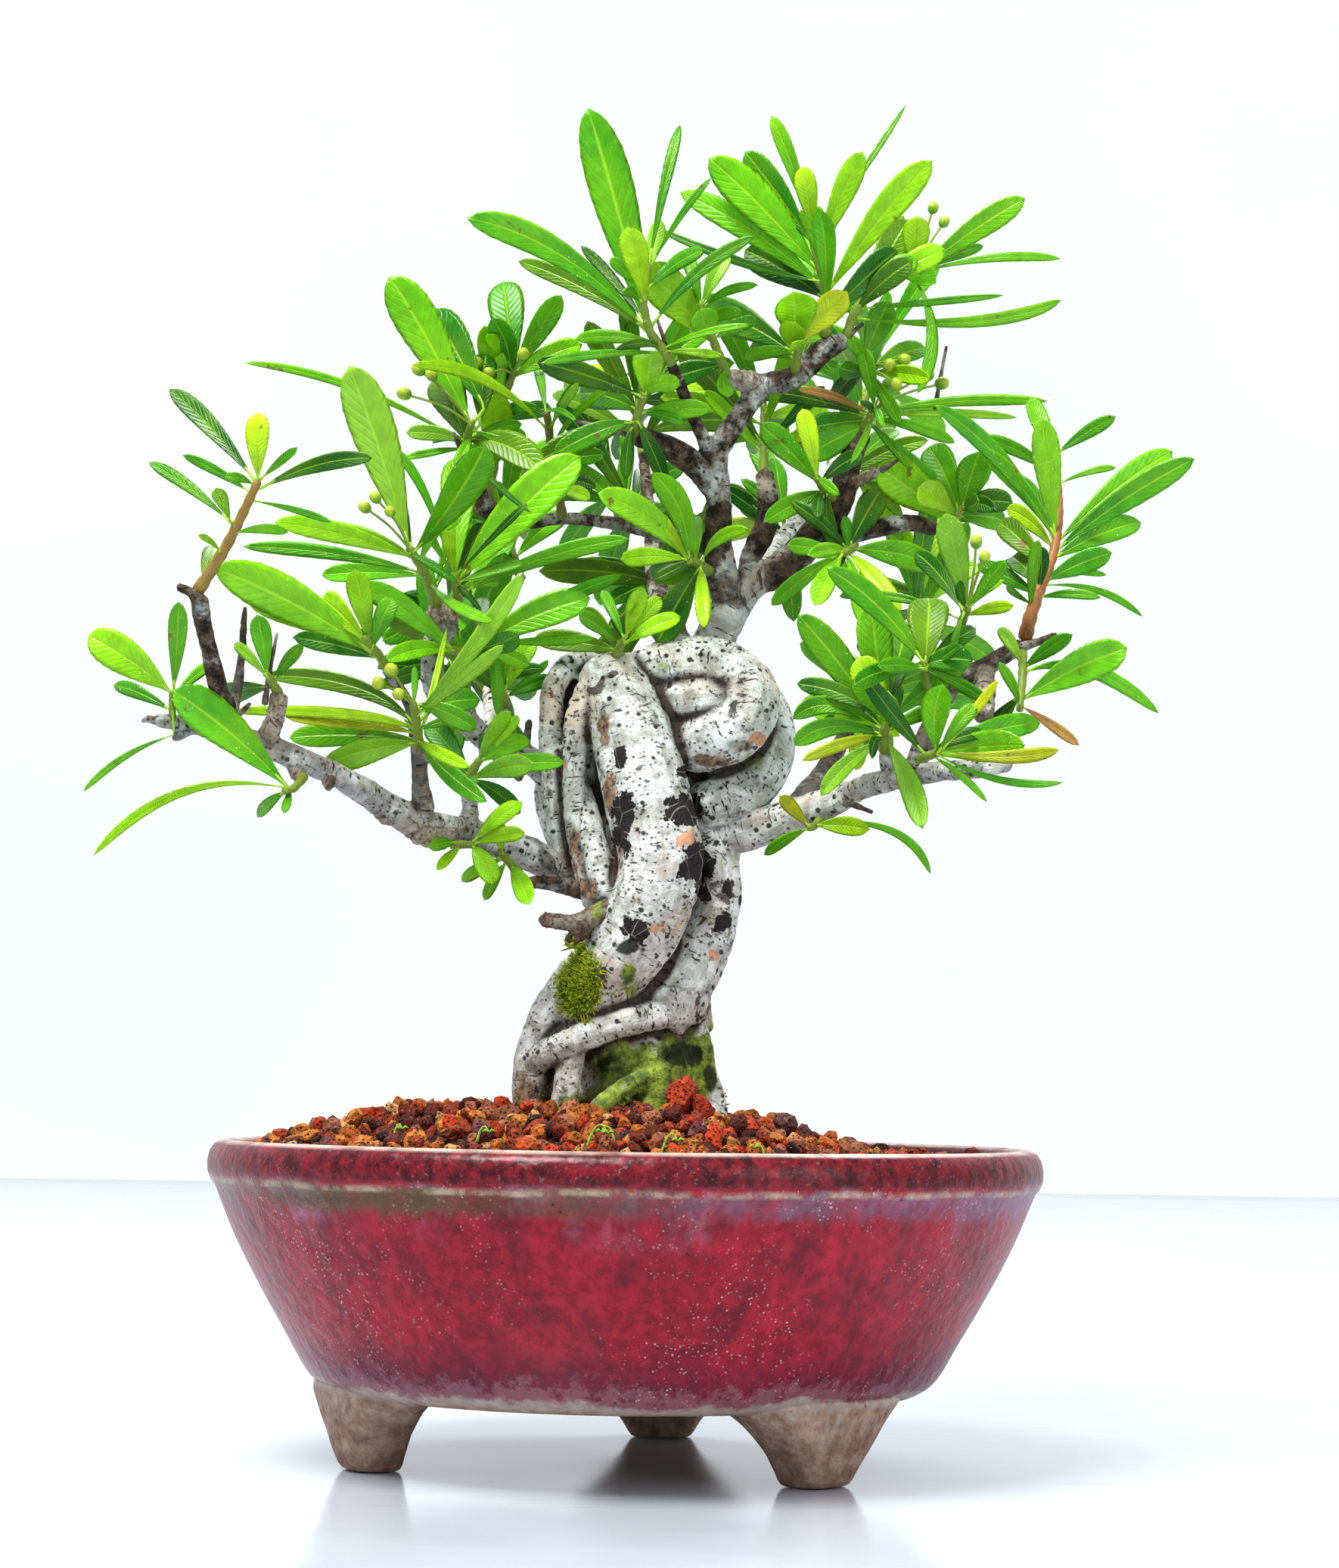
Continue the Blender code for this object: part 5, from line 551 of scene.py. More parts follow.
def layout(wood_tree):
    """Every shoot's stem and leaves in space, each leaf turned until it is clear."""
    stems, plans = {}, {}
    for name, shoot in SHOOTS.items():
        path, radii = strand_path(shoot["stem"], 3.0)
        stems[name] = (path, np.maximum(radii, 0.5))
    back = {}
    for k, (name, root, direction, count) in enumerate(BACK_SHOOTS):
        path, radii, leaves = back_shoot(root, direction, count, 40 + k)
        stems[name] = (path, radii)
        back[name] = leaves
    # Each stem starts where it leaves the wood.
    for name, (path, radii) in stems.items():
        fine = np.linspace(0, len(path) - 1, (len(path) - 1) * 8 + 1)
        pts = np.array([np.interp(fine, range(len(path)), path[:, k]) for k in range(3)]).T
        rad = np.interp(fine, range(len(path)), radii)
        start, run = 0, 0
        for i, (p, r) in enumerate(zip(pts, rad)):
            near, normal, _, gap = wood_tree.find_nearest(Vector(p))
            inside = gap < 3.0 and (Vector(p) - near).dot(normal) < 0
            if inside or gap < r + 0.4:
                start, run = i + 1, 0
            else:
                run += 1
                if run > 16:
                    break
        start = min(start, len(pts) - 6)
        keep = [start] + [i for i in range(start + 1, len(pts)) if i % 8 == 0 and i - start > 3]
        if keep[-1] != len(pts) - 1:
            keep.append(len(pts) - 1)
        stems[name] = (pts[keep], rad[keep])
    placed = []
    for name, (path, radii) in stems.items():
        verts, faces = [], []
        for p, r in zip(path, radii):
            for k in range(6):
                verts.append(p + (r + 0.35) * np.array([math.cos(k * math.pi / 3), 0, math.sin(k * math.pi / 3)]))
        for i in range(len(path) - 1):
            for k in range(6):
                a, b = 6 * i + k, 6 * i + (k + 1) % 6
                faces += [(a, b, b + 6), (a, b + 6, a + 6)]
        verts2 = []
        for i, p in enumerate(path):
            d = path[min(i + 1, len(path) - 1)] - path[max(i - 1, 0)]
            d /= np.linalg.norm(d)
            a = np.cross(d, [0.3, 0.9, 0.1])
            a /= np.linalg.norm(a)
            b = np.cross(d, a)
            for k in range(6):
                t = k * math.pi / 3
                verts2.append(p + (radii[i] + 0.35) * (a * math.cos(t) + b * math.sin(t)))
        placed.append((name, box_of(verts2), BVHTree.FromPolygons([Vector(v) for v in verts2], faces)))
    missed = 0
    for name in stems:
        path, radii = stems[name]
        own, blades = [], []
        if name in SHOOTS:
            rows = SHOOTS[name]["leaves"]
        else:
            rows = back[name]
        for i, row in enumerate(rows):
            done = False
            if name in SHOOTS:
                tu, tv, bu, bv, w, tone = row[:6]
                via2 = row[6:8] if len(row) > 6 else None
                # the stem point whose place on the sheet is nearest to the leaf's base
                flat = np.array([sheet_of(p) for p in path])
                d = np.hypot(flat[:, 0] - bu, flat[:, 1] - bv)
                k = int(d.argmin())
                depth0 = path[k][1]
                prefer = TONE_DEPTH[tone] + 8.0 * math.sin(i * 2.4)
                tries = [0, 4, -4, 8, -8, 12, -12, 17, -17, 22, -22, 27, -27]
                for step in tries:
                    for roll in (0.12, -0.3, 0.45):
                        roll = roll if i % 2 else -roll
                        y1 = depth0 + max(-30.0, min(30.0, prefer + step))
                        base = on_sheet(bu, bv, depth0)
                        attach = nearest_on(path, base)
                        tip = on_sheet(tu, tv, y1)
                        arch = -1.5 if i % 2 else 1.0
                        if via2:
                            via = on_sheet(via2[0], via2[1], depth0 + 0.5 * (y1 - depth0) + arch)
                        else:
                            via = (base + tip) / 2 + np.array([0, arch, 0.04 * np.linalg.norm(tip - base)])
                        width = w * mm_per_unit((depth0 + y1) / 2) / math.cos(roll)
                        done = try_leaf(name, i, attach, base, via, tip, width, roll, tone, wood_tree, placed, own, blades, plans)
                        if done:
                            break
                    if done:
                        break
            else:
                base, tip, width, tone = row
                for step in range(9):
                    c = math.cos(step * 0.35 * (-1) ** step)
                    s = math.sin(step * 0.35 * (-1) ** step)
                    d = tip - base
                    turned = base + np.array([d[0] * c - d[1] * s, d[0] * s + d[1] * c, d[2]])
                    mid = (base + turned) / 2
                    if turned[2] < 85 or not all(any(math.hypot(u - cu, v - cv) < r for cu, cv, r in CANOPY) for u, v in (sheet_of(turned), sheet_of(mid))):
                        continue
                    attach = nearest_on(path, base)
                    via = mid + np.array([0, 0, 0.07 * np.linalg.norm(d)])
                    roll = 0.5 * math.sin(i * 1.7)
                    done = try_leaf(name, i, attach, base, via, turned, width, roll, tone, wood_tree, placed, own, blades, plans)
                    if done:
                        break
            if not done:
                missed += 1
        for item in own:
            placed.append(item)
        # flower buds on thin stalks
        if name in SHOOTS:
            for bu, bv in SHOOTS[name].get("buds", ()):
                for step in (-5, -9, 0, 5, -13, 9, 14):
                    top = on_sheet(bu, bv, path[-1][1] + step)
                    foot = nearest_on(path, top)
                    axis = top - foot
                    side = np.cross(axis, [0, 1.0, 0])
                    side /= np.linalg.norm(side)
                    ring = [top + 1.7 * (side * math.cos(a) + np.array([0, 1.0, 0]) * math.sin(a)) for a in (0, 2.1, 4.2)]
                    verts, faces = leaf_faces(foot, [ring], top + axis / np.linalg.norm(axis) * 2.2)
                    if clear_of(wood_tree, box_of(verts), verts, faces, placed, name) and own_clear(verts, faces, blades):
                        plans.setdefault(name, []).append(dict(kind="bud", top=top, foot=foot))
                        placed.append((name, box_of(verts), BVHTree.FromPolygons([Vector(v) for v in verts], faces)))
                        break
    return stems, plans, missed


def try_leaf(name, index, attach, base, via, tip, width, roll, tone, wood_tree, placed, own, blades, plans):
    a, rings, t = leaf_sections(attach, base, via, tip, width, roll, 0.55, 0.4)
    verts, faces = leaf_faces(a, rings, t)
    box = box_of(verts)
    if not clear_of(wood_tree, box, verts, faces, placed, name):
        return False
    # the blade past its narrow base is clear of this shoot's other blades too
    a2, rings2, t2 = leaf_sections(attach, base, via, tip, width, roll, 0.3, 0.0)
    inner = rings2[-2:]
    start = np.mean(inner[0], axis=0) * 0.8 + np.asarray(base) * 0.2
    v2, f2 = leaf_faces(start, inner, t2)
    if not own_clear(v2, f2, blades):
        return False
    own.append((name, box, BVHTree.FromPolygons([Vector(v) for v in verts], faces)))
    blades.append((box_of(v2), BVHTree.FromPolygons([Vector(v) for v in v2], f2)))
    plans.setdefault(name, []).append(dict(kind="leaf", attach=attach, base=base, via=via, tip=tip, width=width, roll=roll, tone=tone))
    return True


# ---------------------------------------------------------------- the pot
POT_PROFILE = [(0, 20.0), (44, 20.0), (50.5, 21.4), (55, 25.2), (59.5, 31.5), (63.2, 38.5), (66.2, 45.0), (68.6, 50.6), (69.6, 53.6), (70.2, 55.5), (71.2, 56.5), (72.4, 56.7), (73.7, 56.1), (74.7, 54.6), (75.1, 52.0), (73.6, 48.2), (69.2, 38.1), (63.6, 27.6), (58.4, 18.8), (56.4, 15.6), (53.6, 13.6), (50.0, 12.8), (0, 12.6)]


def inner_radius(z):
    """Radius of the pot's inner wall at this height."""
    wall = [(r, h) for r, h in POT_PROFILE[1:12]]
    return float(np.interp(z, [h for _, h in wall], [r for r, _ in wall]))


def soil_height(x, y):
    """Height of the soil's top: a low mound that rises towards the trunk."""
    d = math.hypot(x + 12.0, y * 0.95)
    t = min(1.0, max(0.0, (d - 24.0) / 42.0))
    t = t * t * (3 - 2 * t)
    bumps = 0.5 * math.sin(0.31 * x + 1.0) * math.cos(0.27 * y) + 0.35 * math.sin(0.71 * x - 0.53 * y)
    return 54.6 + 8.0 * (1 - t) + bumps * 0.7


# ================================================================ helpers
def lin(r, g, b):
    """Linear colour of an 8-bit display colour."""
    out = []
    for c in (r, g, b):
        c /= 255.0
        out.append(c / 12.92 if c <= 0.04045 else ((c + 0.055) / 1.055) ** 2.4)
    return np.array(out)


class Cloth:
    """Collects vertices, faces and point or face attributes for one mesh object."""

    def __init__(self):
        self.v, self.f, self.n = [], [], 0
        self.point = {}
        self.face = {}

    def add(self, verts, faces, point=None, face=None):
        verts = np.asarray(verts, float)
        self.v.append(verts)
        for f in faces:
            self.f.append(tuple(i + self.n for i in f))
        self.n += len(verts)
        for key, value in (point or {}).items():
            value = np.asarray(value, float)
            self.point.setdefault(key, []).append(value)
        for key, value in (face or {}).items():
            self.face.setdefault(key, []).append(np.asarray(value, float))

    def make(self, name, mat, smooth=True):
        mesh = bpy.data.meshes.new(name)
        verts = np.concatenate(self.v)
        mesh.from_pydata(world(verts).tolist(), [], self.f)
        for kind, domain in ((self.point, "POINT"), (self.face, "FACE")):
            for key, values in kind.items():
                data = np.concatenate(values).astype(np.float32)
                if data.ndim == 1:
                    mesh.attributes.new(key, "FLOAT", domain).data.foreach_set("value", data)
                elif key.startswith("col"):
                    rgba = np.concatenate([data, np.ones((len(data), 1), np.float32)], axis=1)
                    mesh.attributes.new(key, "FLOAT_COLOR", domain).data.foreach_set("color", rgba.ravel())
                else:
                    mesh.attributes.new(key, "FLOAT_VECTOR", domain).data.foreach_set("vector", data.ravel())
        obj = bpy.data.objects.new(name, mesh)
        bpy.context.scene.collection.objects.link(obj)
        mesh.materials.append(mat)
        if smooth:
            mesh.shade_smooth()
        return obj


def own(obj, slot, *nodes):
    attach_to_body(obj, "root")
    if nodes:
        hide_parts(*nodes)
    return obj


def tube(cloth, path, radii, sides, point=None, closed_round=True, twist=0.0):
    """A closed tube with rounded ends along these points."""
    path, radii = np.asarray(path, float), np.asarray(radii, float)
    d = np.gradient(path, axis=0)
    d /= np.linalg.norm(d, axis=1)[:, None] + 1e-12
    a = np.cross(d[0], [0.3, 0.9, 0.2])
    a /= np.linalg.norm(a)
    rings = []
    for i in range(len(path)):
        a = a - d[i] * (a @ d[i])
        a /= np.linalg.norm(a)
        b = np.cross(d[i], a)
        t = np.arange(sides) * 2 * math.pi / sides
        rings.append(path[i] + radii[i] * (np.cos(t)[:, None] * a + np.sin(t)[:, None] * b))
    verts = [path[0] - d[0] * radii[0] * 0.6] + [p for ring in rings for p in ring] + [path[-1] + d[-1] * radii[-1] * 0.6]
    faces = []
    n = len(path)
    for k in range(sides):
        j = (k + 1) % sides
        faces.append((0, 1 + j, 1 + k))
        faces.append((1 + (n - 1) * sides + k, 1 + (n - 1) * sides + j, 1 + n * sides))
        for i in range(n - 1):
            q = 1 + i * sides
            faces.append((q + k, q + j, q + sides + j, q + sides + k))
    values = {key: np.repeat(np.asarray(value, float)[None, :] if np.ndim(value) else np.array([value]), len(verts), axis=0) for key, value in (point or {}).items()}
    cloth.add(verts, faces, values)


# ================================================================ node helpers
class Nodes:
    """Short names for building a material's node tree."""

    def __init__(self, name):
        self.mat = bpy.data.materials.new(name)
        self.mat.use_nodes = True
        self.tree = self.mat.node_tree
        self.tree.nodes.clear()
        self.out = self.tree.nodes.new("ShaderNodeOutputMaterial")
        self.shader = self.tree.nodes.new("ShaderNodeBsdfPrincipled")
        self.tree.links.new(self.shader.outputs[0], self.out.inputs[0])
        self.coord = None

    def node(self, kind, **values):
        n = self.tree.nodes.new("ShaderNode" + kind)
        for key, value in values.items():
            setattr(n, key, value)
        return n

    def link(self, a, b):
        self.tree.links.new(a, b)

    def position(self):
        if self.coord is None:
            self.coord = self.node("TexCoord").outputs["Object"]
        return self.coord

    def attribute(self, name, out="Fac"):
        n = self.node("Attribute")
        n.attribute_name = name
        return n.outputs[out]

    def scaled(self, vector, x, y, z):
        n = self.node("Mapping")
        n.inputs["Scale"].default_value = (x, y, z)
        self.link(vector, n.inputs["Vector"])
        return n.outputs[0]

    def noise(self, scale, detail=4.0, rough=0.55, vector=None, distortion=0.0):
        n = self.node("TexNoise")
        n.inputs["Scale"].default_value = scale
        n.inputs["Detail"].default_value = detail
        n.inputs["Roughness"].default_value = rough
        n.inputs["Distortion"].default_value = distortion
        self.link(vector or self.position(), n.inputs["Vector"])
        return n.outputs["Fac"]

    def voronoi(self, scale, vector=None, feature="F1", randomness=1.0, out="Distance"):
        n = self.node("TexVoronoi", feature=feature)
        n.inputs["Scale"].default_value = scale
        n.inputs["Randomness"].default_value = randomness
        self.link(vector or self.position(), n.inputs["Vector"])
        return n.outputs[out]

    def ramp(self, value, *stops, mode="LINEAR"):
        n = self.node("ValToRGB")
        n.color_ramp.interpolation = mode
        el = n.color_ramp.elements
        while len(el) < len(stops):
            el.new(0.5)
        for e, (p, c) in zip(el, stops):
            e.position = p
            e.color = (c, c, c, 1) if np.ndim(c) == 0 else (*c, 1)
        self.link(value, n.inputs[0])
        return n.outputs[0]

    def math(self, op, a, b=None, c=None, clamp=False):
        n = self.node("Math", operation=op, use_clamp=clamp)
        for i, x in enumerate((a, b, c)):
            if x is None:
                continue
            if isinstance(x, (int, float)):
                n.inputs[i].default_value = x
            else:
                self.link(x, n.inputs[i])
        return n.outputs[0]

    def mix(self, fac, a, b, mode="MIX"):
        n = self.node("Mix", data_type="RGBA", blend_type=mode, clamp_factor=True)
        for socket, x in ((n.inputs[0], fac), (n.inputs[6], a), (n.inputs[7], b)):
            if isinstance(x, (int, float)):
                socket.default_value = x
            elif isinstance(x, (tuple, list, np.ndarray)):
                socket.default_value = (*x, 1)
            else:
                self.link(x, socket)
        return n.outputs[2]

    def split(self, vector):
        n = self.node("SeparateXYZ")
        self.link(vector, n.inputs[0])
        return n.outputs

    def bump(self, height, strength, distance, normal=None):
        n = self.node("Bump")
        n.inputs["Strength"].default_value = strength
        n.inputs["Distance"].default_value = distance
        self.link(height, n.inputs["Height"])
        if normal is not None:
            self.link(normal, n.inputs["Normal"])
        return n.outputs[0]

    def set(self, **values):
        for key, value in values.items():
            socket = self.shader.inputs[key.replace("_", " ")]
            if isinstance(value, (int, float)):
                socket.default_value = value
            elif isinstance(value, (tuple, list, np.ndarray)):
                socket.default_value = (*value, 1) if socket.type == "RGBA" else tuple(value)
            else:
                self.link(value, socket)
        return self


# ================================================================ materials
def leaf_material():
    m = Nodes("leaf_blade")
    tint = m.attribute("col_tint", "Color")
    across = m.attribute("across")
    along = m.attribute("along")
    under = m.attribute("under")
    away = m.math("ABSOLUTE", across)
    rib = m.math("SMOOTH_MIN", 1.0, m.math("MULTIPLY", away, 9.0), 0.3)
    # side veins run forward from the midrib
    phase = m.math("ADD", m.math("MULTIPLY", along, 88.0), m.math("MULTIPLY", away, -16.0))
    veins = m.math("MULTIPLY", m.math("ADD", m.math("SINE", phase), 1.0), 0.5)
    veins = m.math("POWER", veins, 5.0)
    mottled = m.noise(420.0, 3.0, 0.6)
    broad = m.noise(90.0, 2.0, 0.5)
    colour = m.mix(m.ramp(mottled, (0.35, 0.0), (0.75, 1.0)), m.mix(0.55, tint, (0.0, 0.03, 0.0), "MIX"), tint)
    colour = m.mix(0.45, colour, tint)
    colour = m.mix(m.math("MULTIPLY", m.ramp(broad, (0.42, 0.0), (0.64, 1.0)), 0.16), colour, lin(176, 220, 30))
    colour = m.mix(m.math("MULTIPLY", veins, 0.025), colour, lin(200, 225, 120))
    colour = m.mix(m.math("MULTIPLY", m.math("SUBTRACT", 1.0, rib), 0.55), colour, lin(184, 226, 50))
    specks = m.ramp(m.voronoi(900.0), (0.05, 1.0), (0.14, 0.0))
    spotted = m.ramp(m.noise(160.0, 2.0), (0.52, 0.0), (0.60, 1.0))
    colour = m.mix(m.math("MULTIPLY", m.math("MULTIPLY", specks, spotted), 0.85), colour, lin(236, 246, 206))
    brown = m.math("MULTIPLY", m.ramp(m.noise(260.0, 3.0), (0.70, 0.0), (0.73, 1.0)), 0.75)
    colour = m.mix(brown, colour, lin(120, 80, 30))
    edge = m.ramp(away, (0.90, 0.0), (1.0, 1.0))
    colour = m.mix(m.math("MULTIPLY", edge, 0.25), colour, lin(192, 222, 30))
    pale = m.mix(0.30, colour, lin(160, 206, 50))
    colour = m.mix(under, colour, pale)
    height = m.math("ADD", m.math("MULTIPLY", rib, 0.7), m.math("MULTIPLY", veins, -0.25))
    height = m.math("ADD", height, m.math("MULTIPLY", m.noise(700.0, 3.0), 0.35))
    m.set(Base_Color=colour, Roughness=m.math("ADD", m.math("MULTIPLY", m.noise(300.0), 0.26), 0.20), Specular_IOR_Level=0.42, Subsurface_Weight=0.10, Subsurface_Scale=0.0006, Subsurface_Radius=(0.5, 1.0, 0.1), Normal=m.bump(height, 0.55, 0.0004))
    return m.mat


def stem_material():
    m = Nodes("green_stem")
    tint = m.attribute("col_tint", "Color")
    n1 = m.noise(500.0, 4.0)
    colour = m.mix(m.ramp(n1, (0.35, 0.0), (0.7, 1.0)), m.mix(0.35, tint, lin(90, 60, 30)), tint)
    dots = m.ramp(m.voronoi(1400.0), (0.08, 1.0), (0.2, 0.0))
    colour = m.mix(m.math("MULTIPLY", dots, 0.4), colour, lin(215, 215, 180))
    m.set(Base_Color=colour, Roughness=0.5, Subsurface_Weight=0.1, Subsurface_Scale=0.0006, Normal=m.bump(n1, 0.4, 0.0002))
    return m.mat


def bark_material():
    m = Nodes("bark")
    grain = m.attribute("grain", "Vector")
    cavity = m.attribute("cavity")
    wet = m.attribute("algae")
    bare = m.attribute("bare")
    long_noise = m.noise(1.0, 5.0, 0.62, m.scaled(grain, 0.16, 0.9, 0.9))
    cross_noise = m.noise(1.0, 4.0, 0.6, m.scaled(grain, 1.5, 0.26, 0.4))
    fine = m.noise(1500.0, 4.0, 0.6)
    mid = m.noise(260.0, 5.0, 0.6, distortion=0.6)
    broad = m.noise(70.0, 3.0, 0.5)
    twig = m.attribute("twig")
    pale, grey, tan, brown, dark = lin(236, 238, 235), lin(170, 170, 162), lin(196, 166, 128), lin(120, 92, 70), lin(18, 15, 14)
    colour = m.mix(m.ramp(mid, (0.36, 0.0), (0.60, 1.0)), grey, pale)
    colour = m.mix(m.math("MULTIPLY", m.ramp(broad, (0.54, 0.0), (0.72, 1.0)), 0.55), colour, tan)
    colour = m.mix(m.math("MULTIPLY", m.ramp(long_noise, (0.56, 0.0), (0.66, 1.0)), 0.35), colour, brown)
    # lenticels: short dashes across the strand, pale with dark lips
    dashes = m.ramp(cross_noise, (0.60, 0.0), (0.645, 1.0))
    colour = m.mix(m.math("MULTIPLY", dashes, 0.6), colour, lin(240, 240, 240))
    lips = m.ramp(cross_noise, (0.345, 1.0), (0.385, 0.0))
    colour = m.mix(m.math("MULTIPLY", lips, 0.9), colour, dark)
    cell = m.voronoi(430.0)
    specks = m.math("MULTIPLY", m.ramp(cell, (0.15, 1.0), (0.25, 0.0)), m.ramp(m.noise(160.0, 2.0), (0.42, 0.0), (0.50, 1.0)))
    colour = m.mix(m.math("MULTIPLY", specks, 0.92), colour, dark)
    dots = m.math("MULTIPLY", m.ramp(m.voronoi(900.0), (0.14, 1.0), (0.28, 0.0)), m.ramp(m.noise(120.0, 2.0), (0.34, 0.0), (0.46, 1.0)))
    colour = m.mix(m.math("MULTIPLY", dots, 0.8), colour, lin(48, 42, 40))
    flakes = m.math("MULTIPLY", m.ramp(m.noise(170.0, 6.0, 0.7, distortion=1.2), (0.60, 0.0), (0.625, 1.0)), m.ramp(broad, (0.46, 0.0), (0.54, 1.0)))
    colour = m.mix(m.math("MULTIPLY", flakes, 0.85), colour, lin(58, 44, 36))
    rust = m.ramp(m.math("ADD", m.attribute("rust"), m.math("MULTIPLY", m.math("SUBTRACT", m.noise(300.0, 5.0, 0.7), 0.5), 1.5)), (0.50, 0.0), (0.72, 1.0))
    rust_colour = m.mix(m.ramp(m.noise(700.0, 4.0, 0.7), (0.42, 0.0), (0.58, 1.0)), lin(60, 38, 28), lin(176, 132, 94))
    colour = m.mix(m.math("MULTIPLY", rust, 0.85), colour, rust_colour)
    # flaking plates: black, crazed with pale cracks
    plate = m.attribute("plate")
    jag = m.math("ADD", plate, m.math("MULTIPLY", m.math("SUBTRACT", m.noise(330.0, 3.0, 0.7), 0.5), 1.3))
    plates = m.ramp(jag, (0.47, 0.0), (0.50, 1.0))
    cracks = m.math("MULTIPLY", m.ramp(m.voronoi(230.0, feature="DISTANCE_TO_EDGE"), (0.008, 1.0), (0.03, 0.0)), m.ramp(m.noise(300.0, 3.0), (0.42, 0.2), (0.56, 1.0)))
    colour = m.mix(plates, colour, m.mix(cracks, m.mix(fine, lin(26, 23, 24), lin(62, 57, 58)), lin(150, 140, 132)))
    scar = m.attribute("scar")
    scars = m.ramp(m.math("ADD", scar, m.math("MULTIPLY", m.math("SUBTRACT", m.noise(260.0, 3.0, 0.6), 0.5), 1.5)), (0.56, 0.0), (0.66, 1.0))
    colour = m.mix(m.math("MULTIPLY", scars, 0.85), colour, m.mix(fine, lin(196, 112, 66), lin(236, 190, 150)))
    # older, darker twigs keep only scraps of the pale skin
    twig_skin = m.mix(m.ramp(m.noise(420.0, 5.0, 0.7), (0.42, 0.0), (0.64, 1.0)), lin(34, 24, 18), lin(116, 96, 78))
    scraps = m.ramp(m.noise(150.0, 4.0, 0.65), (0.50, 1.0), (0.64, 0.35))
    colour = m.mix(m.math("MULTIPLY", twig, scraps), colour, twig_skin)
    # painted shade: the bark turns deep brown where a point lies deep in a hollow (its cavity value)
    groove = m.ramp(cavity, (0.06, 0.0), (0.40, 1.0))
    colour = m.mix(m.math("MULTIPLY", groove, 0.92), colour, lin(52, 36, 26))
    knobs = m.mix(m.ramp(fine, (0.4, 0.0), (0.6, 1.0)), lin(112, 84, 60), lin(196, 176, 150))
    colour = m.mix(m.math("MULTIPLY", bare, 0.75), colour, knobs)
    green = m.mix(m.ramp(m.noise(400.0, 3.0), (0.35, 0.0), (0.65, 1.0)), lin(72, 96, 14), lin(172, 194, 60))
    mask = m.ramp(m.math("ADD", wet, m.math("MULTIPLY", m.math("SUBTRACT", m.noise(190.0, 5.0, 0.7), 0.5), 1.5)), (0.46, 0.0), (0.72, 1.0))
    colour = m.mix(m.math("MULTIPLY", mask, 0.92), colour, green)
    # near-black olive patches at the listed places on the front of the wood
    dark_olive_mask = m.ramp(m.math("ADD", m.attribute("dark_olive"), m.math("MULTIPLY", m.math("SUBTRACT", m.noise(240.0, 5.0, 0.7), 0.5), 1.4)), (0.55, 0.0), (0.75, 1.0))
    colour = m.mix(m.math("MULTIPLY", dark_olive_mask, 0.9), colour, lin(24, 28, 14))
    height = m.math("ADD", m.math("MULTIPLY", mid, 0.7), m.math("MULTIPLY", fine, 0.25))
    height = m.math("ADD", height, m.math("MULTIPLY", dashes, 0.30))
    height = m.math("ADD", height, m.math("MULTIPLY", lips, -0.5))
    height = m.math("ADD", height, m.math("MULTIPLY", flakes, -0.4))
    height = m.math("ADD", height, m.math("MULTIPLY", long_noise, 0.8))
    height = m.math("ADD", height, m.math("MULTIPLY", m.math("ADD", specks, dots), -0.5))
    height = m.math("ADD", height, m.math("MULTIPLY", plates, 0.5))
    m.set(Base_Color=colour, Roughness=m.math("ADD", m.math("MULTIPLY", mid, 0.25), 0.62), Specular_IOR_Level=0.35, Normal=m.bump(height, 0.75, 0.0006))
    return m.mat


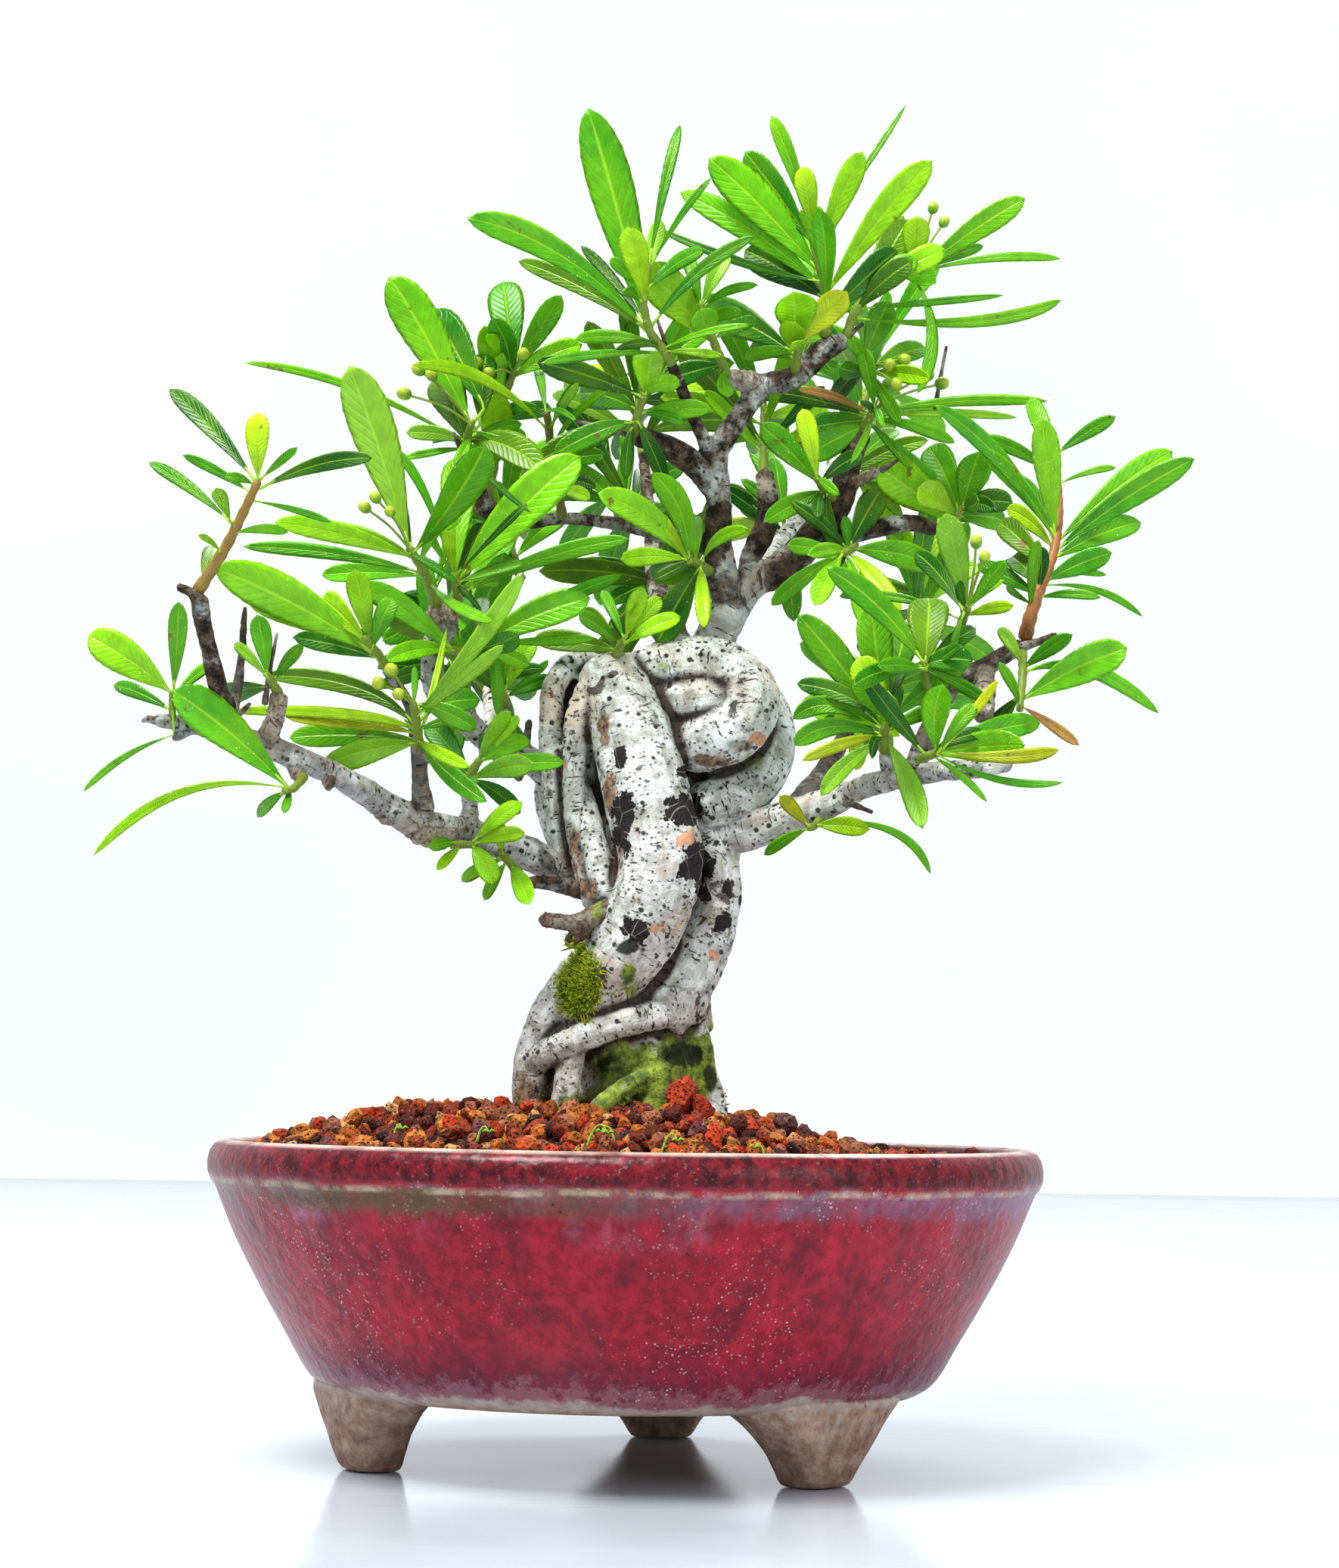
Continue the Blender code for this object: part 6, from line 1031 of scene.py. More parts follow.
def glaze_material():
    m = Nodes("oxblood_glaze")
    z = m.math("MULTIPLY", m.split(m.position())[2], 1000.0)
    wave = m.math("MULTIPLY", m.math("SUBTRACT", m.noise(55.0, 3.0), 0.5), 3.4)
    zw = m.math("ADD", z, wave)
    level = m.math("DIVIDE", zw, 60.0)
    blotch = m.noise(85.0, 5.0, 0.62, distortion=0.7)
    fine = m.noise(520.0, 4.0, 0.6)
    streak = m.noise(1.0, 4.0, 0.6, m.scaled(m.position(), 130.0, 130.0, 26.0))
    crimson, bright, maroon = lin(144, 12, 38), lin(176, 20, 46), lin(80, 14, 34)
    colour = m.mix(m.ramp(blotch, (0.44, 0.0), (0.68, 0.8)), crimson, bright)
    grainy = m.noise(430.0, 5.0, 0.72)
    colour = m.mix(m.math("MULTIPLY", m.ramp(grainy, (0.46, 0.0), (0.60, 1.0)), 0.45), colour, lin(190, 32, 62))
    colour = m.mix(m.math("MULTIPLY", m.ramp(grainy, (0.40, 1.0), (0.50, 0.0)), 0.38), colour, lin(96, 10, 34))
    colour = m.mix(m.ramp(streak, (0.48, 0.0), (0.70, 0.55)), colour, maroon)
    lilac = m.mix(m.ramp(fine, (0.4, 0.0), (0.6, 1.0)), lin(140, 88, 112), lin(184, 140, 160))
    top = m.ramp(level, (0.66, 0.0), (0.80, 1.0))
    thin = m.math("MULTIPLY", m.ramp(m.noise(1.0, 5.0, 0.6, m.scaled(m.position(), 60.0, 60.0, 22.0)), (0.50, 0.0), (0.64, 1.0)), top)
    colour = m.mix(m.math("MULTIPLY", thin, 0.75), colour, lilac)
    x = m.math("MULTIPLY", m.split(m.position())[0], 1000.0)
    side = m.ramp(m.math("ADD", m.math("DIVIDE", x, 150.0), m.math("ADD", m.math("MULTIPLY", m.noise(30.0, 3.0), 0.5), 0.22)), (0.30, 0.0), (0.72, 1.0))
    under_left = m.mix(fine, lin(56, 40, 22), lin(124, 108, 66))
    under_right = m.mix(fine, lin(84, 44, 72), lin(172, 132, 160))
    under_rim = m.mix(side, under_left, under_right)
    band = m.ramp(m.math("ADD", level, m.math("MULTIPLY", m.math("SUBTRACT", m.noise(210.0, 5.0, 0.75), 0.5), 0.10)), (0.750, 0.0), (0.790, 1.0), (0.835, 1.0), (0.845, 0.0))
    patchy = m.ramp(m.noise(1.0, 4.0, 0.6, m.scaled(m.position(), 90.0, 90.0, 30.0)), (0.36, 0.25), (0.58, 1.0))
    colour = m.mix(m.math("MULTIPLY", m.math("MULTIPLY", band, patchy), 0.85), colour, under_rim)
    ridge = m.ramp(m.math("DIVIDE", m.math("ADD", z, m.math("MULTIPLY", wave, 0.35)), 60.0), (0.822, 0.0), (0.828, 1.0), (0.836, 1.0), (0.848, 0.0))
    colour = m.mix(m.math("MULTIPLY", m.math("MULTIPLY", ridge, m.ramp(m.noise(120.0, 5.0, 0.75), (0.42, 0.05), (0.58, 1.0))), 0.75), colour, m.mix(fine, lin(170, 150, 118), lin(216, 200, 176)))
    rim = m.ramp(m.math("DIVIDE", m.math("ADD", z, m.math("MULTIPLY", wave, 0.3)), 60.0), (0.845, 0.0), (0.860, 1.0))
    rimcol = m.mix(m.ramp(m.noise(420.0, 5.0, 0.75), (0.40, 0.0), (0.62, 1.0)), lin(64, 14, 24), lin(138, 30, 46))
    rimcol = m.mix(m.math("MULTIPLY", m.ramp(m.noise(620.0, 3.0, 0.7), (0.62, 0.0), (0.70, 1.0)), 0.35), rimcol, lin(176, 130, 126))
    colour = m.mix(rim, colour, rimcol)
    edge = m.ramp(m.math("DIVIDE", z, 60.0), (0.934, 0.0), (0.943, 1.0))
    worn = m.ramp(m.noise(120.0, 3.0), (0.30, 0.2), (0.55, 1.0))
    colour = m.mix(m.math("MULTIPLY", m.math("MULTIPLY", edge, worn), 0.9), colour, lin(222, 208, 196))
    # painted shade darkens the lower body, painted sheen greys the sides and pales the lowest curve, and the glaze
    # ends in a pale line above the bare clay
    # painted shade: darker and purpler below about 25 mm, where the body curves under
    lower_shade = m.ramp(level, (0.30, 1.0), (0.42, 0.0))
    # painted sheen: the glaze turns greyer towards the left and right sides, as seen from the front
    sides = m.math("ABSOLUTE", m.math("DIVIDE", m.math("MULTIPLY", m.split(m.position())[0], 1000.0), 75.0))
    colour = m.mix(m.math("MULTIPLY", m.ramp(sides, (0.5, 0.0), (1.0, 1.0)), 0.35), colour, lin(104, 44, 58))
    colour = m.mix(m.math("MULTIPLY", lower_shade, 0.65), colour, lin(88, 20, 56))
    low = m.ramp(m.math("ADD", level, m.math("MULTIPLY", m.math("SUBTRACT", m.noise(140.0, 5.0, 0.7), 0.5), 0.09)), (0.244, 1.0), (0.256, 0.0))
    # painted sheen: a pale pink haze over the lowest curve of the body
    low_sheen = m.ramp(m.math("ADD", level, m.math("MULTIPLY", m.math("SUBTRACT", m.noise(320.0, 5.0, 0.8), 0.5), 0.30)), (0.27, 1.0), (0.31, 0.0))
    colour = m.mix(m.math("MULTIPLY", low_sheen, 0.22), colour, lin(206, 170, 176))
    colour = m.mix(m.math("MULTIPLY", low, 0.8), colour, m.mix(fine, lin(128, 110, 98), lin(220, 208, 198)))
    cluster = m.math("MULTIPLY", m.ramp(m.noise(34.0, 5.0, 0.7), (0.49, 0.0), (0.60, 1.0)), m.math("SUBTRACT", 1.0, m.math("MULTIPLY", rim, 0.8)))
    pin = m.math("MULTIPLY", m.ramp(m.voronoi(1250.0), (0.16, 1.0), (0.32, 0.0)), cluster)
    pin = m.math("MULTIPLY", pin, m.ramp(m.noise(520.0, 3.0), (0.47, 0.0), (0.55, 1.0)))
    colour = m.mix(m.math("MULTIPLY", pin, 0.75), colour, lin(232, 196, 196))
    pits = m.math("MULTIPLY", m.ramp(m.voronoi(240.0), (0.04, 1.0), (0.08, 0.0)), 1.0)
    colour = m.mix(m.math("MULTIPLY", pits, 0.8), colour, lin(30, 8, 14))
    clay = m.ramp(m.math("DIVIDE", m.math("ADD", z, m.math("MULTIPLY", wave, 0.5)), 60.0), (0.218, 1.0), (0.236, 0.0))
    clay_colour = m.mix(m.ramp(m.noise(300.0, 5.0, 0.65), (0.35, 0.0), (0.65, 1.0)), lin(138, 106, 90), lin(188, 160, 142))
    run = m.math("MULTIPLY", m.ramp(m.noise(1.0, 4.0, 0.7, m.scaled(m.position(), 150.0, 150.0, 45.0)), (0.54, 0.0), (0.64, 1.0)), m.ramp(m.math("DIVIDE", z, 60.0), (0.06, 0.0), (0.2, 1.0)))
    clay_colour = m.mix(m.math("MULTIPLY", run, 0.38), clay_colour, lin(206, 204, 190))
    colour = m.mix(clay, colour, clay_colour)
    inside = m.attribute("inside")
    colour = m.mix(inside, colour, clay_colour)
    matte = m.math("MAXIMUM", clay, inside)
    rough = m.math("ADD", m.math("MULTIPLY", fine, 0.2), 0.26)
    rough = m.math("ADD", rough, m.math("MULTIPLY", matte, 0.5))
    peel = m.noise(300.0, 2.0, 0.5)
    height = m.math("ADD", m.math("MULTIPLY", peel, 1.0), m.math("MULTIPLY", pin, -0.5))
    height = m.math("ADD", height, m.math("MULTIPLY", m.math("MULTIPLY", matte, m.noise(1200.0, 4.0)), 0.6))
    m.set(Base_Color=colour, Roughness=rough, Specular_IOR_Level=0.30, Coat_Weight=0.16, Coat_Roughness=0.2, Normal=m.bump(height, 0.5, 0.001))
    return m.mat


def grain_material():
    m = Nodes("lava_grain")
    tint = m.attribute("col_tint", "Color")
    n1 = m.noise(900.0, 5.0, 0.65)
    pores = m.ramp(m.voronoi(1300.0), (0.16, 1.0), (0.38, 0.0))
    colour = m.mix(m.ramp(n1, (0.34, 0.0), (0.68, 1.0)), m.mix(0.55, tint, (0.01, 0.006, 0.004)), tint)
    colour = m.mix(m.math("MULTIPLY", pores, 0.7), colour, lin(26, 12, 10))
    dust = m.math("MULTIPLY", m.ramp(m.noise(2300.0, 2.0), (0.62, 0.0), (0.72, 1.0)), 0.5)
    colour = m.mix(dust, colour, lin(210, 180, 150))
    height = m.math("SUBTRACT", n1, m.math("MULTIPLY", pores, 0.7))
    m.set(Base_Color=colour, Roughness=0.86, Specular_IOR_Level=0.3, Normal=m.bump(height, 0.9, 0.0006))
    return m.mat


def soil_material():
    m = Nodes("soil_between")
    n1 = m.noise(500.0, 5.0, 0.65)
    colour = m.mix(m.ramp(n1, (0.35, 0.0), (0.65, 1.0)), lin(26, 17, 12), lin(66, 42, 30))
    m.set(Base_Color=colour, Roughness=0.95, Normal=m.bump(n1, 0.8, 0.001))
    return m.mat


def moss_material():
    m = Nodes("moss")
    tint = m.attribute("col_tint", "Color")
    n1 = m.noise(1500.0, 2.0)
    colour = m.mix(m.ramp(n1, (0.3, 0.0), (0.7, 1.0)), m.mix(0.30, tint, lin(70, 86, 8)), m.mix(0.35, tint, lin(196, 214, 52)))
    m.set(Base_Color=colour, Roughness=0.8, Subsurface_Weight=0.1, Subsurface_Scale=0.0005, Normal=m.bump(n1, 0.5, 0.0002))
    return m.mat


def plastic_material():
    m = Nodes("mesh_plastic")
    n1 = m.noise(700.0, 3.0)
    m.set(Base_Color=m.mix(n1, lin(22, 22, 22), lin(48, 48, 46)), Roughness=m.math("ADD", m.math("MULTIPLY", n1, 0.2), 0.45), Normal=m.bump(n1, 0.3, 0.0002))
    return m.mat


def wire_material():
    m = Nodes("anodised_wire")
    n1 = m.noise(1.0, 4.0, 0.6, m.scaled(m.position(), 900.0, 900.0, 200.0))
    m.set(Base_Color=m.mix(n1, lin(104, 68, 44), lin(158, 112, 78)), Metallic=0.85, Roughness=m.math("ADD", m.math("MULTIPLY", n1, 0.2), 0.32), Normal=m.bump(n1, 0.2, 0.0001))
    return m.mat


# ================================================================ pot
def fine_profile():
    """The pot's profile with its lip drawn finely, as (radius, height) rows, all the way round."""
    keys = [(0, 20.0), (30, 20.0), (44, 20.0), (50.5, 21.4), (55, 25.2), (59.5, 31.5), (63.2, 38.5), (66.2, 45.0), (68.6, 50.6), (69.6, 53.6), (70.0, 55.3), (70.7, 56.3), (71.7, 56.75), (72.8, 56.65), (73.9, 56.0), (74.7, 54.8), (75.1, 53.0), (75.0, 51.2), (74.4, 49.7), (73.7, 48.9), (73.3, 48.0), (72.6, 46.2), (71.0, 42.2), (69.2, 38.1), (66.4, 32.7), (63.6, 27.6), (61.0, 23.3), (58.6, 19.2), (57.2, 16.9), (55.8, 15.1), (53.6, 13.6), (50.0, 12.8), (40, 12.6), (7.0, 12.6)]
    path = smooth_path([(r, 0, z) for r, z in keys], 1.3)
    return path[:, [0, 2]]


def make_pot(mat):
    cloth = Cloth()
    prof = fine_profile()
    prof[:, 0] = np.maximum(prof[:, 0], 0.0)
    prof = prof[prof[:, 0] > 7.0]
    prof = np.vstack([[7.0, 20.0], prof, [7.0, 12.6]])
    n = 220
    t = np.arange(n) * 2 * math.pi / n
    verts, inside = [], []
    for r, z in prof:
        for a in t:
            x, y = r * math.cos(a), r * math.sin(a)
            if r > 46:
                w = noise.noise(Vector((x * 0.03, y * 0.03, z * 0.05))) * 0.35 + noise.noise(Vector((x * 0.16, y * 0.16, z * 0.2))) * 0.10
            else:
                w = 0.0
            verts.append((x + w * math.cos(a), y + w * math.sin(a), z + 0.15 * w))
    faces = []
    m = len(prof)
    for i in range(m):
        i2 = (i + 1) % m
        for k in range(n):
            j = (k + 1) % n
            faces.append((i * n + k, i * n + j, i2 * n + j, i2 * n + k))
    inner = np.array([1.0 if (z > 19.5 and i < np.argmax(prof[:, 1]) - 4) else 0.0 for i, (r, z) in enumerate(prof)])
    cloth.add(verts, [tuple(reversed(f)) for f in faces], {"inside": np.repeat(inner, n)})
    for angle in FOOT_ANGLES:
        add_foot(cloth, angle)
    obj = cloth.make("pot_glazed", mat)
    return own(obj, "glaze", "pot")


def add_foot(cloth, angle):
    """A bracket foot that flares into the pot's underside and narrows to its toe."""
    keys = np.array([
        # z, inner radius, outer radius, half width
        (0.0, 42.9, 51.0, 5.2), (0.25, 42.5, 51.6, 5.7), (1.0, 42.1, 52.3, 6.3), (3.0, 41.9, 53.1, 7.6), (5.5, 41.7, 53.9, 9.5),
        (8.0, 41.5, 54.7, 11.8), (10.5, 41.3, 55.4, 14.6), (12.5, 41.0, 55.9, 17.4), (14.0, 40.6, 56.1, 19.6), (15.2, 40.2, 55.6, 21.0),
    ])
    path = smooth_path([tuple(k) for k in keys], 0.8)
    a = math.radians(angle)
    out = np.array([math.cos(a), math.sin(a), 0])
    side = np.array([-math.sin(a), math.cos(a), 0])
    n = 40
    verts = []
    for z, r0, r1, half in path:
        for k in range(n):
            t = 2 * math.pi * k / n
            c, s = math.cos(t), math.sin(t)
            e = 2.0 / 3.0
            c2 = math.copysign(abs(c) ** e, c)
            s2 = math.copysign(abs(s) ** e, s)
            # the outer face follows the pot's own curve
            bow = -half * half * s2 * s2 / (2 * 52.0)
            p = out * ((r0 + r1) / 2 + (r1 - r0) / 2 * c2 + bow) + side * half * s2 + np.array([0, 0, max(z, 0)])
            w = noise.noise(Vector(p * 0.25)) * 0.15
            p = p + (out * c2 + side * s2) * w
            verts.append(p)
    faces = []
    m = len(path)
    for i in range(m - 1):
        for k in range(n):
            j = (k + 1) % n
            faces.append((i * n + k, i * n + j, (i + 1) * n + j, (i + 1) * n + k))
    faces.append(tuple(reversed(range(n))))
    faces.append(tuple((m - 1) * n + k for k in range(n)))
    cloth.add(verts, faces, {"inside": np.zeros(len(verts))})


# ================================================================ soil
GRAIN_COLOURS = [((186, 88, 50), 5), ((152, 66, 50), 5), ((206, 122, 52), 6), ((228, 150, 72), 5), ((112, 56, 50), 3), ((138, 88, 90), 2), ((186, 120, 90), 4), ((84, 60, 62), 2), ((216, 84, 46), 2), ((232, 178, 118), 2)]


def sphere_base(level):
    bm = bmesh.new()
    bmesh.ops.create_icosphere(bm, subdivisions=level, radius=1.0)
    v = np.array([x.co[:] for x in bm.verts])
    f = [tuple(x.index for x in face.verts) for face in bm.faces]
    bm.free()
    return v / np.linalg.norm(v, axis=1)[:, None], f


def add_grain(cloth, base, centre, size, colour, rng):
    """An angular, porous grain: a ball cut by a handful of random planes."""
    v, f = base
    cuts = rng.normal(size=(9, 3))
    cuts /= np.linalg.norm(cuts, axis=1)[:, None]
    depth = rng.uniform(0.42, 0.86, 9)
    d = v @ cuts.T
    r = np.ones(len(v))
    with np.errstate(divide="ignore", invalid="ignore"):
        limit = np.where(d > 0.05, depth / d, 9.0)
    r = np.minimum(r, limit.min(axis=1))
    r *= 1.16 + rng.uniform(-0.13, 0.13, len(v))
    stretch = rng.uniform(0.72, 1.28, 3)
    p = v * r[:, None] * stretch
    # a random turn
    q = rng.normal(size=4)
    q /= np.linalg.norm(q)
    w, x, y, z = q
    turn = np.array([[1 - 2 * (y * y + z * z), 2 * (x * y - z * w), 2 * (x * z + y * w)], [2 * (x * y + z * w), 1 - 2 * (x * x + z * z), 2 * (y * z - x * w)], [2 * (x * z - y * w), 2 * (y * z + x * w), 1 - 2 * (x * x + y * y)]])
    p = p @ turn.T * size + centre
    cloth.add(p, f, {"col_tint": np.repeat(colour[None, :], len(p), axis=0)})


def make_soil(mat_bed, mat_grain, wood_tree):
    bed = Cloth()
    rings, n = 26, 96
    verts = [(0, 0, soil_height(0, 0) - 1.8)]
    for i in range(1, rings + 1):
        r = 69.0 * i / rings
        for k in range(n):
            a = 2 * math.pi * k / n
            x, y = r * math.cos(a), r * math.sin(a)
            verts.append((x, y, soil_height(x, y) - 1.8 + 0.5 * noise.noise(Vector((x * 0.4, y * 0.4, 0)))))
    top = len(verts)
    for r, z in ((66.5, 46.5), (60.5, 34.0), (50.0, 22.0)):
        for k in range(n):
            a = 2 * math.pi * k / n
            verts.append((r * math.cos(a), r * math.sin(a), z))
    verts.append((0, 0, 21.6))
    faces = [(0, 1 + k, 1 + (k + 1) % n) for k in range(n)]
    for i in range(rings + 2):
        q = 1 + i * n
        for k in range(n):
            j = (k + 1) % n
            faces.append((q + k, q + n + k, q + n + j, q + j))
    q = 1 + (rings + 2) * n
    faces += [(q + k, len(verts) - 1, q + (k + 1) % n) for k in range(n)]
    bed.add(verts, faces)
    obj = own(bed.make("soil_bed", mat_bed), "lava_grains", "soil")
    rng = np.random.default_rng(7)
    palette = [lin(*c) for c, w in GRAIN_COLOURS for _ in range(w)]
    base = sphere_base(2)
    cells, placed = {}, []

    def free(p, r):
        key = tuple((p // 5).astype(int))
        for dx in (-1, 0, 1):
            for dy in (-1, 0, 1):
                for dz in (-1, 0, 1):
                    for q, s in cells.get((key[0] + dx, key[1] + dy, key[2] + dz), ()):
                        if np.linalg.norm(p - q) < (r + s) * 0.70:
                            return False
        cells.setdefault(key, []).append((p, r))
        return True

    clothes = [Cloth(), Cloth(), Cloth()]
    count = 0
    # two large brick-red grains and a few others at the foot of the trunk
    special = [(905, 1458, -15, 4.2, (206, 84, 48)), (930, 1466, -18, 3.2, (190, 74, 44)), (790, 1478, -24, 2.0, (214, 120, 50)), (640, 1496, -20, 2.4, (176, 96, 60)), (1040, 1482, -16, 2.6, (120, 84, 80)), (700, 1510, -38, 2.6, (160, 90, 56))]
    for u, v, y, r, c in special:
        p = on_sheet(u, v, y)
        free(p, r)
        add_grain(clothes[0], base, p, r, lin(*c), rng)
    for layer, lift in ((0, -0.9), (1, 0.25), (2, 1.0)):
        for _ in range(5200 if layer < 2 else 1500):
            a, rr = rng.uniform(0, 2 * math.pi), 68.3 * math.sqrt(rng.uniform(0, 1))
            x, y = rr * math.cos(a), rr * math.sin(a)
            size = float(np.clip(rng.lognormal(0.56, 0.22), 1.15, 2.6))
            if rr + size * 0.7 > 69.2:
                continue
            z = soil_height(x, y) - 0.9 + lift + rng.uniform(-0.4, 0.4)
            if rr > 62:
                z -= (rr - 62) * 0.12
            p = np.array([x, y, z])
            near, normal, _, gap = wood_tree.find_nearest(Vector(p))
            if (Vector(p) - near).dot(normal) < 0 or gap < size * 0.6:
                continue
            if not free(p, size):
                continue
            colour = palette[int(rng.integers(len(palette)))] * rng.uniform(0.75, 1.25)
            add_grain(clothes[count % 3], base if y < 12 else base, p, size, colour, rng)
            count += 1
    print("grains", count)
    for i, cloth in enumerate(clothes):
        g = cloth.make(f"lava_grains_{'abc'[i]}", mat_grain)
        g.data.shade_flat()
        own(g, "lava_grains")
    return obj


# ================================================================ wood
BARE = {"left_mid_knob": 1.0, "left_low_stub_a": 0.6, "left_low_stub_b": 0.6, "left_low_stub_c": 0.6, "left_spur_knob": 0.5, "left_low_knob": 0.6, "cut_wood": 0.3, "left_cut_stub": 0.5, "apex_right_stub": 0.5, "right_fork_stub": 0.4, "left_low_knob_b": 0.5, "top_knob_left": 0.5, "small_root": 0.4}
DARK_BASE = {"left_cut_stub": 0.55, "cut_wood": 0.4, "left_small": 0.6, "left_low": 0.18, "apex_left": 0.35, "apex_right": 0.45, "apex_right_arm": 0.5, "apex_middle": 0.4, "upper_left": 0.45, "apex_far_left": 0.5, "left_low_twig": 0.6, "right_fork": 0.3, "left_spur": 0.3, "back_left": 0.4, "back_middle": 0.4, "back_right": 0.4, "back_low_right": 0.4, "top_knob_right": 0.4}
FINE_TWIGS = [
    [(322, 825, -17, 9), (324, 803, -17, 5)],
    [(350, 930, -18, 9), (356, 890, -19, 7), (366, 838, -19, 4)],
    [(1118, 1060, -9, 10), (1135, 1066, -11, 8), (1152, 1073, -12, 5)],
    [(842, 578, -11, 9), (800, 566, -12, 7), (760, 556, -13, 4)],
    [(1236, 540, 6, 7), (1243, 500, 6, 6), (1251, 458, 6, 3)],
    [(1350, 855, -5, 12), (1372, 848, -5, 10), (1396, 839, -6, 7)],
    [(205, 952, -20, 12), (196, 950, -20, 9), (188, 953, -20, 5)],
    [(438, 1030, -16, 14), (434, 1042, -17, 9)],
    [(885, 476, -11, 8), (878, 450, -12, 6), (868, 420, -12, 4)],
    [(1113, 452, 1, 10), (1128, 438, 1, 8), (1140, 428, 2, 5)],
    [(620, 606, -6, 12), (608, 590, -8, 8), (600, 572, -9, 5)],
    [(1165, 622, 4, 9), (1180, 612, 4, 6), (1192, 606, 4, 4)],
    [(300, 950, -19, 12), (318, 942, -20, 9), (330, 930, -21, 5)],
]


def fused_fine(strands, voxel, smooth=3, grow=0.0):
    """The strands' tubes fused into one fine skin; returns points, faces and point normals."""
    cloth = Cloth()
    for rows in strands:
        path, radii = strand_path(rows, 1.2)
        rng = np.random.default_rng(int(abs(rows[0][0] * 7 + rows[0][1])))
        wob = np.interp(np.arange(len(path)), np.linspace(0, len(path), 7), rng.uniform(0.94, 1.07, 7))
        tube(cloth, path, np.maximum(radii * wob + grow, 0.5), 22)
    mesh = bpy.data.meshes.new("tmp")
    mesh.from_pydata((np.concatenate(cloth.v) * MM).tolist(), [], cloth.f)
    obj = bpy.data.objects.new("tmp", mesh)
    bpy.context.scene.collection.objects.link(obj)
    bm = bmesh.new()
    bm.from_mesh(mesh)
    bmesh.ops.recalc_face_normals(bm, faces=bm.faces)
    bm.to_mesh(mesh)
    bm.free()
    mod = obj.modifiers.new("r", "REMESH")
    mod.mode = "VOXEL"
    mod.voxel_size = voxel * MM
    sm = obj.modifiers.new("s", "SMOOTH")
    sm.factor = 0.6
    sm.iterations = smooth
    bpy.context.view_layer.update()
    done = bpy.data.meshes.new_from_object(obj.evaluated_get(bpy.context.evaluated_depsgraph_get()))
    n = len(done.vertices)
    co = np.empty(n * 3)
    done.vertices.foreach_get("co", co)
    faces = [tuple(p.vertices) for p in done.polygons]
    normals = np.empty(n * 3)
    done.vertices.foreach_get("normal", normals)
    bpy.data.objects.remove(obj)
    bpy.data.meshes.remove(mesh)
    bpy.data.meshes.remove(done)
    return co.reshape(-1, 3) / MM, faces, normals.reshape(-1, 3)


def keep_outer(co, faces, normals):
    """Keeps only the largest connected skin, so that no bubble stays inside the wood."""
    parent = np.arange(len(co))

    def find(i):
        while parent[i] != i:
            parent[i] = parent[parent[i]]
            i = parent[i]
        return i

    for f in faces:
        a = find(f[0])
        for i in f[1:]:
            b = find(i)
            if a != b:
                parent[b] = a
    roots = np.array([find(i) for i in range(len(co))])
    names, counts = np.unique(roots, return_counts=True)
    big = names[counts.argmax()]
    keep = roots == big
    index = np.cumsum(keep) - 1
    faces = [tuple(int(index[i]) for i in f) for f in faces if keep[f[0]]]
    return co[keep], faces, normals[keep]


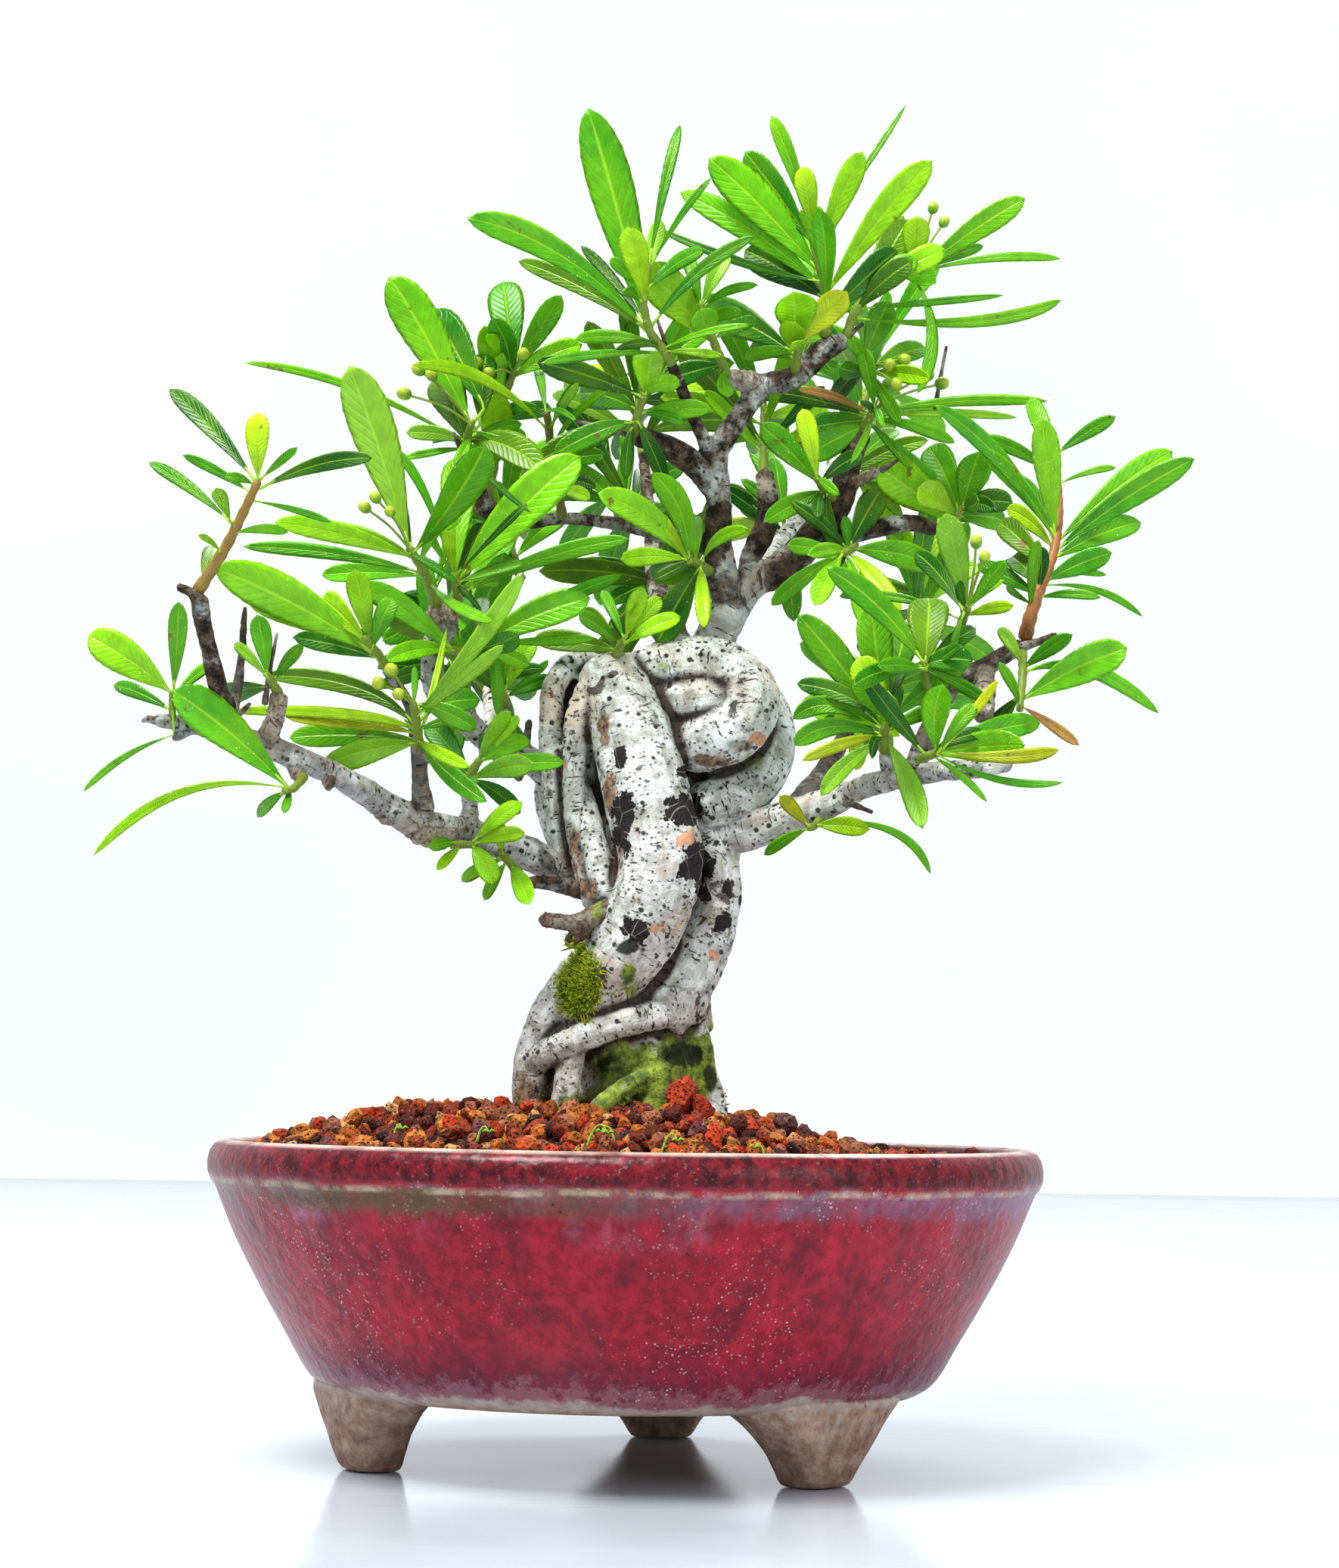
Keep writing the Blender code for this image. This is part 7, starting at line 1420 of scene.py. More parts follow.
def wood_attributes(co, faces, normals, strands, names):
    """Shapes the bark and works out, for each point, its place along its strand."""
    tree_points, info = [], []
    for name, rows in zip(names, strands):
        path, radii = strand_path(rows, 1.0)
        s = np.concatenate([[0], np.cumsum(np.linalg.norm(np.diff(path, axis=0), axis=1))])
        d = np.gradient(path, axis=0)
        d /= np.linalg.norm(d, axis=1)[:, None]
        a = np.cross(d[0], [0.3, 0.9, 0.2])
        for i in range(len(path)):
            a = a - d[i] * (a @ d[i])
            a /= np.linalg.norm(a)
            tree_points.append(path[i])
            info.append((s[i], radii[i], d[i], a.copy(), np.cross(d[i], a), name))
    tree = kdtree.KDTree(len(tree_points))
    for i, p in enumerate(tree_points):
        tree.insert(p, i)
    tree.balance()
    n = len(co)
    grain = np.zeros((n, 3))
    bare, dark = np.zeros(n), np.zeros(n)
    plate, scar = np.zeros(n), np.zeros(n)
    flat_u, flat_v = sheet_grid(co)
    front = normals[:, 1] < 0.25
    for u, v, ru, rv, kind in PLATES:
        near = 1.0 - np.hypot((flat_u - u) / ru, (flat_v - v) / rv) * 0.5
        near = np.where(front, np.clip(near, 0, 1), 0)
        if kind == "plate":
            plate = np.maximum(plate, near)
        else:
            scar = np.maximum(scar, near)
    # how deep each point lies in a groove: its height under its neighbours' mean; the bark darkens hollows by it as
    # painted shade
    neighbours = np.zeros((n, 3))
    degree = np.zeros(n)
    farr = np.array([f if len(f) == 4 else (*f, f[-1]) for f in faces])
    for a, b in ((0, 1), (1, 2), (2, 3), (3, 0)):
        np.add.at(neighbours, farr[:, a], co[farr[:, b]])
        np.add.at(degree, farr[:, a], 1)
        np.add.at(neighbours, farr[:, b], co[farr[:, a]])
        np.add.at(degree, farr[:, b], 1)

    def spread_mean(values):
        total = np.zeros_like(values)
        for a, b in ((0, 1), (1, 2), (2, 3), (3, 0)):
            np.add.at(total, farr[:, a], values[farr[:, b]])
            np.add.at(total, farr[:, b], values[farr[:, a]])
        return total / (degree if values.ndim == 1 else degree[:, None])

    smooth = co.copy()
    for _ in range(7):
        smooth = spread_mean(smooth)
    hollow = np.einsum("ij,ij->i", smooth - co, normals)
    cavity = np.clip(hollow / 0.35, 0, 1)
    for _ in range(2):
        cavity = spread_mean(cavity)
    lift = np.zeros(n)
    for i in range(n):
        p = co[i]
        best, pick = 1e9, 0
        for q, index, dist in tree.find_n(p, 6):
            score = dist - info[index][1]
            if score < best:
                best, pick = score, index
        s, r, d, a, b, name = info[pick]
        rel = p - tree_points[pick]
        ang = math.atan2(rel @ b, rel @ a)
        # the bark's grain runs along the strand
        grain[i] = (s + rel @ d, math.cos(ang) * r, math.sin(ang) * r + (hash_of(name) % 50))
        bare[i] = BARE.get(name, 0.0)
        dark[i] = twig_tone(name, r, p)
        g = grain[i]
        ridge = noise.noise(Vector((g[0] * 0.10, g[1] * 0.55, g[2] * 0.55)))
        lump = noise.noise(Vector((p[0] * 0.22, p[1] * 0.22, p[2] * 0.16 + 7)))
        pit = noise.noise(Vector((p[0] * 0.8, p[1] * 0.8, p[2] * 0.8)))
        size = min(1.0, r / 4.0)
        wrinkle = noise.noise(Vector((g[0] * 0.9, g[1] * 0.18, g[2] * 0.18)))
        lift[i] = (0.34 * ridge + 0.46 * lump + 0.16 * wrinkle) * size + 0.14 * pit
        if bare[i]:
            lift[i] += bare[i] * (0.9 * abs(pit) + 0.35 * noise.noise(Vector(p * 1.6)))
    co = co + normals * lift[:, None] - normals * (cavity * 0.25)[:, None]
    for _ in range(2):
        bare = spread_mean(bare)
        dark = spread_mean(dark)
    return co, grain, cavity, bare, dark, plate, scar


PLATES = [(908, 1070, 26, 20, "plate"), (922, 1140, 26, 26, "plate"), (822, 1085, 15, 38, "plate"), (842, 1228, 22, 14, "plate"), (955, 1218, 10, 12, "plate"), (900, 1020, 8, 7, "plate"), (818, 1000, 8, 14, "plate"), (985, 1190, 8, 8, "plate"), (930, 1180, 9, 9, "plate"), (962, 1170, 8, 14, "plate"), (780, 1290, 10, 18, "plate"), (905, 1108, 17, 13, "scar"), (868, 1226, 14, 10, "scar"), (945, 1262, 9, 12, "scar"), (1000, 975, 16, 9, "scar"), (744, 1010, 6, 10, "scar")]


def sheet_grid(co):
    """Every point's place on the front elevation."""
    rel = co - EYE
    depth = rel @ _fwd
    return SHEET_MIDDLE[0] + SHEET_SCALE * (rel @ _right) / depth, SHEET_MIDDLE[1] - SHEET_SCALE * (rel @ _up) / depth


def twig_tone(name, radius, p):
    """How far this point has the dark skin of the upper twigs."""
    if name in TRUNK:
        return 0.0
    base = DARK_BASE.get(name, 0.0)
    thin = float(np.clip((3.4 - radius) / 2.6, 0, 1))
    high = float(np.clip((p[2] - 120) / 40.0, 0, 1))
    return float(np.clip(base + 0.70 * thin + 0.42 * high, 0, 1))


def hash_of(name):
    return sum((i + 3) * ord(c) for i, c in enumerate(name))


ALGAE = [(830, 1410, 60, 40, 1.2), (900, 1420, 60, 60, 1.2), (800, 1460, 60, 30, 1.2), (870, 1460, 60, 30, 1.2), (760, 1290, 34, 46, 0.85), (832, 1300, 22, 40, 0.75), (860, 1440, 60, 16, 1.0), (1000, 1010, 36, 16, 0.6), (870, 885, 30, 20, 0.55), (880, 1300, 60, 22, 0.5), (745, 1480, 20, 40, 0.8), (790, 1200, 16, 30, 0.6), (940, 1400, 24, 60, 0.9), (700, 1470, 24, 20, 0.5)]
RUST = [(798, 960, 12, 50, 0.8), (806, 1050, 14, 50, 0.9), (815, 1130, 14, 40, 0.8), (940, 1005, 46, 12, 0.85), (985, 985, 24, 14, 0.7), (760, 1130, 22, 50, 0.75), (775, 1175, 24, 24, 0.8), (725, 1040, 12, 40, 0.7), (700, 1465, 36, 62, 1.0), (745, 1470, 16, 30, 0.5), (800, 880, 16, 10, 0.5), (870, 930, 24, 18, 0.5), (980, 1075, 24, 10, 0.6), (955, 1255, 12, 20, 0.5), (840, 1190, 18, 14, 0.55), (955, 860, 30, 14, 0.4), (745, 900, 14, 10, 0.4), (590, 1105, 60, 26, 0.6)]
DARK_OLIVE_SPOTS = [(905, 1395, 40, 26, 1.1), (800, 1405, 20, 30, 0.7), (830, 1250, 26, 16, 0.9), (770, 1310, 26, 30, 0.7), (745, 1450, 18, 40, 0.6), (860, 1475, 40, 20, 0.7), (940, 1430, 16, 40, 0.8), (905, 905, 20, 12, 0.65), (700, 1430, 12, 20, 0.5)]


def make_wood(mat):
    groups = [("trunk_braid", TRUNK, 0.60), ("branches_and_twigs", BRANCHES, 0.46)]
    out = []
    for i, (label, table, voxel) in enumerate(groups):
        names, strands = list(table), list(table.values())
        co, faces, normals = fused_fine(strands, voxel)
        if label == "trunk_braid":
            co, faces, normals = keep_outer(co, faces, normals)
        co, grain, cavity, bare, dark, plate, scar = wood_attributes(co, faces, normals, strands, names)
        flat_u, flat_v = sheet_grid(co)
        algae = np.clip((1450 - flat_v) / -60.0, 0, 0.75)
        facing = np.clip(0.25 - 2.0 * normals[:, 1], 0, 1)
        for u, v, ru, rv, k in ALGAE:
            algae = np.maximum(algae, k * facing * np.clip(1.3 - np.hypot((flat_u - u) / ru, (flat_v - v) / rv), 0, 1))
        dark_olive = np.zeros(len(co))
        for u, v, ru, rv, k in DARK_OLIVE_SPOTS:
            dark_olive = np.maximum(dark_olive, k * facing * np.clip(1.3 - np.hypot((flat_u - u) / ru, (flat_v - v) / rv), 0, 1))
        rust = np.zeros(len(co))
        for u, v, ru, rv, k in RUST:
            rust = np.maximum(rust, k * facing * np.clip(1.3 - np.hypot((flat_u - u) / ru, (flat_v - v) / rv), 0, 1))
        cloth = Cloth()
        cloth.add(co, faces, {"grain": grain, "cavity": cavity, "algae": algae, "bare": bare, "twig": dark, "plate": plate, "scar": scar, "dark_olive": dark_olive, "rust": rust})
        obj = cloth.make(label, mat)
        print(label, len(co), "points")
        own(obj, "bark", *(["trunk_and_branches"] if i == 0 else []))
        out.append(obj)
    cloth = Cloth()
    for k, rows in enumerate(FINE_TWIGS):
        path, radii = strand_path(rows, 1.2)
        radii = radii * (1 + 0.12 * np.sin(np.arange(len(radii)) * 1.7))
        # the even cavity value on the dead twigs paints a little shade over all of them
        tube(cloth, path, radii, 8, {"grain": (0.0, 0.0, float(k)), "cavity": 0.2, "algae": 0.0, "bare": 0.2, "twig": 1.0, "plate": 0.0, "scar": 0.0, "dark_olive": 0.0, "rust": 0.3})
    own(cloth.make("dead_twigs", mat), "bark")
    return out


# ================================================================ leaves
# B and D are partly a middle green with painted light and painted shade.
TONES = {"L": [(168, 222, 4), (150, 214, 2), (186, 228, 20)], "B": [(128, 204, 2), (112, 194, 2), (142, 212, 6)], "M": [(92, 176, 2), (76, 162, 2), (112, 190, 4)], "D": [(42, 122, 6), (56, 140, 8), (28, 100, 6)], "P": [(146, 198, 62), (130, 188, 48)], "O": [(104, 148, 10), (90, 134, 8)], "Y": [(206, 206, 30), (184, 194, 20)], "T": [(206, 150, 104), (190, 126, 86)]}
WIDTHS = ([0.0, 0.05, 0.12, 0.22, 0.34, 0.46, 0.58, 0.68, 0.78, 0.86, 0.92, 0.965, 0.99, 1.0], [0.06, 0.10, 0.25, 0.47, 0.69, 0.86, 0.97, 1.0, 0.96, 0.83, 0.64, 0.40, 0.17, 0.0])


def fine_leaf(cloth, plan, rng):
    base, tip, via = (np.asarray(plan[k], float) for k in ("base", "tip", "via"))
    control = 2 * via - (base + tip) / 2
    length = np.linalg.norm(tip - base)
    width, roll = plan["width"], plan["roll"]
    n = 20 if length > 16 else 13
    m = 8 if width > 3.0 else 4
    axis = (tip - base) / length
    mid = (base + tip) / 2
    to_eye = EYE - mid
    normal = to_eye - axis * (to_eye @ axis)
    normal /= np.linalg.norm(normal)
    side = np.cross(axis, normal)
    c, s = math.cos(roll), math.sin(roll)
    side0, normal0 = side * c + normal * s, normal * c - side * s
    tone = TONES[plan["tone"]]
    colour = lin(*tone[int(rng.integers(len(tone)))]) * rng.uniform(0.86, 1.14)
    shift = rng.normal(0, 0.035, 3)
    colour = np.clip(colour * (1 + shift), 0.0, 0.95)
    fold = rng.uniform(0.10, 0.26)
    camber = rng.uniform(-0.05, 0.10)
    twist = rng.uniform(-0.35, 0.35)
    peak = rng.uniform(-0.05, 0.04)
    ripple = rng.uniform(0.0, 0.05) * width
    phase = rng.uniform(0, 6.28)
    thick = 0.26
    ts = np.linspace(0, 1, n + 1) ** 0.92
    rows_top, rows_bot, across, along, idx = [], [], [], [], 0
    verts = []
    top_index = np.zeros((n + 1, m + 1), int)
    bot_index = np.zeros((n + 1, m + 1), int)
    for i, t in enumerate(ts):
        centre = (1 - t) ** 2 * base + 2 * t * (1 - t) * control + t * t * tip
        d = 2 * (1 - t) * (control - base) + 2 * t * (tip - control)
        d /= np.linalg.norm(d) + 1e-9
        sd = side0 - d * (side0 @ d)
        sd /= np.linalg.norm(sd)
        nm = np.cross(sd, d)
        if nm @ normal0 < 0:
            nm = -nm
        tw = twist * (t - 0.5)
        sd, nm = sd * math.cos(tw) + nm * math.sin(tw), nm * math.cos(tw) - sd * math.sin(tw)
        half = 0.5 * width * float(np.interp(t + peak * math.sin(math.pi * t), WIDTHS[0], WIDTHS[1]))
        if 0.3 < t < 0.97:
            half *= 1 + 0.012 * (1 if i % 2 else -1)
        for k in range(m + 1):
            x = 2 * k / m - 1
            h = fold * abs(x) * half + camber * half * (1 - x * x) + ripple * abs(x) * math.sin(phase + 9 * t + (2 if x > 0 else 0)) * (half / (0.5 * width))
            p = centre + sd * x * half + nm * h
            edge = (k in (0, m)) or i in (0, n)
            top_index[i, k] = len(verts)
            verts.append(p)
            across.append(x)
            along.append(t)
            if edge:
                bot_index[i, k] = top_index[i, k]
            else:
                bot_index[i, k] = len(verts)
                rib = 0.16 * math.exp(-(x * 4) ** 2) * min(1, half)
                verts.append(p - nm * (thick * min(1.0, half / 0.8) * (1 - 0.4 * abs(x)) + rib))
                across.append(x)
                along.append(t)
    faces, under = [], []
    for i in range(n):
        for k in range(m):
            q = (top_index[i, k], top_index[i, k + 1], top_index[i + 1, k + 1], top_index[i + 1, k])
            q = tuple(dict.fromkeys(int(x) for x in q))
            if len(q) > 2:
                faces.append(q)
                under.append(0.0)
            q = (bot_index[i, k], bot_index[i + 1, k], bot_index[i + 1, k + 1], bot_index[i, k + 1])
            q = tuple(dict.fromkeys(int(x) for x in q))
            if len(q) > 2:
                faces.append(q)
                under.append(1.0)
    if plan["tone"] == "P":
        under = [1.0] * len(under)
    nv = len(verts)
    grade = np.clip(0.84 + 0.30 * np.asarray(along) + 0.08 * np.asarray(across) * (1 if rng.random() < 0.5 else -1), 0, 1.25)
    cloth.add(verts, faces, {"col_tint": colour[None, :] * grade[:, None], "across": across, "along": along}, {"under": under})
    # the petiole
    d = control - base
    d /= np.linalg.norm(d) + 1e-9
    attach = np.asarray(plan["attach"], float)
    gap = np.linalg.norm(base - attach)
    foot = attach
    path = smooth_path([tuple(foot), tuple(base * 0.98 + foot * 0.02), tuple(base + d * min(3.0, 0.12 * length))], 1.5)
    r = np.linspace(0.42, 0.20, len(path)) * (1.0 if width > 2 else 0.7)
    tube(cloth, path, r, 6)
    total = sum(len(v) for v in cloth.v[-1:])
    cloth.point["col_tint"].append(np.repeat((lin(150, 190, 70) * 0.9)[None, :], total, axis=0))
    cloth.point["across"].append(np.zeros(total))
    cloth.point["along"].append(np.zeros(total))
    faces_added = 6 * (2 + len(path) - 1)
    cloth.face["under"].append(np.zeros(faces_added))


# Fill leaves mostly take the next darker tone: painted shade for the leaves inside a shoot.
FILL_TONES = {"M": "D", "L": "B", "B": "M", "D": "M", "P": "M", "O": "D", "Y": "L", "T": "M"}


def more_leaves(path, leaves, rng, wood_tree, low, high):
    """Leaves that fill out a shoot: turned round its stem from the drawn ones, a little smaller, and mostly a tone
    darker as painted shade.
    """
    extra = []
    start, end = path[0], path[-1]
    axis = end - start
    axis /= np.linalg.norm(axis)
    reach = np.linalg.norm(end - start)
    for plan in leaves:
        base, tip, via = (np.asarray(plan[k], float) for k in ("base", "tip", "via"))
        length = np.linalg.norm(tip - base)
        if length < 9 or plan["width"] < 1.6:
            continue
        for _ in range(3):
            angle = rng.uniform(0.5, 2.6) * (1 if rng.random() < 0.5 else -1)
            scale = rng.uniform(0.62, 0.92)
            slide = rng.uniform(-0.35, 0.35) * min(reach, 12.0)
            attach = nearest_on(path, np.asarray(plan["attach"], float) + axis * slide)
            c, s = math.cos(angle), math.sin(angle)

            def spin(p):
                q = p - plan["attach"]
                return attach + (q * c + np.cross(axis, q) * s + axis * (axis @ q) * (1 - c)) * scale

            b, t, v = spin(base), spin(tip), spin(via)
            v[2] += 0.4
            mid = (b + t) / 2
            if t[2] < 84 or not all(any(math.hypot(u - cu, w - cv) < r * 1.02 for cu, cv, r in CANOPY) for u, w in (sheet_of(t), sheet_of(mid))):
                continue
            if not all(low[k] - 3.0 < t[k] < high[k] + 3.0 for k in range(3)):
                continue
            clear = True
            for q in (mid, t, (b + mid) / 2):
                near, normal, _, gap = wood_tree.find_nearest(Vector(q))
                if gap < 1.6 or (Vector(q) - near).dot(normal) < 0:
                    clear = False
            if not clear:
                continue
            extra.append(dict(kind="leaf", attach=attach, base=b, tip=t, via=v, width=plan["width"] * scale * rng.uniform(0.9, 1.08), roll=rng.uniform(-0.5, 0.5), tone=FILL_TONES[plan["tone"]] if rng.random() < 0.7 else plan["tone"]))
            break
    return extra


def make_foliage(mat_leaf, mat_stem, wood_tree):
    low, high = (np.array(c) for c in CAD_BOX)
    low, high = (low - AXIS) / MM, (high - AXIS) / MM
    stems, plans, missed = layout(wood_tree)
    nodes = sorted(frame["nodes"])
    count = filled = 0
    ball = sphere_base(2)
    for index, (name, (path, radii)) in enumerate(stems.items()):
        rng = np.random.default_rng(100 + index)
        blade = Cloth()
        stalk = Cloth()
        p = smooth_path([tuple(x) for x in path], 0.9) if len(path) > 2 else path
        # the stem runs on into the wood, with small swellings along it
        back = p[0] - (p[1] - p[0]) / np.linalg.norm(p[1] - p[0]) * 1.6
        p = np.vstack([back, p])
        rad = np.interp(np.linspace(0, len(radii) - 1, len(p)), range(len(radii)), radii)
        rad = rad * (1 + 0.10 * np.sin(np.arange(len(p)) * 2.1))
        woody = {"shoot_right_outer": (176, 120, 70), "shoot_left_top": (156, 130, 62), "shoot_upper_left_olive": (128, 132, 48)}
        colour = lin(*woody.get(name, (134, 158, 56)))
        tube(stalk, p, rad, 12, {"col_tint": colour})
        drawn = [q for q in plans.get(name, []) if q["kind"] == "leaf"]
        fill = more_leaves(np.asarray(path), drawn, rng, wood_tree, low, high)
        filled += len(fill)
        for plan in plans.get(name, []) + fill:
            if plan["kind"] == "leaf":
                fine_leaf(blade, plan, rng)
                count += 1
            else:
                add_bud(stalk, plan, ball, rng)
        stem_obj = own(stalk.make(name + "_stem", mat_stem), "foliage", *([name] if name in nodes else []))
        if blade.v:
            own(blade.make(name + "_leaves", mat_leaf), "foliage")
    print("fine leaves", count, "of them filling", filled, "missed", missed)


def add_bud(cloth, plan, ball, rng):
    top, foot = np.asarray(plan["top"], float), np.asarray(plan["foot"], float)
    mid = (top + foot) / 2 + np.array([rng.uniform(-0.5, 0.5), rng.uniform(-0.5, 0.5), 0.6])
    path = smooth_path([tuple(foot), tuple(mid), tuple(top)], 0.9)
    tube(cloth, path, np.linspace(0.26, 0.22, len(path)), 6, {"col_tint": lin(150, 176, 62)})
    d = top - mid
    d /= np.linalg.norm(d)
    v, f = ball
    r = rng.uniform(0.95, 1.25)
    along = v @ d
    p = top + d * 0.7 + v * r * (1 + 0.10 * along[:, None]) + d * (0.25 * along[:, None])
    # five shallow lobes where the petals are folded together
    a = np.cross(d, [0, 1.0, 0.2])
    a /= np.linalg.norm(a)
    b = np.cross(d, a)
    ang = np.arctan2(v @ b, v @ a)
    p = p + (v * (0.06 * np.cos(5 * ang) * np.clip(along + 0.2, 0, 1) * r)[:, None])
    shade = np.where(along[:, None] > 0.1, lin(186, 206, 60)[None, :], lin(120, 172, 34)[None, :])
    cloth.add(p, f, {"col_tint": shade})


# ================================================================ moss and sprouts
def make_moss(mat, wood_tree):
    rng = np.random.default_rng(5)
    lo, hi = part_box("moss_patch")
    centre = (np.array((lo + hi) / 2) - AXIS) / MM
    cloth = Cloth()
    n = 0
    while n < 1900:
        d = rng.normal(size=3)
        d /= np.linalg.norm(d)
        p = centre + d * np.array([4.4, 4.6, 7.4]) * rng.uniform(0.1, 1.0)
        near, normal, _, gap = wood_tree.find_nearest(Vector(p))
        side = (Vector(p) - near).dot(normal)
        if gap > 4.5 or normal[1] > 0.2 or math.hypot((near[0] - centre[0]) / 4.3, (near[2] - centre[2]) / 7.4) > 1 + 0.25 * noise.noise(Vector(p * 0.5)):
            continue
        root = np.array(near) - np.array(normal) * 0.2
        way = np.array(normal) + rng.normal(0, 0.55, 3) + np.array([0, 0, 0.3])
        way /= np.linalg.norm(way)
        length = rng.uniform(1.2, 2.9)
        tip = root + way * length
        bend = root + way * length * 0.5 + rng.normal(0, 0.15, 3)
        c = lin(*[(176, 196, 22), (146, 176, 18), (112, 146, 16), (202, 208, 60)][int(rng.integers(4))]) * rng.uniform(0.7, 1.1)
        tube(cloth, [root, bend, tip], [0.24, 0.20, 0.07], 5, {"col_tint": c})
        n += 1
    # a thin green growth round the foot of the trunk
    count = 0
    while count < 1500:
        a = rng.uniform(0, 2 * math.pi)
        r = rng.uniform(10, 24)
        p = np.array([-4 + r * math.cos(a), r * math.sin(a) * 0.8, rng.uniform(60.5, 66.0)])
        near, normal, _, gap = wood_tree.find_nearest(Vector(p))
        if gap > 6 or rng.random() > math.exp(-(p[2] - 60.5) / 3.0) + 0.08:
            count += 0.2
            continue
        if noise.noise(Vector(np.array(near) * 0.16)) < -0.05:
            count += 0.2
            continue
        root = np.array(near) - np.array(normal) * 0.25
        way = np.array(normal) + rng.normal(0, 0.5, 3) + np.array([0, 0, 0.4])
        way /= np.linalg.norm(way)
        length = rng.uniform(0.5, 1.3)
        c = lin(*[(72, 92, 30), (96, 116, 36), (132, 148, 46), (60, 72, 26)][int(rng.integers(4))]) * rng.uniform(0.7, 1.1)
        tube(cloth, [root, root + way * length * 0.5, root + way * length], [0.22, 0.18, 0.07], 4, {"col_tint": c})
        count += 1
    own(cloth.make("moss_tufts", mat), "moss", "moss_patch")


def make_sprouts(mat):
    cloth = Cloth()
    rng = np.random.default_rng(11)
    for u, v, y, h, lean in ((776, 1524, -52, 3.6, 3.4), (812, 1522, -50, 2.6, -2.2), (875, 1524, -54, 3.0, 2.6), (630, 1524, -50, 2.6, 2.0), (1010, 1520, -46, 1.8, -1.6), (520, 1520, -40, 2.0, 1.5)):
        p = on_sheet(u, v, y)
        p[2] = soil_height(p[0], p[1]) + 0.2
        path = smooth_path([tuple(p), tuple(p + [lean * 0.3, 0, h * 0.75]), tuple(p + [lean * 0.7, -0.3, h]), tuple(p + [lean, -0.5, h * 0.6])], 0.5)
        tube(cloth, path, np.linspace(0.28, 0.12, len(path)), 6, {"col_tint": lin(150, 200, 90)})
        for s in (-1, 1):
            q = path[-1]
            tube(cloth, [q, q + [0.5 * s, -0.2, 0.4], q + [1.1 * s, -0.3, 0.2]], [0.15, 0.32, 0.06], 6, {"col_tint": lin(130, 196, 70)})
    own(cloth.make("soil_sprouts", mat), "foliage")


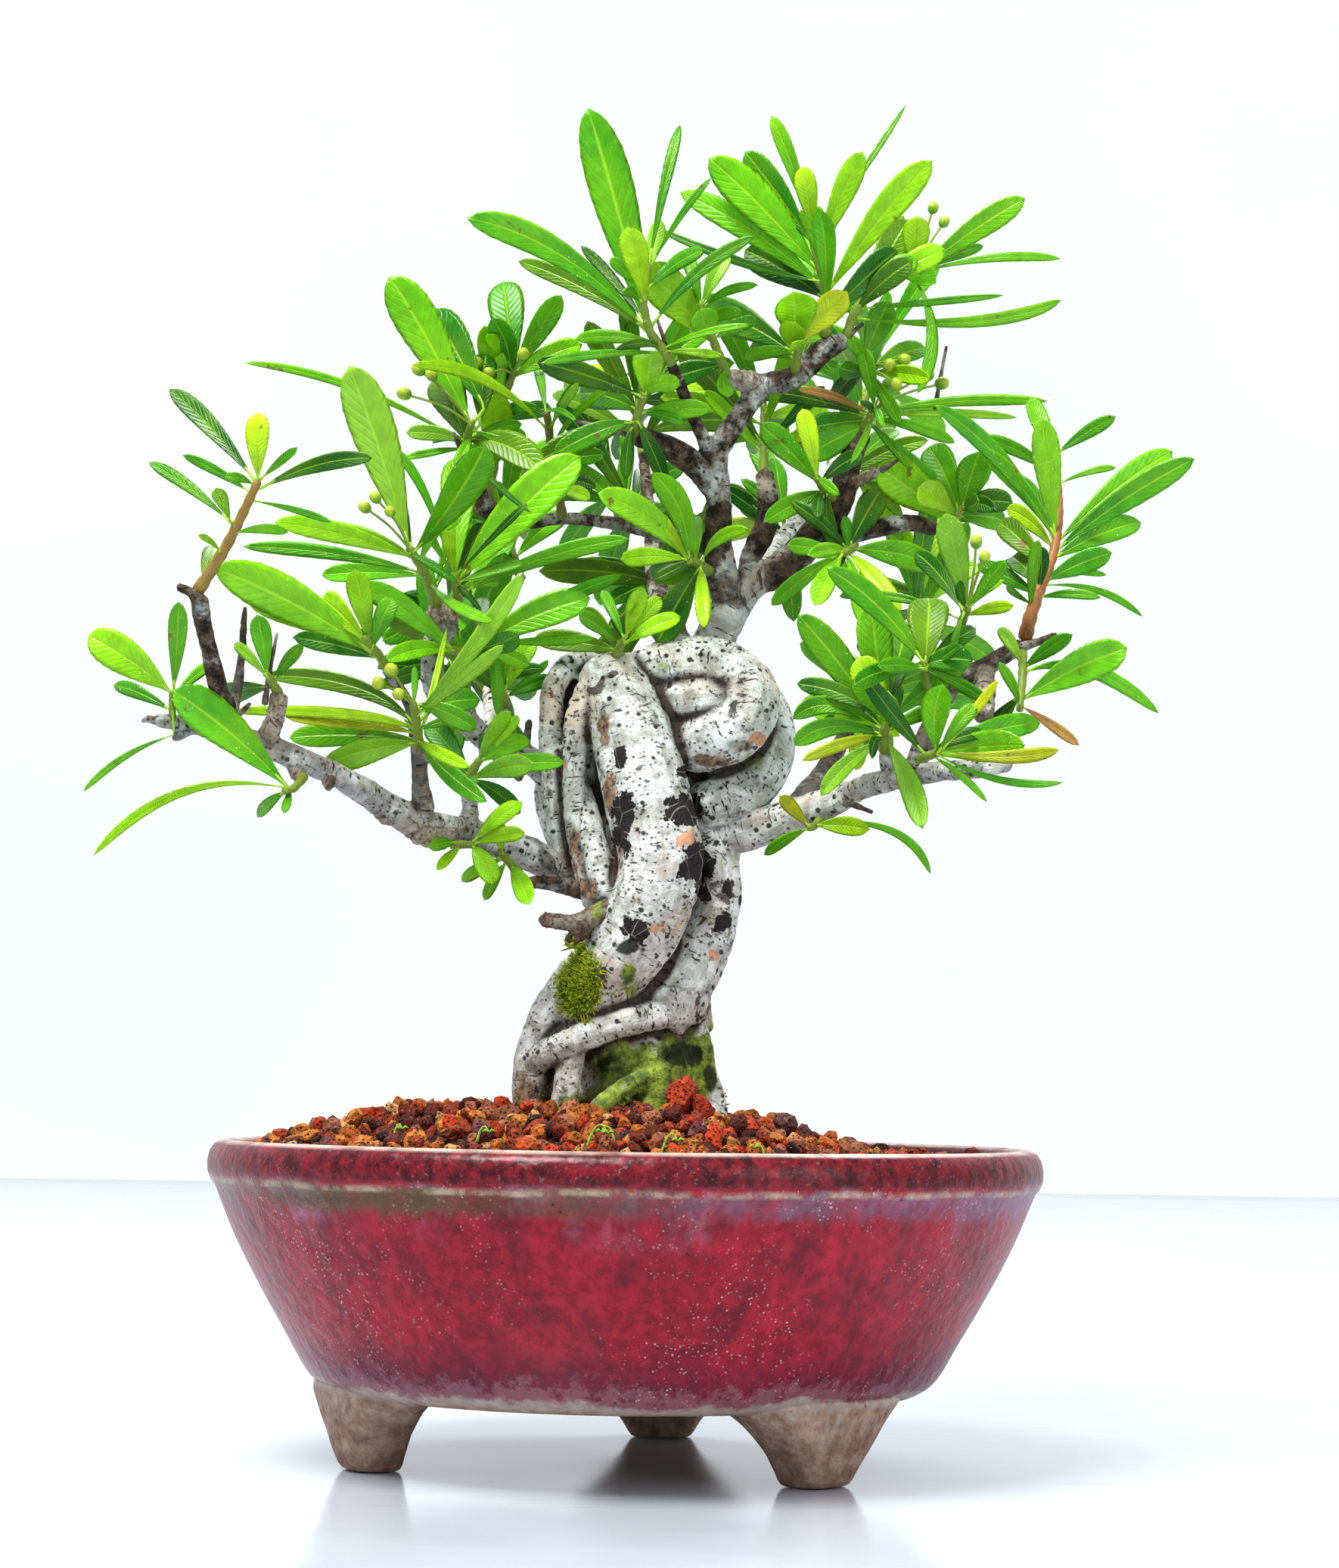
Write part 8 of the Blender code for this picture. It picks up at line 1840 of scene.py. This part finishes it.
# ================================================================ stage
def stage():
    scene = bpy.context.scene
    far = AXIS[1] + 1.6
    m = Nodes("table_top")
    n1 = m.noise(3.0, 4.0, 0.6, m.scaled(m.position(), 1.0, 0.16, 1.0))
    n2 = m.noise(26.0, 4.0, 0.6)
    y = m.split(m.position())[1]
    colour = m.mix(m.ramp(n1, (0.38, 0.0), (0.62, 1.0)), lin(196, 208, 223), lin(218, 228, 238))
    lip = m.ramp(m.math("DIVIDE", y, 2.0), ((far - 0.10) / 2.0, 0.0), ((far - 0.07) / 2.0, 1.0))
    colour = m.mix(m.math("MULTIPLY", lip, 0.6), colour, lin(178, 188, 200))
    scratch = m.ramp(m.noise(1.0, 3.0, 0.5, m.scaled(m.position(), 5.0, 90.0, 1.0), 1.5), (0.655, 0.0), (0.67, 1.0))
    colour = m.mix(m.math("MULTIPLY", scratch, 0.12), colour, lin(160, 166, 176))
    m.set(Base_Color=colour, Roughness=m.math("ADD", m.math("MULTIPLY", m.ramp(n1, (0.3, 0.0), (0.7, 1.0)), 0.10), m.math("MULTIPLY", n2, 0.16)), Specular_IOR_Level=0.42)
    mesh = bpy.data.meshes.new("table")
    mesh.from_pydata([(-3, -2.5, -0.0002), (3, -2.5, -0.0002), (3, far, -0.0002), (-3, far, -0.0002)], [], [(0, 1, 2, 3)])
    table = bpy.data.objects.new("table", mesh)
    mesh.materials.append(m.mat)
    scene.collection.objects.link(table)
    b = Nodes("backdrop_paper")
    n2 = b.noise(0.7, 2.0)
    colour = b.mix(b.ramp(n2, (0.35, 0.0), (0.65, 1.0)), lin(244, 248, 253), lin(254, 254, 255))
    b.set(Base_Color=b.mix(0.9, colour, (0, 0, 0)), Roughness=0.9, Specular_IOR_Level=0.0, Emission_Color=colour, Emission_Strength=0.83)
    mesh = bpy.data.meshes.new("backdrop")
    mesh.from_pydata([(-6, 3.2, -1.5), (6, 3.2, -1.5), (6, 3.2, 5), (-6, 3.2, 5)], [], [(0, 1, 2, 3)])
    back = bpy.data.objects.new("backdrop", mesh)
    mesh.materials.append(b.mat)
    scene.collection.objects.link(back)
    world_ = bpy.data.worlds.new("studio")
    scene.world = world_
    world_.use_nodes = True
    bg = world_.node_tree.nodes["Background"]
    bg.inputs[0].default_value = (0.95, 0.98, 1.0, 1)
    bg.inputs[1].default_value = 0.56

    def area(name, place, target, size, power, colour=(1, 1, 1)):
        data = bpy.data.lights.new(name, "AREA")
        data.shape = "RECTANGLE"
        data.size, data.size_y = size
        data.energy = power
        data.color = colour
        obj = bpy.data.objects.new(name, data)
        obj.location = place
        way = Vector(target) - Vector(place)
        obj.rotation_euler = way.to_track_quat("-Z", "Y").to_euler()
        scene.collection.objects.link(obj)

    area("key", (-0.35, -0.45, 1.15), (0, 0, 0.12), (0.55, 0.45), 17.0, (1.0, 0.985, 0.96))
    area("fill", (0.9, -0.9, 0.5), (0, 0, 0.10), (0.7, 0.7), 3.4, (0.98, 0.99, 1.0))
    area("rim", (0.2, 0.8, 1.0), (0, 0, 0.14), (0.9, 0.5), 6.0)
    scene.view_settings.view_transform = "Standard"
    scene.view_settings.look = "None"
    scene.view_settings.exposure = 0.25
    scene.view_settings.gamma = 0.84
    cam = bpy.data.cameras.new("camera")
    cam.sensor_fit = "AUTO"
    cam.sensor_width = 36.0
    cam.lens = SHEET_SCALE * 36.0 / 2072.0
    cam.clip_start, cam.clip_end = 0.02, 20.0
    obj = bpy.data.objects.new("camera", cam)
    r, u, f = (Vector(x) for x in (_right, _up, _fwd))
    rot = Matrix((r, u, -f)).transposed()
    obj.matrix_world = Matrix.Translation(Vector(world(EYE))) @ rot.to_4x4()
    scene.collection.objects.link(obj)
    scene.camera = obj


def main():
    cad_wood = frame["nodes"]["trunk_and_branches"]
    co = np.array([v.co[:] for v in cad_wood.data.vertices])
    pts = (co - AXIS) / MM
    wood_tree = BVHTree.FromPolygons([Vector(p) for p in pts], [tuple(p.vertices) for p in cad_wood.data.polygons])
    stage()
    make_pot(glaze_material())
    make_soil(soil_material(), grain_material(), wood_tree)
    make_wood(bark_material())
    make_foliage(leaf_material(), stem_material(), wood_tree)
    moss = moss_material()
    make_moss(moss, wood_tree)
    make_sprouts(moss)
    plastic, wire = plastic_material(), wire_material()
    for name, mat in (("drainage_mesh", plastic), ("mesh_clip", wire), ("anchor_wire", wire)):
        data = frame["nodes"][name].data
        data.materials.clear()
        data.materials.append(mat)


main()
